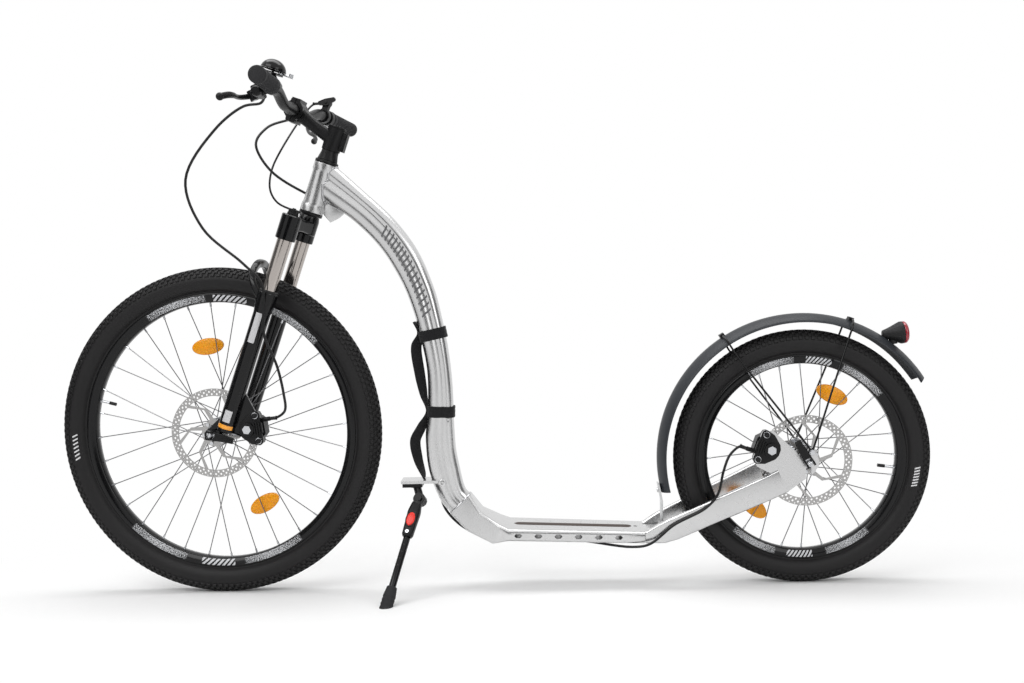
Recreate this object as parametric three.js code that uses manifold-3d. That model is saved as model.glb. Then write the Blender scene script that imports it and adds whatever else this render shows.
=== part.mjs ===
// A kick bike parked on its side stand: welded aluminium frame with a low deck,
// sprung front fork, large front wheel, small rear wheel under a mudguard, disc brakes.
// Millimetres. Before it leans, the bike heads along -X, its right side is +Y and +Z is up;
// x is measured from the rear axle, z from the ground and y from the middle plane.

import * as THREE from 'three';
import { mergeVertices } from 'three/addons/utils/BufferGeometryUtils.js';
import Module from 'manifold-3d';

const wasm = await Module();
wasm.setup();

// Driving dimensions

const wheelbase = 1174;
const frontTyreRadius = 333;
const rearTyreRadius = 255;
const headTilt = 20; // degrees that the steering axis leans back
const forkOffset = 42; // front axle ahead of the steering axis
const deckTyreGap = 63; // from the rear tyre to the flat of the deck
const fenderTyreGap = 33; // from the rear tyre to the crown of the mudguard
const parkedSteer = -2.8; // degrees that the bars are turned while parked
const standLean = 5; // degrees that the bike leans onto its stand
const seat = 0.3; // gap between two pieces that rest on each other
const running = 0.4; // gap between two pieces that slide or turn on each other
const overrun = 4; // how far a cutting tool passes the piece that it cuts
const small = 6; // sides of bolts and wires
const bandCorner = 2; // sides of the corners of the strap and the fork's arch
const coarse = 8; // sides of small round pieces
const round = 12; // sides of middling round pieces
// how near the flats of such a piece come, as a share of its radius
const flatShare = Math.cos(Math.PI / round);
const wheelSides = 28; // sides of tyres and rims

// Sizes of the wheels

const tyre = { wall: 3.6, beadHalf: 10.5, outerSides: 6, innerSides: 2, halfTurnShare: 0.62 };
const rim = { halfWidth: 13.5, floorHalf: 8.5, depth: 18, lip: 2, wellDepth: 8 };
const frontWheelSizes = {
  radius: frontTyreRadius, section: 27, spokeHalfCount: 16, hubWidth: 100, discFlange: 24, plainFlange: 33,
  discPlane: 38, flangeRadius: 29, reflectorAngles: [117, 319], reflectorInset: 89, valveAngle: 185.6,
};
const rearWheelSizes = {
  radius: rearTyreRadius, section: 25.5, spokeHalfCount: 14, hubWidth: 120, discFlange: 30, plainFlange: 38,
  discPlane: 45, flangeRadius: 29, reflectorAngles: [63, 226], reflectorInset: 50, valveAngle: 352,
};
const hub = {
  barrelRadius: 15, flangeHalf: 1.6, bore: 5.2, endRadius: 10, discCarrierRadius: 22, carrierThick: 6,
};
const spoke = { radius: 1.2, sides: 3, layerShift: 2, holeInset: 3, crossings: 3, rimHalfShift: 3 };
const valve = { radius: 3, length: 34 };
const rotor = {
  radius: 90, trackWidth: 15, thick: 1.9, eyeRadius: 17, rootRadius: 27, arms: 6, twist: 34, armHalf: 4.6,
  ventCount: 12, ventRadius: 2.8, ventSides: 4, midShare: 0.3, windowSteps: 3, trackSteps: 5,
  ventShares: [0.3, 0.7],
};
const reflector = { halfLong: 33, halfShort: 17, clipRadius: 2.4 };
const axle = {
  radius: 4.8, nutRadius: 8.5, nutLength: 12, nutSides: 6, washer: 4, camRadius: 8, camThick: 3.6,
  pinRadius: 3,
};

// Heights along the steering axis, from the foot of the perpendicular through the front axle

const crownBottom = frontTyreRadius + 83;
const crownHeight = 50;
const crownTop = crownBottom + crownHeight;
const raceHeight = 9;
const cup = { flange: 7, radius: 24, skirt: 11, bevel: 1.5 };
const headBottom = crownTop + raceHeight + cup.flange;
const headTube = { length: 100, radius: 22.5, flare: 24.2, flareLength: 14, bore: 17 };
const headTop = headBottom + headTube.length;
const spacerHeight = 21;
const spacer = { bottomRadius: 21, topRadius: 17.5, collar: 5 };
const stemBottom = headTop + cup.flange + spacerHeight;

// Sizes of the fork

const steererRadius = 14.3;
const steererWall = 2.2;
const leg = {
  spacing: 124, ahead: 16, radius: 17, topRadius: 20, collar: 22, top: 308, bottom: 16, boreFloor: 60,
  taper: 2, bridgeHeight: 100,
};
const stanchion = { radius: 15, wall: 2.4, bottom: 130 };
const crown = {
  socketRadius: 20, bossRadius: 21, raceRadius: 19, linkHeight: 30,
  linkHalves: [[20, 14.7], [17, 11], [15, 14.7]], linkRound: 4, linkCorner: 2,
};
const cableStop = { x: -34, y: 57, long: 7, wide: 8, height: 11 };
const plunger = { rodRadius: 5, headHeight: 6, headAt: 186 };
const forkSpring = { wireRadius: 2, turns: 8, stepsPerTurn: 6, sides: 3 };
const forkCap = {
  plugLength: 7, knobRadius: 11, knobHeight: 12, ribDepth: 1.5, pointerRadius: 4, pointerHeight: 2,
  preloadRibs: 8, dialRibs: 6,
};
const arch = {
  thick: 13, deep: 16, round: 4, rise: 66, reach: 50, steps: 10,
  shares: [[0, 1, 0], [0.42, 1, 0.22], [0.86, 0.86, 0.6], [1, 0.45, 0.92], [1, 0, 1]],
};
const forkTip = { thick: 8, radius: 15, slotHalf: 5.2, webHalf: 11 };

// Sizes of the disc brakes

const caliper = {
  inner: 62, outer: 108, halfLong: 22, outboard: 14.7, inboard: 11, slotHalf: 3.2, padLong: 26, padWide: 13,
  pistonAt: 76, pistonRadius: 10, pistonProud: 3, earSpacing: 51, earAt: 96, earRadius: 8, earThick: 8,
  chamfer: 8, boltBite: 7, tabThick: 8, unionRadius: 4.5, unionLength: 12, unionAt: 14, unionShift: 8,
};
const frontCaliperAngle = 27; // degrees about the front axle, from straight back
const rearCaliperAngle = 160;
const mountBolt = { radius: 3, headRadius: 5, headHeight: 4 };

// Sizes of the cockpit

const stem = {
  clampHeight: 45, clampRadius: 19, reach: 90, rise: 30.5, barClampRadius: 20, barClampHalf: 22, capRecess: 2,
  neckHalfWide: 15, neckHalfHigh: 14, neckRound: 5, neckShare: 0.45, waistShare: 0.86, lugDeep: 9,
  lugHigh: 24, split: 0.6, boltAside: 14, boltUp: 18.5, boltRadius: 2.4, boltBite: 6, boltHeadRadius: 3.8,
  boltHeadHeight: 3, windowWide: 13, windowHigh: 27, pinchLong: 15, pinchWide: 16, capThick: 4, capPlug: 7,
};
const bar = {
  radius: 11.1, centreRadius: 12.7, wall: 2.2, centreHalf: 38, centreTaper: 10, straight: 181, lowShare: 0.52,
  halfWidth: 331, rise: 19, sweep: 26, bendEase: 16, bendShares: [0.7, 0.3, -0.1],
};
const grip = {
  length: 130, radius: 15.6, flangeRadius: 16.8, flangeLength: 5, ribs: 4, ribDepth: 0.9, capThick: 3,
};
const brakeLever = {
  clampAt: 139, clampHalf: 7, clampWall: 5, drop: 42, bodyAhead: 28, bodyRadius: 10, bodyLength: 62,
  bodyShift: 8, lidWide: 15, lidLong: 44, lidThick: 5, pivotAhead: 41, pivotAt: 150, pivotRadius: 7,
  pinRadius: 2.5, bladeHalf: 5.5, bladeThick: 7, bladeRound: 2, ballRadius: 7, spoutLength: 14,
  spoutRadius: 4.4, jawHalf: 9.5,
  blade: [[41, 150], [49, 141], [57, 124], [61, 105], [62, 80], [68, 56], [79, 42]],
};
const bell = {
  clampAt: 160, clampHalf: 5, clampWall: 3.5, domeRadius: 23.5, domeHeight: 20, domeWall: 1.6, domeSteps: 4,
  ahead: 10, rimLift: 29, plateLift: 24, stalkRadius: 5, plateRadius: 20.5, plateThick: 2,
  pillarRadius: 2.4, pillarShort: 1,
};
const striker = {
  armRadius: 1.5, reach: 20, knobRadius: 4.2, eyeRadius: 4.6, thick: 3.5, pinBehind: 14, pinRadius: 1.8,
};
const lockout = {
  clampAt: 160, clampHalf: 6, clampWall: 4, towerLift: 29, towerRadius: 9, towerHalf: 6.5, earThick: 5,
  earHalf: 4, hubRadius: 7.5, spoutLength: 10, spoutDrop: 6, spoutRadius: 3.2, washer: 1.5,
  ears: [[35, 21], [205, 16]],
};

// Sizes of the frame

const mainTube = {
  depth: 56, width: 42, wall: 3, sideSteps: 8, grooveShare: 0.17, grooveAt: -0.2, grooveHalf: 0.3,
  squareness: 2.6, headShare: 0.7,
  spine: [
    [1, 1, 1.29], [0.693, 0.905, 1.04], [0.506, 0.831, 1.04], [0.374, 0.756, 1.05], [0.261, 0.656, 0.98],
    [0.185, 0.541, 0.91], [0.136, 0.419, 0.86], [0.13, 0.303, 0.91], [0.143, 0.195, 1.07],
    [0.121, 0.112, 1.11], [0.053, 0.024, 1], [0, 0, 0.96],
  ],
};
const gusset = { half: 3, outline: [[-8, -44], [-2, -68], [14, -88], [32, -80], [64, -54], [40, -30]] };
const deck = {
  frontX: -590, rearX: -rearTyreRadius - deckTyreGap, centreZ: 117, drop: 11.5, height: 24.5, frontHalf: 54,
  rearHalf: 47, corner: 6, wall: 3, rearWall: 5, noseLength: 98, noseRise: 57, noseHeight: 56,
  noseHalf: 21.6, noseStraight: 45, neckHeight: 48, neckHalf: 33, cheekAhead: 25, cheekRise: 1,
  cheekHeight: 42, cheekHalf: 48, gripHoleRadius: 4, gripHoleCount: 10, gripHolePitch: 27, ovalHalfLong: 8,
  ovalHalfHigh: 5, ovalPitch: 40, ovalCount: 6, ovalStart: 20, tongueLength: 36, tongueHalf: 30,
  tongueThick: 6, tongueLift: 6,
};
const stay = {
  width: 14, wall: 2.4, corner: 3.5,
  // distance behind the deck, height over its middle, depth, distance in from the deck's edge
  deckStations: [[1, -11, 24, 7], [6, -11, 24, 7], [33, -3.2, 40, 4], [56, 6, 44, 1]],
  // distance ahead of the axle, height over it, depth, distance out from the hub's end
  axleStations: [[85, -52, 47, 3.5], [50, -35.5, 47, 4]],
};
const dropout = {
  thick: 6, radius: 21, slotHalf: 5.2, eyeRadius: 8, eyeBore: 3, eyeX: 6, eyeZ: 20,
  root: [[-66, -56], [-60, -20], [-14, 18], [16, 14], [14, -18], [-44, -60]],
};
const caliperPlate = [[-20, 18], [-68, 64], [-88, 58], [-106, 8], [-100, -6], [-62, -26], [-30, -10]];
const fender = {
  radius: rearTyreRadius + fenderTyreGap, halfWidth: 31, crown: 14, wall: 2.4, frontAngle: 193.5,
  rearAngle: 32.5, stations: 18, arcSteps: 4,
};
const fenderBracket = { halfWidth: 15, thick: 3.5, top: 206, foot: 32, boltZ: 193, bendZ: 172, boltReach: 9 };
const fenderWire = {
  radius: 2.2, eyeRadius: 6, eyeThick: 4, angles: [122, 70], clipHalf: 8, clipThick: 9, clipLong: 10,
  aside: 4, straight: 16, sides: 5,
};
const rearLight = {
  angle: 50.4, lift: 29, lensRadius: 22, lensThick: 9, domeShare: 0.8, bodyLength: 40, tailRadius: 9, tilt: 5,
  footHalf: 9,
};
const standPlate = { ahead: 118, behind: 30, lift: 47, thick: 6, halfWidth: 20, boltAhead: 95 };
const stand = {
  pivotAhead: 78, pivotY: -38, pivotLift: 16, axisCant: 30, axisToe: 8, bossRadius: 12, bossLength: 13,
  armBite: 8.5, padLong: 40, padThick: 7, armRadius: 8, armShift: 8, footAhead: 131, footY: -170, footZ: 13,
  eyeThick: 9, leverWidth: 25, leverThick: 20, leverStart: 16, leverLength: 84, leverLift: 5.5,
  leverRound: 4, leverAlong: [0, 0.25, 0.85, 1], leverShares: [0.8, 1, 1, 0.86], tubeLift: 4, tubeRadius: 7,
  tubeWall: 1.5, tubeStart: 34, tubeShort: 12, buttonHalfLong: 14, buttonHalfWide: 8.5, buttonAt: 50,
  buttonFloor: 11.3, buttonProud: 2, buttonTravel: 2, footRadius: 12.5, footLength: 40, footTopRadius: 10,
  screwRadius: 4, screwHead: 7, screwHeadHeight: 4, shorten: 15,
};
const strap = {
  width: 25, thick: 3, bandWidth: 22, bandThick: 3.4, bandPlaces: [5.12, 7.13], steps: 13,
  // place along the spine, counted in its points from the top, and distance in front of the tube
  line: [
    [4.74, 4.9], [5.06, 3.3], [5.34, 20.9], [6.14, 24.6], [6.7, 14.7], [7.15, 2.1], [7.58, 18.2], [8, 30.5],
    [8.64, 27.1], [9.17, 14.9],
  ],
};
const boss = {
  root: 12, proud: 3, bore: 2.6, boreDepth: 9, radii: [8, 4], spinePlaces: [9.45, 7.39],
  aheadShares: [0.19, -0.33],
};
const hose = {
  radius: 2.6, sides: 8, lead: 12, frontSteps: 58, rearSteps: 80,
  frontRoute: [
    [-124, -112, 650], [-158, -103, 634], [-200, -98, 575], [-228, -94, 466], [-170, -90, 388],
    [-72, -88, 347], [-26, -88, 322], [8, -87, 229], [50, -85, 179], [76, -74, 130], [84, -54, 93],
  ],
  rearRoute: [
    [-1034, 78, 965], [-1062, 36, 946], [-1077, 4, 909], [-1052, 12, 858], [-986, 30, 811], [-925, 27.5, 785],
    [-866, 26, 748], [-818, 26, 707], [-784, 26, 655], [-752, 26, 590], [-735, 26, 520], [-722, 26, 440],
    [-721, 26, 350], [-729, 26, 270], [-732, 25, 215], [-724, 16, 164], [-694, 12, 127], [-650, 8, 102],
    [-618, 6, 92], [-585, 2, 97], [-450, -12, 94], [-345, -46, 88], [-310, -57, 96], [-262, -59, 134],
    [-200, -64, 168], [-176, -66, 196], [-164, -62, 240], [-150, -56, 271],
  ],
};
const cable = {
  radius: 2.1, sides: 8, steps: 22, lift: 6,
  route: [[-121, 72, 580], [-120, 52, 532], [-109, 47, 496], [-88, 49, 477], [-58, 55, 472]],
};
const quickLever = {
  length: 52, halfWide: 6, thick: 5, root: 15, round: 1.5, curve: 9, shares: [[0, 0], [0.5, 0.25], [1, 1]],
  frontAngle: 8, rearAngle: 120,
};

// Finishes

const looks = {
  aluminium: { color: 0xc8cacc, roughness: 0.34, metalness: 0.9 },
  glossBlack: { color: 0x0c0c0e, roughness: 0.2, metalness: 0.2 },
  satinBlack: { color: 0x1a1b1d, roughness: 0.45, metalness: 0.4 },
  gripRubber: { color: 0x3a3b3e, roughness: 0.85, metalness: 0 },
  tyreRubber: { color: 0x17171a, roughness: 0.9, metalness: 0 },
  steel: { color: 0xb6b9bd, roughness: 0.3, metalness: 1 },
  chrome: { color: 0xd4d7da, roughness: 0.12, metalness: 1 },
  hubGrey: { color: 0x2a2b2e, roughness: 0.4, metalness: 0.6 },
  amber: { color: 0xf08a1c, roughness: 0.25, metalness: 0 },
  fenderGrey: { color: 0x2d3136, roughness: 0.5, metalness: 0 },
  redLens: { color: 0x9d0d14, roughness: 0.15, metalness: 0 },
  redButton: { color: 0xe02a1c, roughness: 0.35, metalness: 0 },
  hoseBlack: { color: 0x111113, roughness: 0.5, metalness: 0 },
  webbing: { color: 0x121214, roughness: 0.95, metalness: 0 },
};

// Points and directions

const axisX = new THREE.Vector3(1, 0, 0);
const axisY = new THREE.Vector3(0, 1, 0);
const axisZ = new THREE.Vector3(0, 0, 1);
const radians = THREE.MathUtils.degToRad;
const at = (x, y, z) => new THREE.Vector3(x, y, z);
const flat = (u, v) => new THREE.Vector2(u, v);
const polar = (radius, angle) => flat(radius * Math.cos(angle), radius * Math.sin(angle));
const mix = THREE.MathUtils.lerp;

// Solids and how they are joined and cut

function outward(geometry) {
  const position = geometry.attributes.position;
  const index = geometry.index.array;
  const corner = [at(0, 0, 0), at(0, 0, 0), at(0, 0, 0)];
  let volume = 0;
  for (let i = 0; i < index.length; i += 3) {
    corner.forEach((point, k) => point.fromBufferAttribute(position, index[i + k]));
    volume += corner[0].dot(corner[1].cross(corner[2]));
  }
  if (volume < 0) {
    for (let i = 0; i < index.length; i += 3) {
      [index[i + 1], index[i + 2]] = [index[i + 2], index[i + 1]];
    }
  }
  return geometry;
}

function welded(geometry) {
  const bare = geometry.clone();
  bare.deleteAttribute('normal');
  bare.deleteAttribute('uv');
  const merged = mergeVertices(bare);
  const corners = merged.index.array;
  const kept = [];
  for (let i = 0; i < corners.length; i += 3) {
    const [a, b, c] = corners.subarray(i, i + 3);
    if (a !== b && b !== c && c !== a) kept.push(a, b, c);
  }
  merged.setIndex(kept);
  return outward(merged);
}

function solid(geometry) {
  const mesh = welded(geometry);
  const vertProperties = new Float32Array(mesh.attributes.position.array);
  const triVerts = new Uint32Array(mesh.index.array);
  return new wasm.Manifold(new wasm.Mesh({ numProp: 3, vertProperties, triVerts }));
}

function surface(body) {
  const mesh = body.getMesh();
  const geometry = new THREE.BufferGeometry();
  geometry.setAttribute('position', new THREE.BufferAttribute(new Float32Array(mesh.vertProperties), 3));
  geometry.setIndex(new THREE.BufferAttribute(new Uint32Array(mesh.triVerts), 1));
  geometry.computeVertexNormals();
  return geometry;
}

const join = (...pieces) => surface(pieces.map(solid).reduce((whole, piece) => whole.add(piece)));
const cut = (piece, ...tools) => surface(
  tools.map(solid).reduce((rest, tool) => rest.subtract(tool), solid(piece))
);

function add(group, name, geometry, look) {
  const mesh = new THREE.Mesh(geometry, new THREE.MeshStandardMaterial(look));
  mesh.name = name;
  group.add(mesh);
  return mesh;
}

function groupIn(parent) {
  const group = new THREE.Group();
  parent.add(group);
  return group;
}

// Basic forms

// A round bar from start to end, the end radius free to differ from the start radius.
function rod(start, end, radius, sides, endRadius = radius) {
  const along = end.clone().sub(start);
  const geometry = new THREE.CylinderGeometry(endRadius, radius, along.length(), sides);
  geometry.applyQuaternion(new THREE.Quaternion().setFromUnitVectors(axisY, along.normalize()));
  geometry.translate(...start.clone().add(end).multiplyScalar(0.5).toArray());
  return geometry;
}

const upright = (x, y, low, high, radius, sides = coarse, topRadius = radius) => (
  rod(at(x, y, low), at(x, y, high), radius, sides, topRadius)
);
const across = (x, z, low, high, radius, sides = coarse) => rod(at(x, low, z), at(x, high, z), radius, sides);
const turnUp = (geometry, degrees) => geometry.applyMatrix4(
  new THREE.Matrix4().makeRotationY(-radians(degrees))
);

// A body turned about Y from pairs of radius and height.
function turned(profile, sides) {
  return welded(new THREE.LatheGeometry(profile.map(([r, h]) => flat(r, h)), sides));
}

// The same about Z.
function turnedUpright(profile, sides) {
  return turned(profile, sides).rotateX(Math.PI / 2);
}

function block(size, centre) {
  return new THREE.BoxGeometry(...size.toArray()).translate(...centre.toArray());
}

// An outline in the XY plane made into a plate from z low to z high.
function slab(outline, low, high, holes = []) {
  const shape = new THREE.Shape(outline);
  holes.forEach((hole) => shape.holes.push(new THREE.Path(hole)));
  const geometry = new THREE.ExtrudeGeometry(
    shape, { depth: high - low, bevelEnabled: false, curveSegments: 1 },
  );
  return geometry.translate(0, 0, low);
}

// An outline of side view points (x, z) made into a plate from y low to y high.
function sidePlate(outline, low, high, holes = []) {
  return slab(outline, -high, -low, holes).rotateX(Math.PI / 2);
}

function circle(centre, radius, sides, turn = 0) {
  return Array.from({ length: sides }, (_, k) => polar(radius, turn + (2 * Math.PI * k) / sides).add(centre));
}

function ellipse(halfLong, halfShort, sides) {
  return circle(flat(0, 0), 1, sides).map((p) => flat(p.x * halfLong, p.y * halfShort));
}

function roundedBox(halfWide, halfHigh, corner, perCorner = 2) {
  const points = [];
  [[1, 1], [-1, 1], [-1, -1], [1, -1]].forEach(([sx, sy], quarter) => {
    const centre = flat(sx * (halfWide - corner), sy * (halfHigh - corner));
    for (let k = 0; k < perCorner; k += 1) {
      points.push(polar(corner, (Math.PI / 2) * (quarter + k / (perCorner - 1))).add(centre));
    }
  });
  return points;
}

// The triangles that close one end of a loft.
function capFaces(ring, first, reversed) {
  const normal = at(0, 0, 0);
  ring.forEach((p, k) => normal.add(p.clone().cross(ring[(k + 1) % ring.length])));
  normal.normalize();
  const across = ring[1].clone().sub(ring[0]).cross(normal).normalize();
  const along = normal.clone().cross(across);
  const outline = ring.map((p) => flat(p.dot(across), p.dot(along)));
  return THREE.ShapeUtils.triangulateShape(outline, []).flatMap(([a, b, c]) => {
    const turn = outline[b].clone().sub(outline[a]).cross(outline[c].clone().sub(outline[a]));
    const forward = turn > 0 ? [a, b, c] : [a, c, b];
    return (reversed ? forward.reverse() : forward).map((k) => first + k);
  });
}

// A skin over rings of equally many points, closed at both ends.
function loft(rings) {
  const count = rings[0].length;
  const faces = [];
  for (let ring = 0; ring + 1 < rings.length; ring += 1) {
    for (let k = 0; k < count; k += 1) {
      const here = ring * count + k;
      const beside = ring * count + ((k + 1) % count);
      faces.push(here, beside, beside + count, here, beside + count, here + count);
    }
  }
  faces.push(...capFaces(rings[0], 0, true));
  faces.push(...capFaces(rings.at(-1), (rings.length - 1) * count, false));
  const geometry = new THREE.BufferGeometry();
  geometry.setAttribute(
    'position', new THREE.Float32BufferAttribute(rings.flat().flatMap((p) => p.toArray()), 3),
  );
  geometry.setIndex(faces);
  return outward(geometry);
}

// Rings set square to a chain of points; outlines hold (u, v), with v along side and u square to it.
function ringsAlong(points, outlines, side) {
  return points.map((point, k) => {
    const before = points[Math.max(k - 1, 0)];
    const after = points[Math.min(k + 1, points.length - 1)];
    const tangent = after.clone().sub(before).normalize();
    const across = side.clone().cross(tangent).normalize();
    const level = tangent.clone().cross(across);
    return outlines[k].map((p) => point.clone().addScaledVector(across, p.x).addScaledVector(level, p.y));
  });
}

// A round tube along a smooth line through the points.
function hoseAlong(points, radius, sides, steps) {
  const path = new THREE.CatmullRomCurve3(points.map((p) => at(...p)), false, 'centripetal');
  const shape = new THREE.Shape(circle(flat(0, 0), radius, sides));
  return new THREE.ExtrudeGeometry(
    shape, { steps, extrudePath: path, bevelEnabled: false, curveSegments: 1 },
  );
}

// The groups that carry the pieces

const part = new THREE.Group();
const bike = groupIn(part);
bike.rotation.x = radians(standLean);
const headAxis = groupIn(bike);
headAxis.position.set(
  -wheelbase + forkOffset * Math.cos(radians(headTilt)),
  0,
  frontTyreRadius - forkOffset * Math.sin(radians(headTilt)),
);
headAxis.rotation.y = radians(headTilt);
const steering = groupIn(headAxis);
steering.name = 'steering_axis';
headAxis.updateMatrix();
steering.rotation.z = radians(parkedSteer);
const frontHubGroup = groupIn(steering);
frontHubGroup.name = 'front_axle_line';
frontHubGroup.position.set(-forkOffset, 0, 0);
const rearHubGroup = groupIn(bike);
rearHubGroup.name = 'rear_axle_line';
rearHubGroup.position.set(0, 0, rearTyreRadius);

// Wheels: tyre, rim with its valve, spokes, hub, brake disc and reflectors

function rimRadius(sizes) {
  return sizes.radius - 2 * sizes.section + rim.lip;
}

function tyreBody(sizes) {
  const bead = rimRadius(sizes) - rim.depth + rim.wellDepth + overrun;
  const lip = rimRadius(sizes) + seat;
  const beadInner = tyre.beadHalf - tyre.wall;
  const arc = (radius, sides) => Array.from({ length: sides + 1 }, (_, k) => {
    const angle = mix(-tyre.halfTurnShare, tyre.halfTurnShare, k / sides) * Math.PI;
    return [sizes.radius - sizes.section + radius * Math.cos(angle), radius * Math.sin(angle)];
  });
  const outer = arc(sizes.section, tyre.outerSides);
  return turned([
    ...outer, [lip, tyre.beadHalf], [bead, tyre.beadHalf], [bead, beadInner], [lip, beadInner],
    ...arc(sizes.section - tyre.wall, tyre.innerSides).reverse(),
    [lip, -beadInner], [bead, -beadInner], [bead, -tyre.beadHalf], [lip, -tyre.beadHalf], outer[0],
  ], wheelSides);
}

function rimBody(sizes) {
  const top = rimRadius(sizes);
  const bottom = top - rim.depth;
  const well = bottom + rim.wellDepth;
  const wellHalf = tyre.beadHalf + seat;
  const profile = [
    [bottom, -rim.floorHalf], [bottom, rim.floorHalf], [well, rim.halfWidth], [top, rim.halfWidth],
    [top, wellHalf], [well, wellHalf], [well, -wellHalf], [top, -wellHalf], [top, -rim.halfWidth],
    [well, -rim.halfWidth], [bottom, -rim.floorHalf],
  ];
  const direction = polar(1, radians(sizes.valveAngle));
  const along = at(direction.x, 0, direction.y);
  const start = along.clone().multiplyScalar(bottom + rim.depth / 3);
  const end = along.clone().multiplyScalar(bottom - valve.length);
  return join(turned(profile, wheelSides), rod(start, end, valve.radius, coarse));
}

// How far from the axle the flats of a rim lie at an angle.
function rimFloorAt(sizes, angle) {
  const pitch = (2 * Math.PI) / wheelSides;
  const fromVertex = angle - pitch * Math.floor(angle / pitch);
  return ((rimRadius(sizes) - rim.depth) * Math.cos(pitch / 2)) / Math.cos(fromVertex - pitch / 2);
}

// The middle line of each spoke on one side, from its hole in the hub to the rim.
function spokeLines(sizes, side) {
  const holeRadius = sizes.flangeRadius - spoke.holeInset;
  const flange = side < 0 ? -sizes.discFlange : sizes.plainFlange;
  const turnPerHole = (2 * Math.PI) / sizes.spokeHalfCount;
  const shift = side < 0 ? 0 : turnPerHole / 2;
  return Array.from({ length: sizes.spokeHalfCount }, (_, k) => {
    const leads = k % 2 === 0 ? 1 : -1;
    const hole = turnPerHole * k + shift;
    const rimAngle = hole + leads * turnPerHole * spoke.crossings;
    const near = polar(holeRadius, hole);
    const far = polar(rimFloorAt(sizes, rimAngle) - seat, rimAngle);
    return new THREE.Line3(
      at(near.x, flange + leads * side * spoke.layerShift, near.y),
      at(far.x, side * spoke.rimHalfShift, far.y),
    );
  });
}

function hubBody(sizes) {
  const end = sizes.hubWidth / 2 - running;
  const carrier = -sizes.discPlane + rotor.thick / 2 + seat;
  const spigot = rotor.eyeRadius * Math.cos(Math.PI / coarse) - running;
  const profile = [
    [hub.bore, -end], [hub.endRadius, -end], [hub.endRadius, -sizes.discPlane],
    [spigot, -sizes.discPlane], [spigot, carrier],
    [hub.discCarrierRadius + mountBolt.headRadius, carrier],
    [hub.discCarrierRadius + mountBolt.headRadius, carrier + hub.carrierThick],
    [hub.barrelRadius, carrier + hub.carrierThick],
    [hub.barrelRadius, -sizes.discFlange - hub.flangeHalf],
    [sizes.flangeRadius, -sizes.discFlange - hub.flangeHalf],
    [sizes.flangeRadius, -sizes.discFlange + hub.flangeHalf],
    [hub.barrelRadius, -sizes.discFlange + hub.flangeHalf],
    [hub.barrelRadius, sizes.plainFlange - hub.flangeHalf],
    [sizes.flangeRadius, sizes.plainFlange - hub.flangeHalf],
    [sizes.flangeRadius, sizes.plainFlange + hub.flangeHalf],
    [hub.barrelRadius, sizes.plainFlange + hub.flangeHalf], [hub.endRadius, end], [hub.bore, end],
    [hub.bore, -end],
  ];
  const lines = [...spokeLines(sizes, -1), ...spokeLines(sizes, 1)];
  return join(
    turned(profile, coarse), ...lines.map((line) => rod(line.start, line.end, spoke.radius, spoke.sides)),
  );
}

// The disc: a drilled track carried by slanting arms on an eye that bolts to the hub.
function rotorBody(sizes) {
  const trackInner = rotor.radius - rotor.trackWidth;
  const middle = (rotor.rootRadius + trackInner) / 2;
  const pitch = (2 * Math.PI) / rotor.arms;
  const twist = radians(rotor.twist);
  const rootHalf = rotor.armHalf / rotor.rootRadius;
  const middleHalf = rotor.armHalf / middle;
  const tipHalf = rotor.armHalf / trackInner;
  const window = (start) => {
    const points = [];
    for (let k = 0; k <= rotor.windowSteps; k += 1) {
      points.push(polar(rotor.rootRadius, start + mix(rootHalf, pitch - rootHalf, k / rotor.windowSteps)));
    }
    points.push(polar(middle, start + pitch + twist * rotor.midShare - middleHalf));
    for (let k = rotor.trackSteps; k >= 0; k -= 1) {
      points.push(polar(trackInner, start + twist + mix(tipHalf, pitch - tipHalf, k / rotor.trackSteps)));
    }
    points.push(polar(middle, start + twist * rotor.midShare + middleHalf));
    return points;
  };
  const vent = (k) => {
    const share = rotor.ventShares[k % rotor.ventShares.length];
    const centre = polar(trackInner + rotor.trackWidth * share, (2 * Math.PI * k) / rotor.ventCount);
    return circle(centre, rotor.ventRadius, rotor.ventSides);
  };
  const holes = [
    ...Array.from({ length: rotor.arms }, (_, arm) => window(arm * pitch)),
    ...Array.from({ length: rotor.ventCount }, (_, k) => vent(k)),
    circle(flat(0, 0), rotor.eyeRadius, coarse),
  ];
  const outline = circle(flat(0, 0), rotor.radius, wheelSides);
  return sidePlate(outline, -sizes.discPlane - rotor.thick / 2, -sizes.discPlane + rotor.thick / 2, holes);
}

// An oval plate between the two layers of spokes, with a clip to the nearest spoke of each layer.
function reflectorBody(sizes, degrees) {
  const holeRadius = sizes.flangeRadius - spoke.holeInset;
  const rimEnd = rimRadius(sizes) - rim.depth;
  const middleRadius = rimEnd - sizes.reflectorInset;
  const share = (middleRadius + reflector.halfShort - holeRadius) / (rimEnd - holeRadius);
  const room = mix(sizes.discFlange - spoke.layerShift, spoke.rimHalfShift, Math.sqrt(share));
  const half = room - spoke.radius - seat;
  const outline = ellipse(reflector.halfLong, reflector.halfShort, round);
  const plate = sidePlate(outline, -half, half);
  plate.rotateY(-radians(degrees) - Math.PI / 2);
  const centre = polar(middleRadius, radians(degrees));
  plate.translate(centre.x, 0, centre.y);
  const middle = at(centre.x, 0, centre.y);
  const clips = [-1, 1].map((side) => {
    const places = spokeLines(sizes, side).map((line) => line.closestPointToPoint(middle, true, at(0, 0, 0)));
    const place = places.sort((a, b) => a.distanceTo(middle) - b.distanceTo(middle))[0];
    const face = Math.abs(place.y) - spoke.radius - 2 * seat;
    return across(place.x, place.z, ...(side < 0 ? [-face, 0] : [0, face]), reflector.clipRadius, small);
  });
  return join(plate, ...clips);
}

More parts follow.
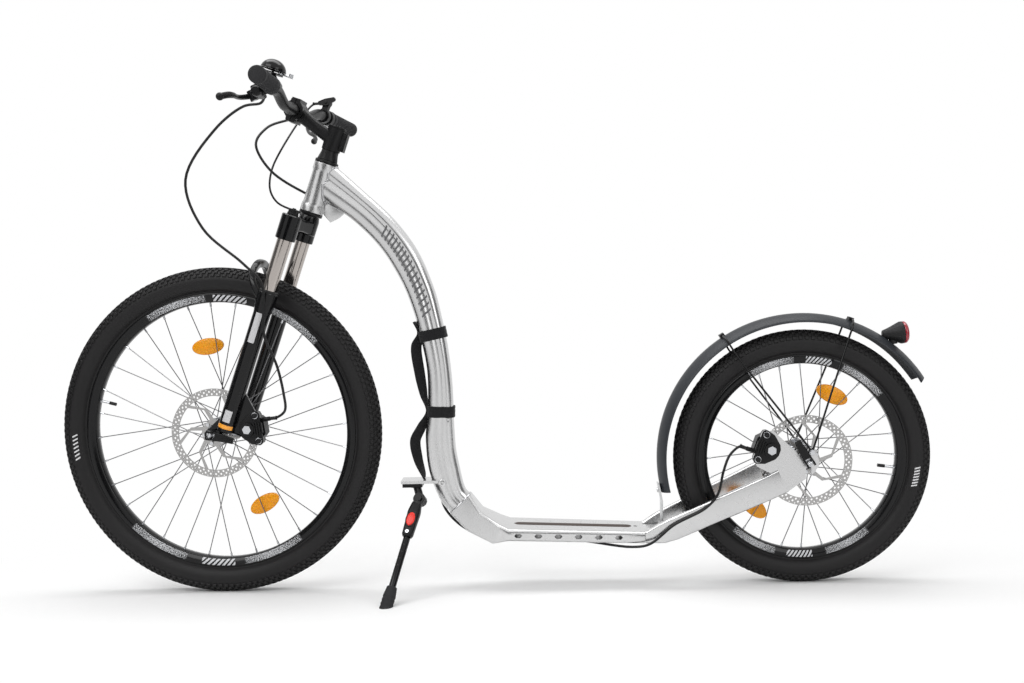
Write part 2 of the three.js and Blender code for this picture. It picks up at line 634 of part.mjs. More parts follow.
function addWheel(group, prefix, sizes) {
  add(group, `${prefix}_tyre`, tyreBody(sizes), looks.tyreRubber);
  add(group, `${prefix}_rim`, rimBody(sizes), looks.glossBlack);
  add(group, `${prefix}_hub_and_spokes`, hubBody(sizes), looks.steel);
  add(group, `${prefix}_rotor`, rotorBody(sizes), looks.steel);
  sizes.reflectorAngles.forEach((degrees, k) => {
    add(group, `${prefix}_reflector_${k + 1}`, reflectorBody(sizes, degrees), looks.amber);
  });
}

addWheel(frontHubGroup, 'front', frontWheelSizes);
addWheel(rearHubGroup, 'rear', rearWheelSizes);

// Fork: crown with steerer and upper tubes, knobs, spring, and the sliding lower legs

const legX = -leg.ahead;
const legSides = [-leg.spacing / 2, leg.spacing / 2];
const tubeInner = stanchion.radius - stanchion.wall;
const plugRadius = tubeInner * flatShare - running;
const steererInner = steererRadius - steererWall;
const stemTop = stemBottom + stem.clampHeight;
const tabFace = (sizes) => -sizes.discPlane - caliper.outboard - seat;

function forkCrown() {
  const linkMiddle = crownTop - crown.linkHeight / 2 - seat;
  const arm = (y) => loft(ringsAlong(
    [at(0, 0, linkMiddle), at(legX / 2, y / 2, linkMiddle), at(legX, y, linkMiddle)],
    crown.linkHalves.map(
      ([halfDeep, halfHigh]) => roundedBox(halfDeep, halfHigh, crown.linkRound, crown.linkCorner)
    ),
    axisZ,
  ));
  const raceTop = crownTop + raceHeight - seat;
  const stopBase = at(cableStop.x, cableStop.y, crownTop);
  const whole = join(
    ...legSides.map((y) => upright(legX, y, crownBottom, crownTop, crown.socketRadius, round)),
    ...legSides.map((y) => upright(legX, y, stanchion.bottom, crownTop, stanchion.radius, round)),
    ...legSides.map(arm),
    upright(0, 0, crownTop - crown.linkHeight, crownTop, crown.bossRadius, round),
    upright(0, 0, crownTop - overrun, raceTop, crown.bossRadius, round, crown.raceRadius),
    upright(0, 0, crownTop - overrun, stemTop - stem.capRecess, steererRadius, round),
    block(at(cableStop.long, cableStop.wide, 2 * cableStop.height), stopBase),
  );
  const bottom = stanchion.bottom - overrun;
  return cut(
    whole,
    upright(0, 0, bottom, stemTop + overrun, steererInner, round),
    ...legSides.map((y) => upright(legX, y, bottom, crownTop + overrun, tubeInner, round)),
  );
}

// A knob whose plug fills the top of an upper tube and whose ribbed head stands above the crown.
function forkKnob(ribs) {
  const outline = circle(flat(0, 0), forkCap.knobRadius, 2 * ribs).map((p, k) => (
    k % 2 === 0 ? p : p.multiplyScalar(1 - forkCap.ribDepth / forkCap.knobRadius)
  ));
  return join(
    upright(0, 0, -forkCap.plugLength, overrun, plugRadius),
    slab(outline, seat, forkCap.knobHeight),
    upright(
      0, 0, forkCap.knobHeight - seat, forkCap.knobHeight + forkCap.pointerHeight, forkCap.pointerRadius,
    ),
  );
}

// A wire coil between the head of the plunger and the plug of the preload knob.
function forkSpringBody() {
  const low = plunger.headAt + plunger.headHeight + forkSpring.wireRadius + seat;
  const high = crownTop - forkCap.plugLength - forkSpring.wireRadius - seat;
  const coilRadius = tubeInner - forkSpring.wireRadius - running;
  const steps = forkSpring.turns * forkSpring.stepsPerTurn;
  const points = Array.from({ length: steps + 1 }, (_, k) => {
    const p = polar(coilRadius, (2 * Math.PI * k) / forkSpring.stepsPerTurn);
    return [p.x, p.y, mix(low, high, k / steps)];
  });
  return hoseAlong(points, forkSpring.wireRadius, forkSpring.sides, steps);
}

function forkLeg(y) {
  const bore = stanchion.radius + running;
  const headTop = plunger.headAt + plunger.headHeight;
  return turnedUpright([
    [0, leg.bottom], [leg.radius - leg.taper, leg.bottom], [leg.radius, leg.bottom + leg.taper],
    [leg.radius, leg.top - 2 * leg.collar], [leg.topRadius, leg.top - leg.collar],
    [leg.topRadius, leg.top - leg.taper], [leg.topRadius - leg.taper, leg.top], [bore, leg.top],
    [bore, leg.boreFloor], [plunger.rodRadius, leg.boreFloor], [plunger.rodRadius, plunger.headAt],
    [plugRadius, plunger.headAt], [plugRadius, headTop], [0, headTop],
  ], round).translate(legX, y, 0);
}

// What must stay open round the plunger inside one leg.
function legHollow(y) {
  const bore = stanchion.radius + running;
  const headTop = plunger.headAt + plunger.headHeight;
  return turnedUpright([
    [plunger.rodRadius, leg.boreFloor], [bore, leg.boreFloor], [bore, leg.top + overrun],
    [0, leg.top + overrun], [0, headTop], [plugRadius, headTop], [plugRadius, plunger.headAt],
    [plunger.rodRadius, plunger.headAt], [plunger.rodRadius, leg.boreFloor],
  ], round).translate(legX, y, 0);
}

// A slot round the origin that is open downwards.
function axleSlot(half, depth, low, high) {
  const top = Array.from({ length: coarse / 2 + 1 }, (_, k) => polar(half, (2 * Math.PI * k) / coarse));
  return sidePlate([...top, flat(-half, -depth), flat(half, -depth)], low, high);
}

// The brace that joins the legs over the front of the tyre.
function forkArch() {
  const half = leg.spacing / 2;
  const foot = leg.top - leg.collar;
  const side = arch.shares.map(
    ([ahead, out, up]) => at(legX - arch.reach * ahead, -half * out, foot + arch.rise * up)
  );
  const mirrored = side.slice(0, -1).reverse().map((p) => at(p.x, -p.y, p.z));
  const points = new THREE.CatmullRomCurve3([...side, ...mirrored]).getPoints(arch.steps);
  const outline = roundedBox(arch.deep / 2, arch.thick / 2, arch.round, bandCorner);
  return loft(ringsAlong(points, points.map(() => outline), axisX));
}

// Places about a wheel axle in the turned axes of its caliper: x outward, z along the disc.
const earPlaces = [-1, 1].map((end) => flat(caliper.earAt, (end * caliper.earSpacing) / 2));

function caliperTab(sizes) {
  const face = tabFace(sizes);
  const back = face - caliper.tabThick;
  const web = [
    flat(caliper.earAt - caliper.earRadius, earPlaces[0].y),
    flat(caliper.earAt + caliper.earRadius, earPlaces[0].y),
    flat(caliper.earAt + caliper.earRadius, earPlaces[1].y),
    flat(caliper.earAt - caliper.earRadius, earPlaces[1].y),
  ];
  return join(
    ...earPlaces.map((ear) => sidePlate(circle(ear, caliper.earRadius, coarse), back, face)),
    sidePlate(web, back, face),
  );
}

// Room in a tab for the caliper's bolts and its piston housing.
function caliperRoom(sizes) {
  const face = tabFace(sizes);
  const [low, high] = [face - 2 * caliper.tabThick, face + overrun];
  return [
    ...earPlaces.map((ear) => across(ear.x, ear.y, low, high, mountBolt.radius + seat)),
    across(caliper.pistonAt, 0, low, high, caliper.pistonRadius + 2 * seat, round),
  ];
}

function caliperBody(sizes) {
  const plane = -sizes.discPlane;
  const outer = plane - caliper.outboard;
  const inner = plane + caliper.inboard;
  const slope = caliper.chamfer;
  const outline = [
    flat(caliper.inner + slope, -caliper.halfLong), flat(caliper.outer - slope, -caliper.halfLong),
    flat(caliper.outer, slope - caliper.halfLong), flat(caliper.outer, caliper.halfLong - slope),
    flat(caliper.outer - slope, caliper.halfLong), flat(caliper.inner + slope, caliper.halfLong),
    flat(caliper.inner, caliper.halfLong - slope), flat(caliper.inner, slope - caliper.halfLong),
  ];
  const discSlot = block(
    at(2 * (rotor.radius + overrun - caliper.inner), 2 * caliper.slotHalf, 2 * (caliper.halfLong + overrun)),
    at(caliper.inner, plane, 0),
  );
  const ears = earPlaces.flatMap((ear) => [
    sidePlate(circle(ear, caliper.earRadius, coarse), outer, outer + caliper.earThick),
    block(
      at(2 * caliper.earRadius, caliper.earThick, caliper.earSpacing / 2),
      at(ear.x, outer + caliper.earThick / 2, ear.y / 2),
    ),
    across(ear.x, ear.y, outer - caliper.boltBite, outer + seat, mountBolt.radius),
    across(
      ear.x, ear.y, outer + caliper.earThick - seat, outer + caliper.earThick + mountBolt.headHeight,
      mountBolt.headRadius,
    ),
  ]);
  const padBack = caliper.slotHalf + seat;
  const padFace = rotor.thick / 2 + running;
  const pads = [-1, 1].map((side) => block(
    at(caliper.padWide, padBack - padFace, caliper.padLong),
    at(rotor.radius - rotor.trackWidth / 2, plane + (side * (padBack + padFace)) / 2, 0),
  ));
  const union = rod(
    at(caliper.outer - overrun, plane - caliper.unionShift, caliper.unionAt),
    at(caliper.outer + caliper.unionLength, plane - caliper.unionShift, caliper.unionAt),
    caliper.unionRadius, coarse,
  );
  return join(
    cut(sidePlate(outline, outer, inner), discSlot), ...ears, ...pads, union,
    across(caliper.pistonAt, 0, outer - caliper.pistonProud, outer + seat, caliper.pistonRadius, round),
  );
}

function forkLowers() {
  const tip = (side) => {
    const inner = (side * frontWheelSizes.hubWidth) / 2;
    const outer = inner + side * forkTip.thick;
    const [low, high] = [Math.min(inner, outer), Math.max(inner, outer)];
    return [
      sidePlate(circle(flat(-forkOffset, 0), forkTip.radius, round), low, high),
      sidePlate([
        flat(-forkOffset, -forkTip.webHalf), flat(legX, leg.bottom + leg.taper),
        flat(legX + leg.radius / 2, leg.bottom + leg.collar), flat(legX, leg.bottom + 2 * leg.collar),
        flat(legX - leg.radius / 2, leg.bottom + 2 * leg.collar),
        flat(-forkOffset - forkTip.webHalf, forkTip.webHalf),
      ], low, high),
    ];
  };
  const width = frontWheelSizes.hubWidth;
  const slot = axleSlot(forkTip.slotHalf, 2 * forkTip.radius, -width, width).translate(-forkOffset, 0, 0);
  const tab = turnUp(caliperTab(frontWheelSizes), frontCaliperAngle).translate(-forkOffset, 0, 0);
  const room = caliperRoom(frontWheelSizes).map(
    (tool) => turnUp(tool, frontCaliperAngle).translate(-forkOffset, 0, 0)
  );
  const [lowEar, highEar] = earPlaces.map((ear) => (
    ear.clone().rotateAround(flat(0, 0), radians(frontCaliperAngle)).add(flat(-forkOffset, 0))
  ));
  const face = tabFace(frontWheelSizes);
  const bridge = sidePlate([
    flat(legX, leg.bottom + leg.taper), flat(lowEar.x, lowEar.y - caliper.earRadius / 2), lowEar, highEar,
    flat(highEar.x, highEar.y + caliper.earRadius / 2), flat(legX, leg.bottom + leg.bridgeHeight),
  ], face - caliper.tabThick, face);
  const whole = join(...legSides.map(forkLeg), forkArch(), ...tip(-1), ...tip(1), tab, bridge);
  return cut(whole, slot, ...room, ...legSides.map(legHollow));
}

// Axles: a skewer with a nut on the right and a cross pin for its cam lever on the left

const camReach = axle.washer + axle.camRadius + seat + running; // from the plate's face to the pin
const camGap = axle.radius + running;

function axleBody(face) {
  const outer = face + seat;
  const pinAt = -(face + camReach);
  return join(
    across(0, 0, pinAt, outer + axle.nutLength, axle.radius),
    across(0, 0, -outer - axle.washer, -outer, axle.nutRadius, round),
    across(0, 0, outer, outer + axle.nutLength - axle.washer / 2, axle.nutRadius, axle.nutSides),
    rod(at(0, pinAt, -camGap - axle.camThick), at(0, pinAt, camGap + axle.camThick), axle.pinRadius, coarse),
  );
}

// The cam lever, drawn pointing along +X with its pin as the origin.
function quickLeverBody() {
  const cheek = (z) => cut(
    join(
      slab(circle(flat(0, 0), axle.camRadius, coarse), z, z + axle.camThick),
      block(
        at(quickLever.root, quickLever.thick, axle.camThick),
        at(quickLever.root / 2, 0, z + axle.camThick / 2),
      ),
    ),
    rod(at(0, 0, z - overrun), at(0, 0, z + axle.camThick + overrun), axle.pinRadius + running, coarse),
  );
  const arm = quickLever.shares.map(([along, outward]) => (
    at(mix(quickLever.root - axle.camThick, quickLever.length, along), -quickLever.curve * outward, 0)
  ));
  const outlines = quickLever.shares.map(([along]) => (
    roundedBox(
      mix(camGap + axle.camThick, quickLever.halfWide, along), quickLever.thick / 2, quickLever.round,
    )
  ));
  return join(cheek(camGap), cheek(-camGap - axle.camThick), loft(ringsAlong(arm, outlines, axisY)));
}

function addQuickRelease(group, prefix, face, angle) {
  add(group, `${prefix}_axle`, turnUp(axleBody(face), angle), looks.steel);
  const lever = quickLeverBody().translate(0, -(face + camReach), 0);
  add(group, `qr_lever_${prefix}`, turnUp(lever, angle), looks.satinBlack);
}

add(steering, 'fork_crown', forkCrown(), looks.steel);
add(steering, 'fork_spring', forkSpringBody().translate(legX, legSides[0], 0), looks.steel);
add(
  steering, 'preload_knob', forkKnob(forkCap.preloadRibs).translate(legX, legSides[0], crownTop),
  looks.satinBlack,
);
add(steering, 'lockout_dial', forkKnob(forkCap.dialRibs).translate(legX, legSides[1], crownTop), looks.steel);
add(steering, 'fork_lowers', forkLowers(), looks.glossBlack);
add(
  frontHubGroup, 'front_caliper', turnUp(caliperBody(frontWheelSizes), frontCaliperAngle), looks.satinBlack,
);
add(rearHubGroup, 'rear_caliper', turnUp(caliperBody(rearWheelSizes), rearCaliperAngle), looks.satinBlack);
addQuickRelease(frontHubGroup, 'front', frontWheelSizes.hubWidth / 2 + forkTip.thick, quickLever.frontAngle);
addQuickRelease(rearHubGroup, 'rear', rearWheelSizes.hubWidth / 2 + dropout.thick, quickLever.rearAngle);

// Headset, stem and handlebar, all about the steering axis

const barCentre = at(-stem.reach, 0, stemBottom + stem.clampHeight / 2 + stem.rise);

function headCup(lift, direction) {
  const bore = (steererRadius + running) / flatShare;
  const skirt = headTube.bore - seat;
  const profile = [
    [bore, 0], [cup.radius - cup.bevel, 0], [cup.radius, cup.bevel], [cup.radius, cup.flange - seat],
    [skirt, cup.flange - seat], [skirt, cup.flange + cup.skirt], [bore, cup.flange + cup.skirt], [bore, 0],
  ];
  return turnedUpright(profile.map(([r, h]) => [r, lift + direction * h]), round);
}

function spacerBody() {
  const low = headTop + cup.flange + seat;
  const high = stemBottom - seat;
  const bore = steererRadius + running;
  return turnedUpright([
    [bore, low], [spacer.bottomRadius, low], [spacer.topRadius, high - spacer.collar],
    [spacer.topRadius, high], [bore, high], [bore, low],
  ], round);
}

// What the bar clamp is made from before it is split into stem and faceplate.
function barClampBlank() {
  const half = stem.barClampHalf;
  return join(
    across(barCentre.x, barCentre.z, -half, half, stem.barClampRadius, round),
    block(at(2 * stem.lugDeep, 2 * half, 2 * stem.lugHigh), barCentre),
  );
}

const barHole = () => across(
  barCentre.x, barCentre.z, -stem.barClampHalf - overrun, stem.barClampHalf + overrun,
  (bar.centreRadius + seat) / flatShare, round,
);
const clampBoltPlaces = [[-1, -1], [-1, 1], [1, -1], [1, 1]].map(([side, end]) => (
  flat(side * stem.boltAside, barCentre.z + end * stem.boltUp)
));

function stemBody() {
  const middle = stemBottom + stem.clampHeight / 2;
  const neck = loft(ringsAlong(
    [at(0, 0, middle), at(-stem.reach / 2, 0, middle + stem.rise * stem.neckShare), barCentre],
    [1, stem.waistShare, 1].map((share) => (
      roundedBox(stem.neckHalfHigh * share, stem.neckHalfWide * share, stem.neckRound)
    )),
    axisY,
  ));
  const pinch = block(
    at(stem.pinchLong, stem.pinchWide, stem.clampHeight - stem.pinchWide / 2),
    at(stem.clampRadius, 0, middle),
  );
  const front = 2 * stem.clampRadius + stem.barClampHalf;
  const tools = [
    upright(0, 0, stemBottom - overrun, stemTop + overrun, steererRadius + seat, round),
    barHole(),
    block(at(front, 2 * front, 2 * front), at(barCentre.x + stem.split - front / 2, 0, barCentre.z)),
    block(
      at(stem.clampRadius, 2 * stem.split, 2 * stem.clampHeight),
      at(steererRadius + stem.clampRadius / 2, 0, middle),
    ),
    ...clampBoltPlaces.map((p) => rod(
      at(barCentre.x - overrun, p.x, p.y), at(barCentre.x + stem.boltBite + seat, p.x, p.y),
      stem.boltRadius + seat, small,
    )),
  ];
  const pinchBolts = [-1, 1].map((end) => across(
    stem.clampRadius + stem.boltRadius, middle + (end * stem.clampHeight) / 4,
    -stem.pinchWide / 2 - stem.boltHeadHeight, stem.pinchWide / 2, stem.boltHeadRadius, small,
  ));
  return join(
    cut(
      join(upright(0, 0, stemBottom, stemTop, stem.clampRadius, round), neck, barClampBlank(), pinch),
      ...tools,
    ),
    ...pinchBolts,
  );
}

function faceplateBody() {
  const behind = 4 * stem.barClampRadius;
  const face = barCentre.x - stem.lugDeep;
  const plate = cut(
    barClampBlank(), barHole(),
    block(at(behind, behind, behind), at(barCentre.x - stem.split + behind / 2, 0, barCentre.z)),
    block(at(behind, stem.windowWide, stem.windowHigh), at(face, 0, barCentre.z)),
  );
  const bolts = clampBoltPlaces.flatMap((p) => [
    rod(at(face, p.x, p.y), at(barCentre.x + stem.boltBite, p.x, p.y), stem.boltRadius, small),
    rod(at(face - stem.boltHeadHeight, p.x, p.y), at(face + seat, p.x, p.y), stem.boltHeadRadius, small),
  ]);
  return join(plate, ...bolts);
}

function stemCapBody() {
  const low = stemTop + seat;
  const high = low + stem.capThick;
  return join(
    upright(0, 0, low, high, stem.clampRadius - stem.split, round),
    upright(0, 0, low - stem.capPlug, low + seat, steererInner * flatShare - running),
    upright(0, 0, high - seat, high + stem.boltHeadHeight, stem.boltHeadRadius + stem.split, small),
  );
}

const bendHalf = bar.halfWidth - bar.straight;
const lowHalf = bendHalf * bar.lowShare;

// The bar's centre line: a low middle, a rise on each side, then straight ends swept back.
function barPoint(y) {
  const out = Math.abs(y);
  const climb = THREE.MathUtils.smoothstep(out, lowHalf - bar.bendEase / 2, bendHalf + bar.bendEase / 2);
  const swept = Math.max(0, out - bendHalf) / (bar.halfWidth - bendHalf);
  return at(barCentre.x + bar.sweep * swept, y, barCentre.z + bar.rise * climb);
}

function barLoft(inset, extra) {
  const outs = [
    bar.halfWidth + extra, bendHalf + bar.bendEase / 2,
    ...bar.bendShares.map((share) => mix(lowHalf, bendHalf, share)),
    bar.centreHalf + bar.centreTaper, bar.centreHalf,
  ];
  const places = [...outs.map((out) => -out), ...outs.reverse()];
  const outlines = places.map((y) => (
    circle(flat(0, 0), (Math.abs(y) > bar.centreHalf ? bar.radius : bar.centreRadius) - inset, coarse)
  ));
  return loft(ringsAlong(places.map(barPoint), outlines, axisZ));
}

// Grips, levers, bell and lockout: forward, distance in from the bar's end and height above its centre

const sweepAngle = Math.atan2(bar.sweep, bar.halfWidth - bendHalf);

function gripGroupOn(side) {
  const group = groupIn(steering);
  group.name = side < 0 ? 'left_grip_line' : 'right_grip_line';
  group.position.copy(barPoint(side * bar.halfWidth));
  group.rotation.z = -side * sweepAngle;
  return group;
}

const placesOn = (side) => (forward, inward, up) => at(-forward, -side * inward, up);

function gripBody(side) {
  const bore = (bar.radius + seat) / Math.cos(Math.PI / coarse);
  const ribShares = Array.from({ length: 2 * grip.ribs + 1 }, (_, k) => k);
  const ribPitch = (grip.length - 2 * grip.flangeLength) / (2 * grip.ribs);
  const profile = [
    [0, -grip.capThick], [grip.radius - grip.ribDepth, -grip.capThick],
    ...ribShares.map((k) => [grip.radius - (k % 2) * grip.ribDepth, grip.flangeLength / 2 + k * ribPitch]),
    [grip.flangeRadius, grip.length - grip.flangeLength], [grip.flangeRadius, grip.length],
    [bore, grip.length], [bore, -seat], [0, -seat],
  ];
  return turned(profile.map(([r, inward]) => [r, -side * inward]), coarse);
}

function leverGroupOn(gripGroup) {
  const group = groupIn(gripGroup);
  group.rotation.y = -radians(brakeLever.drop);
  return group;
}

function brakeBody(side) {
  const place = placesOn(side);
  const ringHalf = brakeLever.clampHalf;
  const middle = brakeLever.clampAt + brakeLever.bodyShift;
  const [outerEnd, innerEnd] = [middle - brakeLever.bodyLength / 2, middle + brakeLever.bodyLength / 2];
  const ahead = brakeLever.bodyAhead;
  const gap = brakeLever.bladeHalf + running;
  const jaw = [
    [ahead - brakeLever.bodyRadius / 2, -1], [ahead - brakeLever.bodyRadius / 2, 1],
    [brakeLever.pivotAhead, 1], [brakeLever.pivotAhead + brakeLever.pivotRadius, 1 / 3],
    [brakeLever.pivotAhead + brakeLever.pivotRadius, -1 / 3], [brakeLever.pivotAhead, -1],
  ].map(([forward, share]) => {
    const p = place(forward, brakeLever.pivotAt + share * brakeLever.pivotRadius, 0);
    return flat(p.x, p.y);
  });
  const pivot = place(brakeLever.pivotAhead, brakeLever.pivotAt, 0);
  const whole = join(
    rod(
      place(0, brakeLever.clampAt - ringHalf, 0), place(0, brakeLever.clampAt + ringHalf, 0),
      bar.radius + seat + brakeLever.clampWall, round,
    ),
    block(at(ahead, 2 * ringHalf, 2 * ringHalf), place(ahead / 2, brakeLever.clampAt, 0)),
    rod(place(ahead, outerEnd, 0), place(ahead, innerEnd, 0), brakeLever.bodyRadius, round),
    block(
      at(brakeLever.lidWide, brakeLever.lidLong, brakeLever.lidThick),
      place(ahead, middle, brakeLever.bodyRadius),
    ),
    slab(jaw, gap, brakeLever.jawHalf), slab(jaw, -brakeLever.jawHalf, -gap),
    rod(
      place(ahead, innerEnd - seat, 0), place(ahead, innerEnd + brakeLever.spoutLength, 0),
      brakeLever.spoutRadius, coarse,
    ),
  );
  const holed = cut(
    whole,
    rod(place(0, 0, 0), place(0, 2 * brakeLever.clampAt, 0), (bar.radius + seat) / flatShare, round),
    slab(circle(flat(pivot.x, pivot.y), brakeLever.pivotRadius + 2 * running, round), -gap, gap),
  );
  return join(
    holed, upright(pivot.x, pivot.y, -brakeLever.jawHalf, brakeLever.jawHalf, brakeLever.pinRadius),
  );
}

function brakeBlade(side) {
  const place = placesOn(side);
  const half = brakeLever.bladeHalf;
  const pivot = place(brakeLever.pivotAhead, brakeLever.pivotAt, 0);
  const line = brakeLever.blade.map(([forward, inward]) => place(forward, inward, 0));
  const outline = roundedBox(brakeLever.bladeThick / 2, half, brakeLever.bladeRound);
  const ball = new THREE.SphereGeometry(
    brakeLever.ballRadius, coarse, coarse / 2,
  ).translate(...line.at(-1).toArray());
  const eye = slab(circle(flat(pivot.x, pivot.y), brakeLever.pivotRadius, round), -half, half);
  return cut(
    join(eye, loft(ringsAlong(line, line.map(() => outline), axisZ)), ball),
    upright(pivot.x, pivot.y, -2 * half, 2 * half, brakeLever.pinRadius + running),
  );
}

function bellBase(side) {
  const place = placesOn(side);
  const ring = bar.radius + seat + bell.clampWall;
  const plateLow = bell.plateLift - bell.plateThick;
  const holed = cut(
    join(
      rod(
        place(0, bell.clampAt - bell.clampHalf, 0), place(0, bell.clampAt + bell.clampHalf, 0), ring, round,
      ),
      rod(
        place(0, bell.clampAt, bar.radius), place(bell.ahead, bell.clampAt, plateLow + seat),
        bell.stalkRadius, coarse,
      ),
    ),
    rod(place(0, 0, 0), place(0, 2 * bell.clampAt, 0), (bar.radius + seat) / flatShare, round),
  );
  const centre = place(bell.ahead, bell.clampAt, 0);
  const pin = place(bell.ahead - striker.pinBehind, bell.clampAt, 0);
  const pinTop = bell.plateLift + striker.thick + seat;
  return join(
    holed,
    upright(centre.x, centre.y, plateLow, bell.plateLift, bell.plateRadius, round),
    upright(
      centre.x, centre.y, plateLow, bell.rimLift + bell.domeHeight - bell.domeWall - bell.pillarShort,
      bell.pillarRadius,
    ),
    upright(pin.x, pin.y, plateLow, pinTop, striker.pinRadius),
  );
}

function bellDome(side) {
  const centre = placesOn(side)(bell.ahead, bell.clampAt, bell.rimLift);
  const arc = (radius, height) => Array.from({ length: bell.domeSteps + 1 }, (_, k) => {
    const angle = (Math.PI / 2) * (k / bell.domeSteps);
    return [k === bell.domeSteps ? 0 : radius * Math.cos(angle), height * Math.sin(angle)];
  });
  const outer = arc(bell.domeRadius, bell.domeHeight);
  const inner = arc(bell.domeRadius - bell.domeWall, bell.domeHeight - bell.domeWall).reverse();
  return turnedUpright([...outer, ...inner, outer[0]], round).translate(...centre.toArray());
}

function bellStriker(side) {
  const place = placesOn(side);
  const behind = bell.ahead - striker.pinBehind;
  const pin = place(behind, bell.clampAt, 0);
  const low = bell.plateLift + seat;
  const high = low + striker.thick;
  const knob = place(behind - striker.reach, bell.clampAt, 0);
  const middle = (low + high) / 2;
  return cut(
    join(
      upright(pin.x, pin.y, low, high, striker.eyeRadius),
      rod(
        place(behind - striker.eyeRadius / 2, bell.clampAt, middle),
        place(behind - striker.reach, bell.clampAt, middle), striker.armRadius, small,
      ),
      upright(knob.x, knob.y, low, high + striker.knobRadius, striker.knobRadius),
    ),
    upright(pin.x, pin.y, low - overrun, high + overrun, striker.pinRadius + running),
  );
}

// The remote lockout: a ring with a tower that carries a drum, and the thumb lever beside it.
function lockoutClamp(side) {
  const place = placesOn(side);
  const ring = bar.radius + seat + lockout.clampWall;
  const half = lockout.clampHalf;
  const lift = lockout.towerLift;
  const drumEnd = lockout.clampAt + lockout.towerHalf;
  const pinEnd = drumEnd + lockout.earThick + 2 * running;
  const holed = cut(
    join(
      rod(place(0, lockout.clampAt - half, 0), place(0, lockout.clampAt + half, 0), ring, round),
      block(at(2 * lockout.towerHalf, 2 * half, lift), place(0, lockout.clampAt, lift / 2)),
    ),
    rod(place(0, 0, 0), place(0, 2 * lockout.clampAt, 0), (bar.radius + seat) / flatShare, round),
  );
  return join(
    holed,
    rod(
      place(0, lockout.clampAt - lockout.towerHalf, lift), place(0, drumEnd, lift), lockout.towerRadius,
      round,
    ),
    rod(place(0, drumEnd - seat, lift), place(0, pinEnd, lift), brakeLever.pinRadius, coarse),
    rod(place(0, pinEnd - seat, lift), place(0, pinEnd + lockout.washer, lift), lockout.earHalf, coarse),
    rod(
      place(lockout.towerRadius / 2, lockout.clampAt, lift), place(...lockoutSpout()), lockout.spoutRadius,
      coarse,
    ),
  );
}

// The end of the cable spout, or a place further along its line.
function lockoutSpout(beyond = 0) {
  const start = flat(lockout.towerRadius / 2, lockout.towerLift);
  const end = flat(lockout.towerRadius + lockout.spoutLength, lockout.towerLift - lockout.spoutDrop);
  const place = end.clone().addScaledVector(end.clone().sub(start).normalize(), beyond);
  return [place.x, lockout.clampAt, place.y];
}

function lockoutLever(side) {
  const inner = lockout.clampAt + lockout.towerHalf + running;
  const [low, high] = [-side * inner, -side * (inner + lockout.earThick)].sort((a, b) => a - b);
  const ears = lockout.ears.map(([turn, reach]) => {
    const outline = [
      flat(0, lockout.hubRadius), flat(reach, lockout.earHalf), flat(reach + lockout.earHalf / 2, 0),
      flat(reach, -lockout.earHalf), flat(0, -lockout.hubRadius),
    ].map((p) => p.rotateAround(flat(0, 0), radians(turn)));
    return sidePlate(outline, low, high);
  });
  const hub = across(0, 0, low, high, lockout.hubRadius, round);
  return cut(join(hub, ...ears), across(0, 0, low - overrun, high + overrun, brakeLever.pinRadius + running))
    .translate(0, 0, lockout.towerLift);
}

add(headAxis, 'headset_lower', headCup(headBottom - cup.flange, 1), looks.satinBlack);
add(headAxis, 'headset_upper', headCup(headTop + cup.flange, -1), looks.satinBlack);
add(steering, 'headset_spacer', spacerBody(), looks.satinBlack);
add(steering, 'stem', stemBody(), looks.satinBlack);
add(steering, 'stem_faceplate', faceplateBody(), looks.satinBlack);
add(steering, 'stem_cap', stemCapBody(), looks.satinBlack);
add(steering, 'handlebar', cut(barLoft(0, 0), barLoft(bar.wall, overrun)), looks.satinBlack);

const gripGroups = new Map([-1, 1].map((side) => [side, gripGroupOn(side)]));
const leverGroups = new Map([-1, 1].map((side) => [side, leverGroupOn(gripGroups.get(side))]));
[[-1, 'left'], [1, 'right']].forEach(([side, label]) => {
  add(gripGroups.get(side), `grip_${label}`, gripBody(side), looks.gripRubber);
  add(leverGroups.get(side), `brake_body_${label}`, brakeBody(side), looks.satinBlack);
  add(leverGroups.get(side), `brake_lever_${label}`, brakeBlade(side), looks.satinBlack);
});
add(gripGroups.get(-1), 'bell_base', bellBase(-1), looks.satinBlack);
add(gripGroups.get(-1), 'bell_dome', bellDome(-1), looks.satinBlack);
add(gripGroups.get(-1), 'bell_striker', bellStriker(-1), looks.satinBlack);
add(gripGroups.get(1), 'lockout_clamp', lockoutClamp(1), looks.satinBlack);
add(gripGroups.get(1), 'lockout_lever', lockoutLever(1), looks.satinBlack);

// Frame: head tube, curved main tube, deck, stays with dropouts

const headPoint = (up) => at(0, 0, up).applyMatrix4(headAxis.matrix);
const inBike = (geometry) => geometry.applyMatrix4(headAxis.matrix);

function headTubeBody() {
  const { radius, flare, flareLength, length, bore } = headTube;
  const low = headBottom;
  const high = headBottom + length;
  return turnedUpright([
    [bore, low], [flare, low], [flare, low + flareLength], [radius, low + flareLength + overrun],
    [radius, high - flareLength - overrun], [flare, high - flareLength], [flare, high], [bore, high],
    [bore, low],
  ], round);
}

const deckJoint = at(deck.frontX - deck.noseLength, 0, deck.centreZ + deck.noseRise);
const tubeTop = headPoint(headBottom + headTube.length * mainTube.headShare);
const spine = mainTube.spine.map(([along, up, depth]) => ({
  point: at(mix(deckJoint.x, tubeTop.x, along), 0, mix(deckJoint.z, tubeTop.z, up)),
  depth: mainTube.depth * depth,
}));
const standBoltX = deckJoint.x - standPlate.boltAhead;
const standPlateZ = deckJoint.z + standPlate.lift;
const jointTangent = spine.at(-1).point.clone().sub(spine.at(-2).point).normalize();

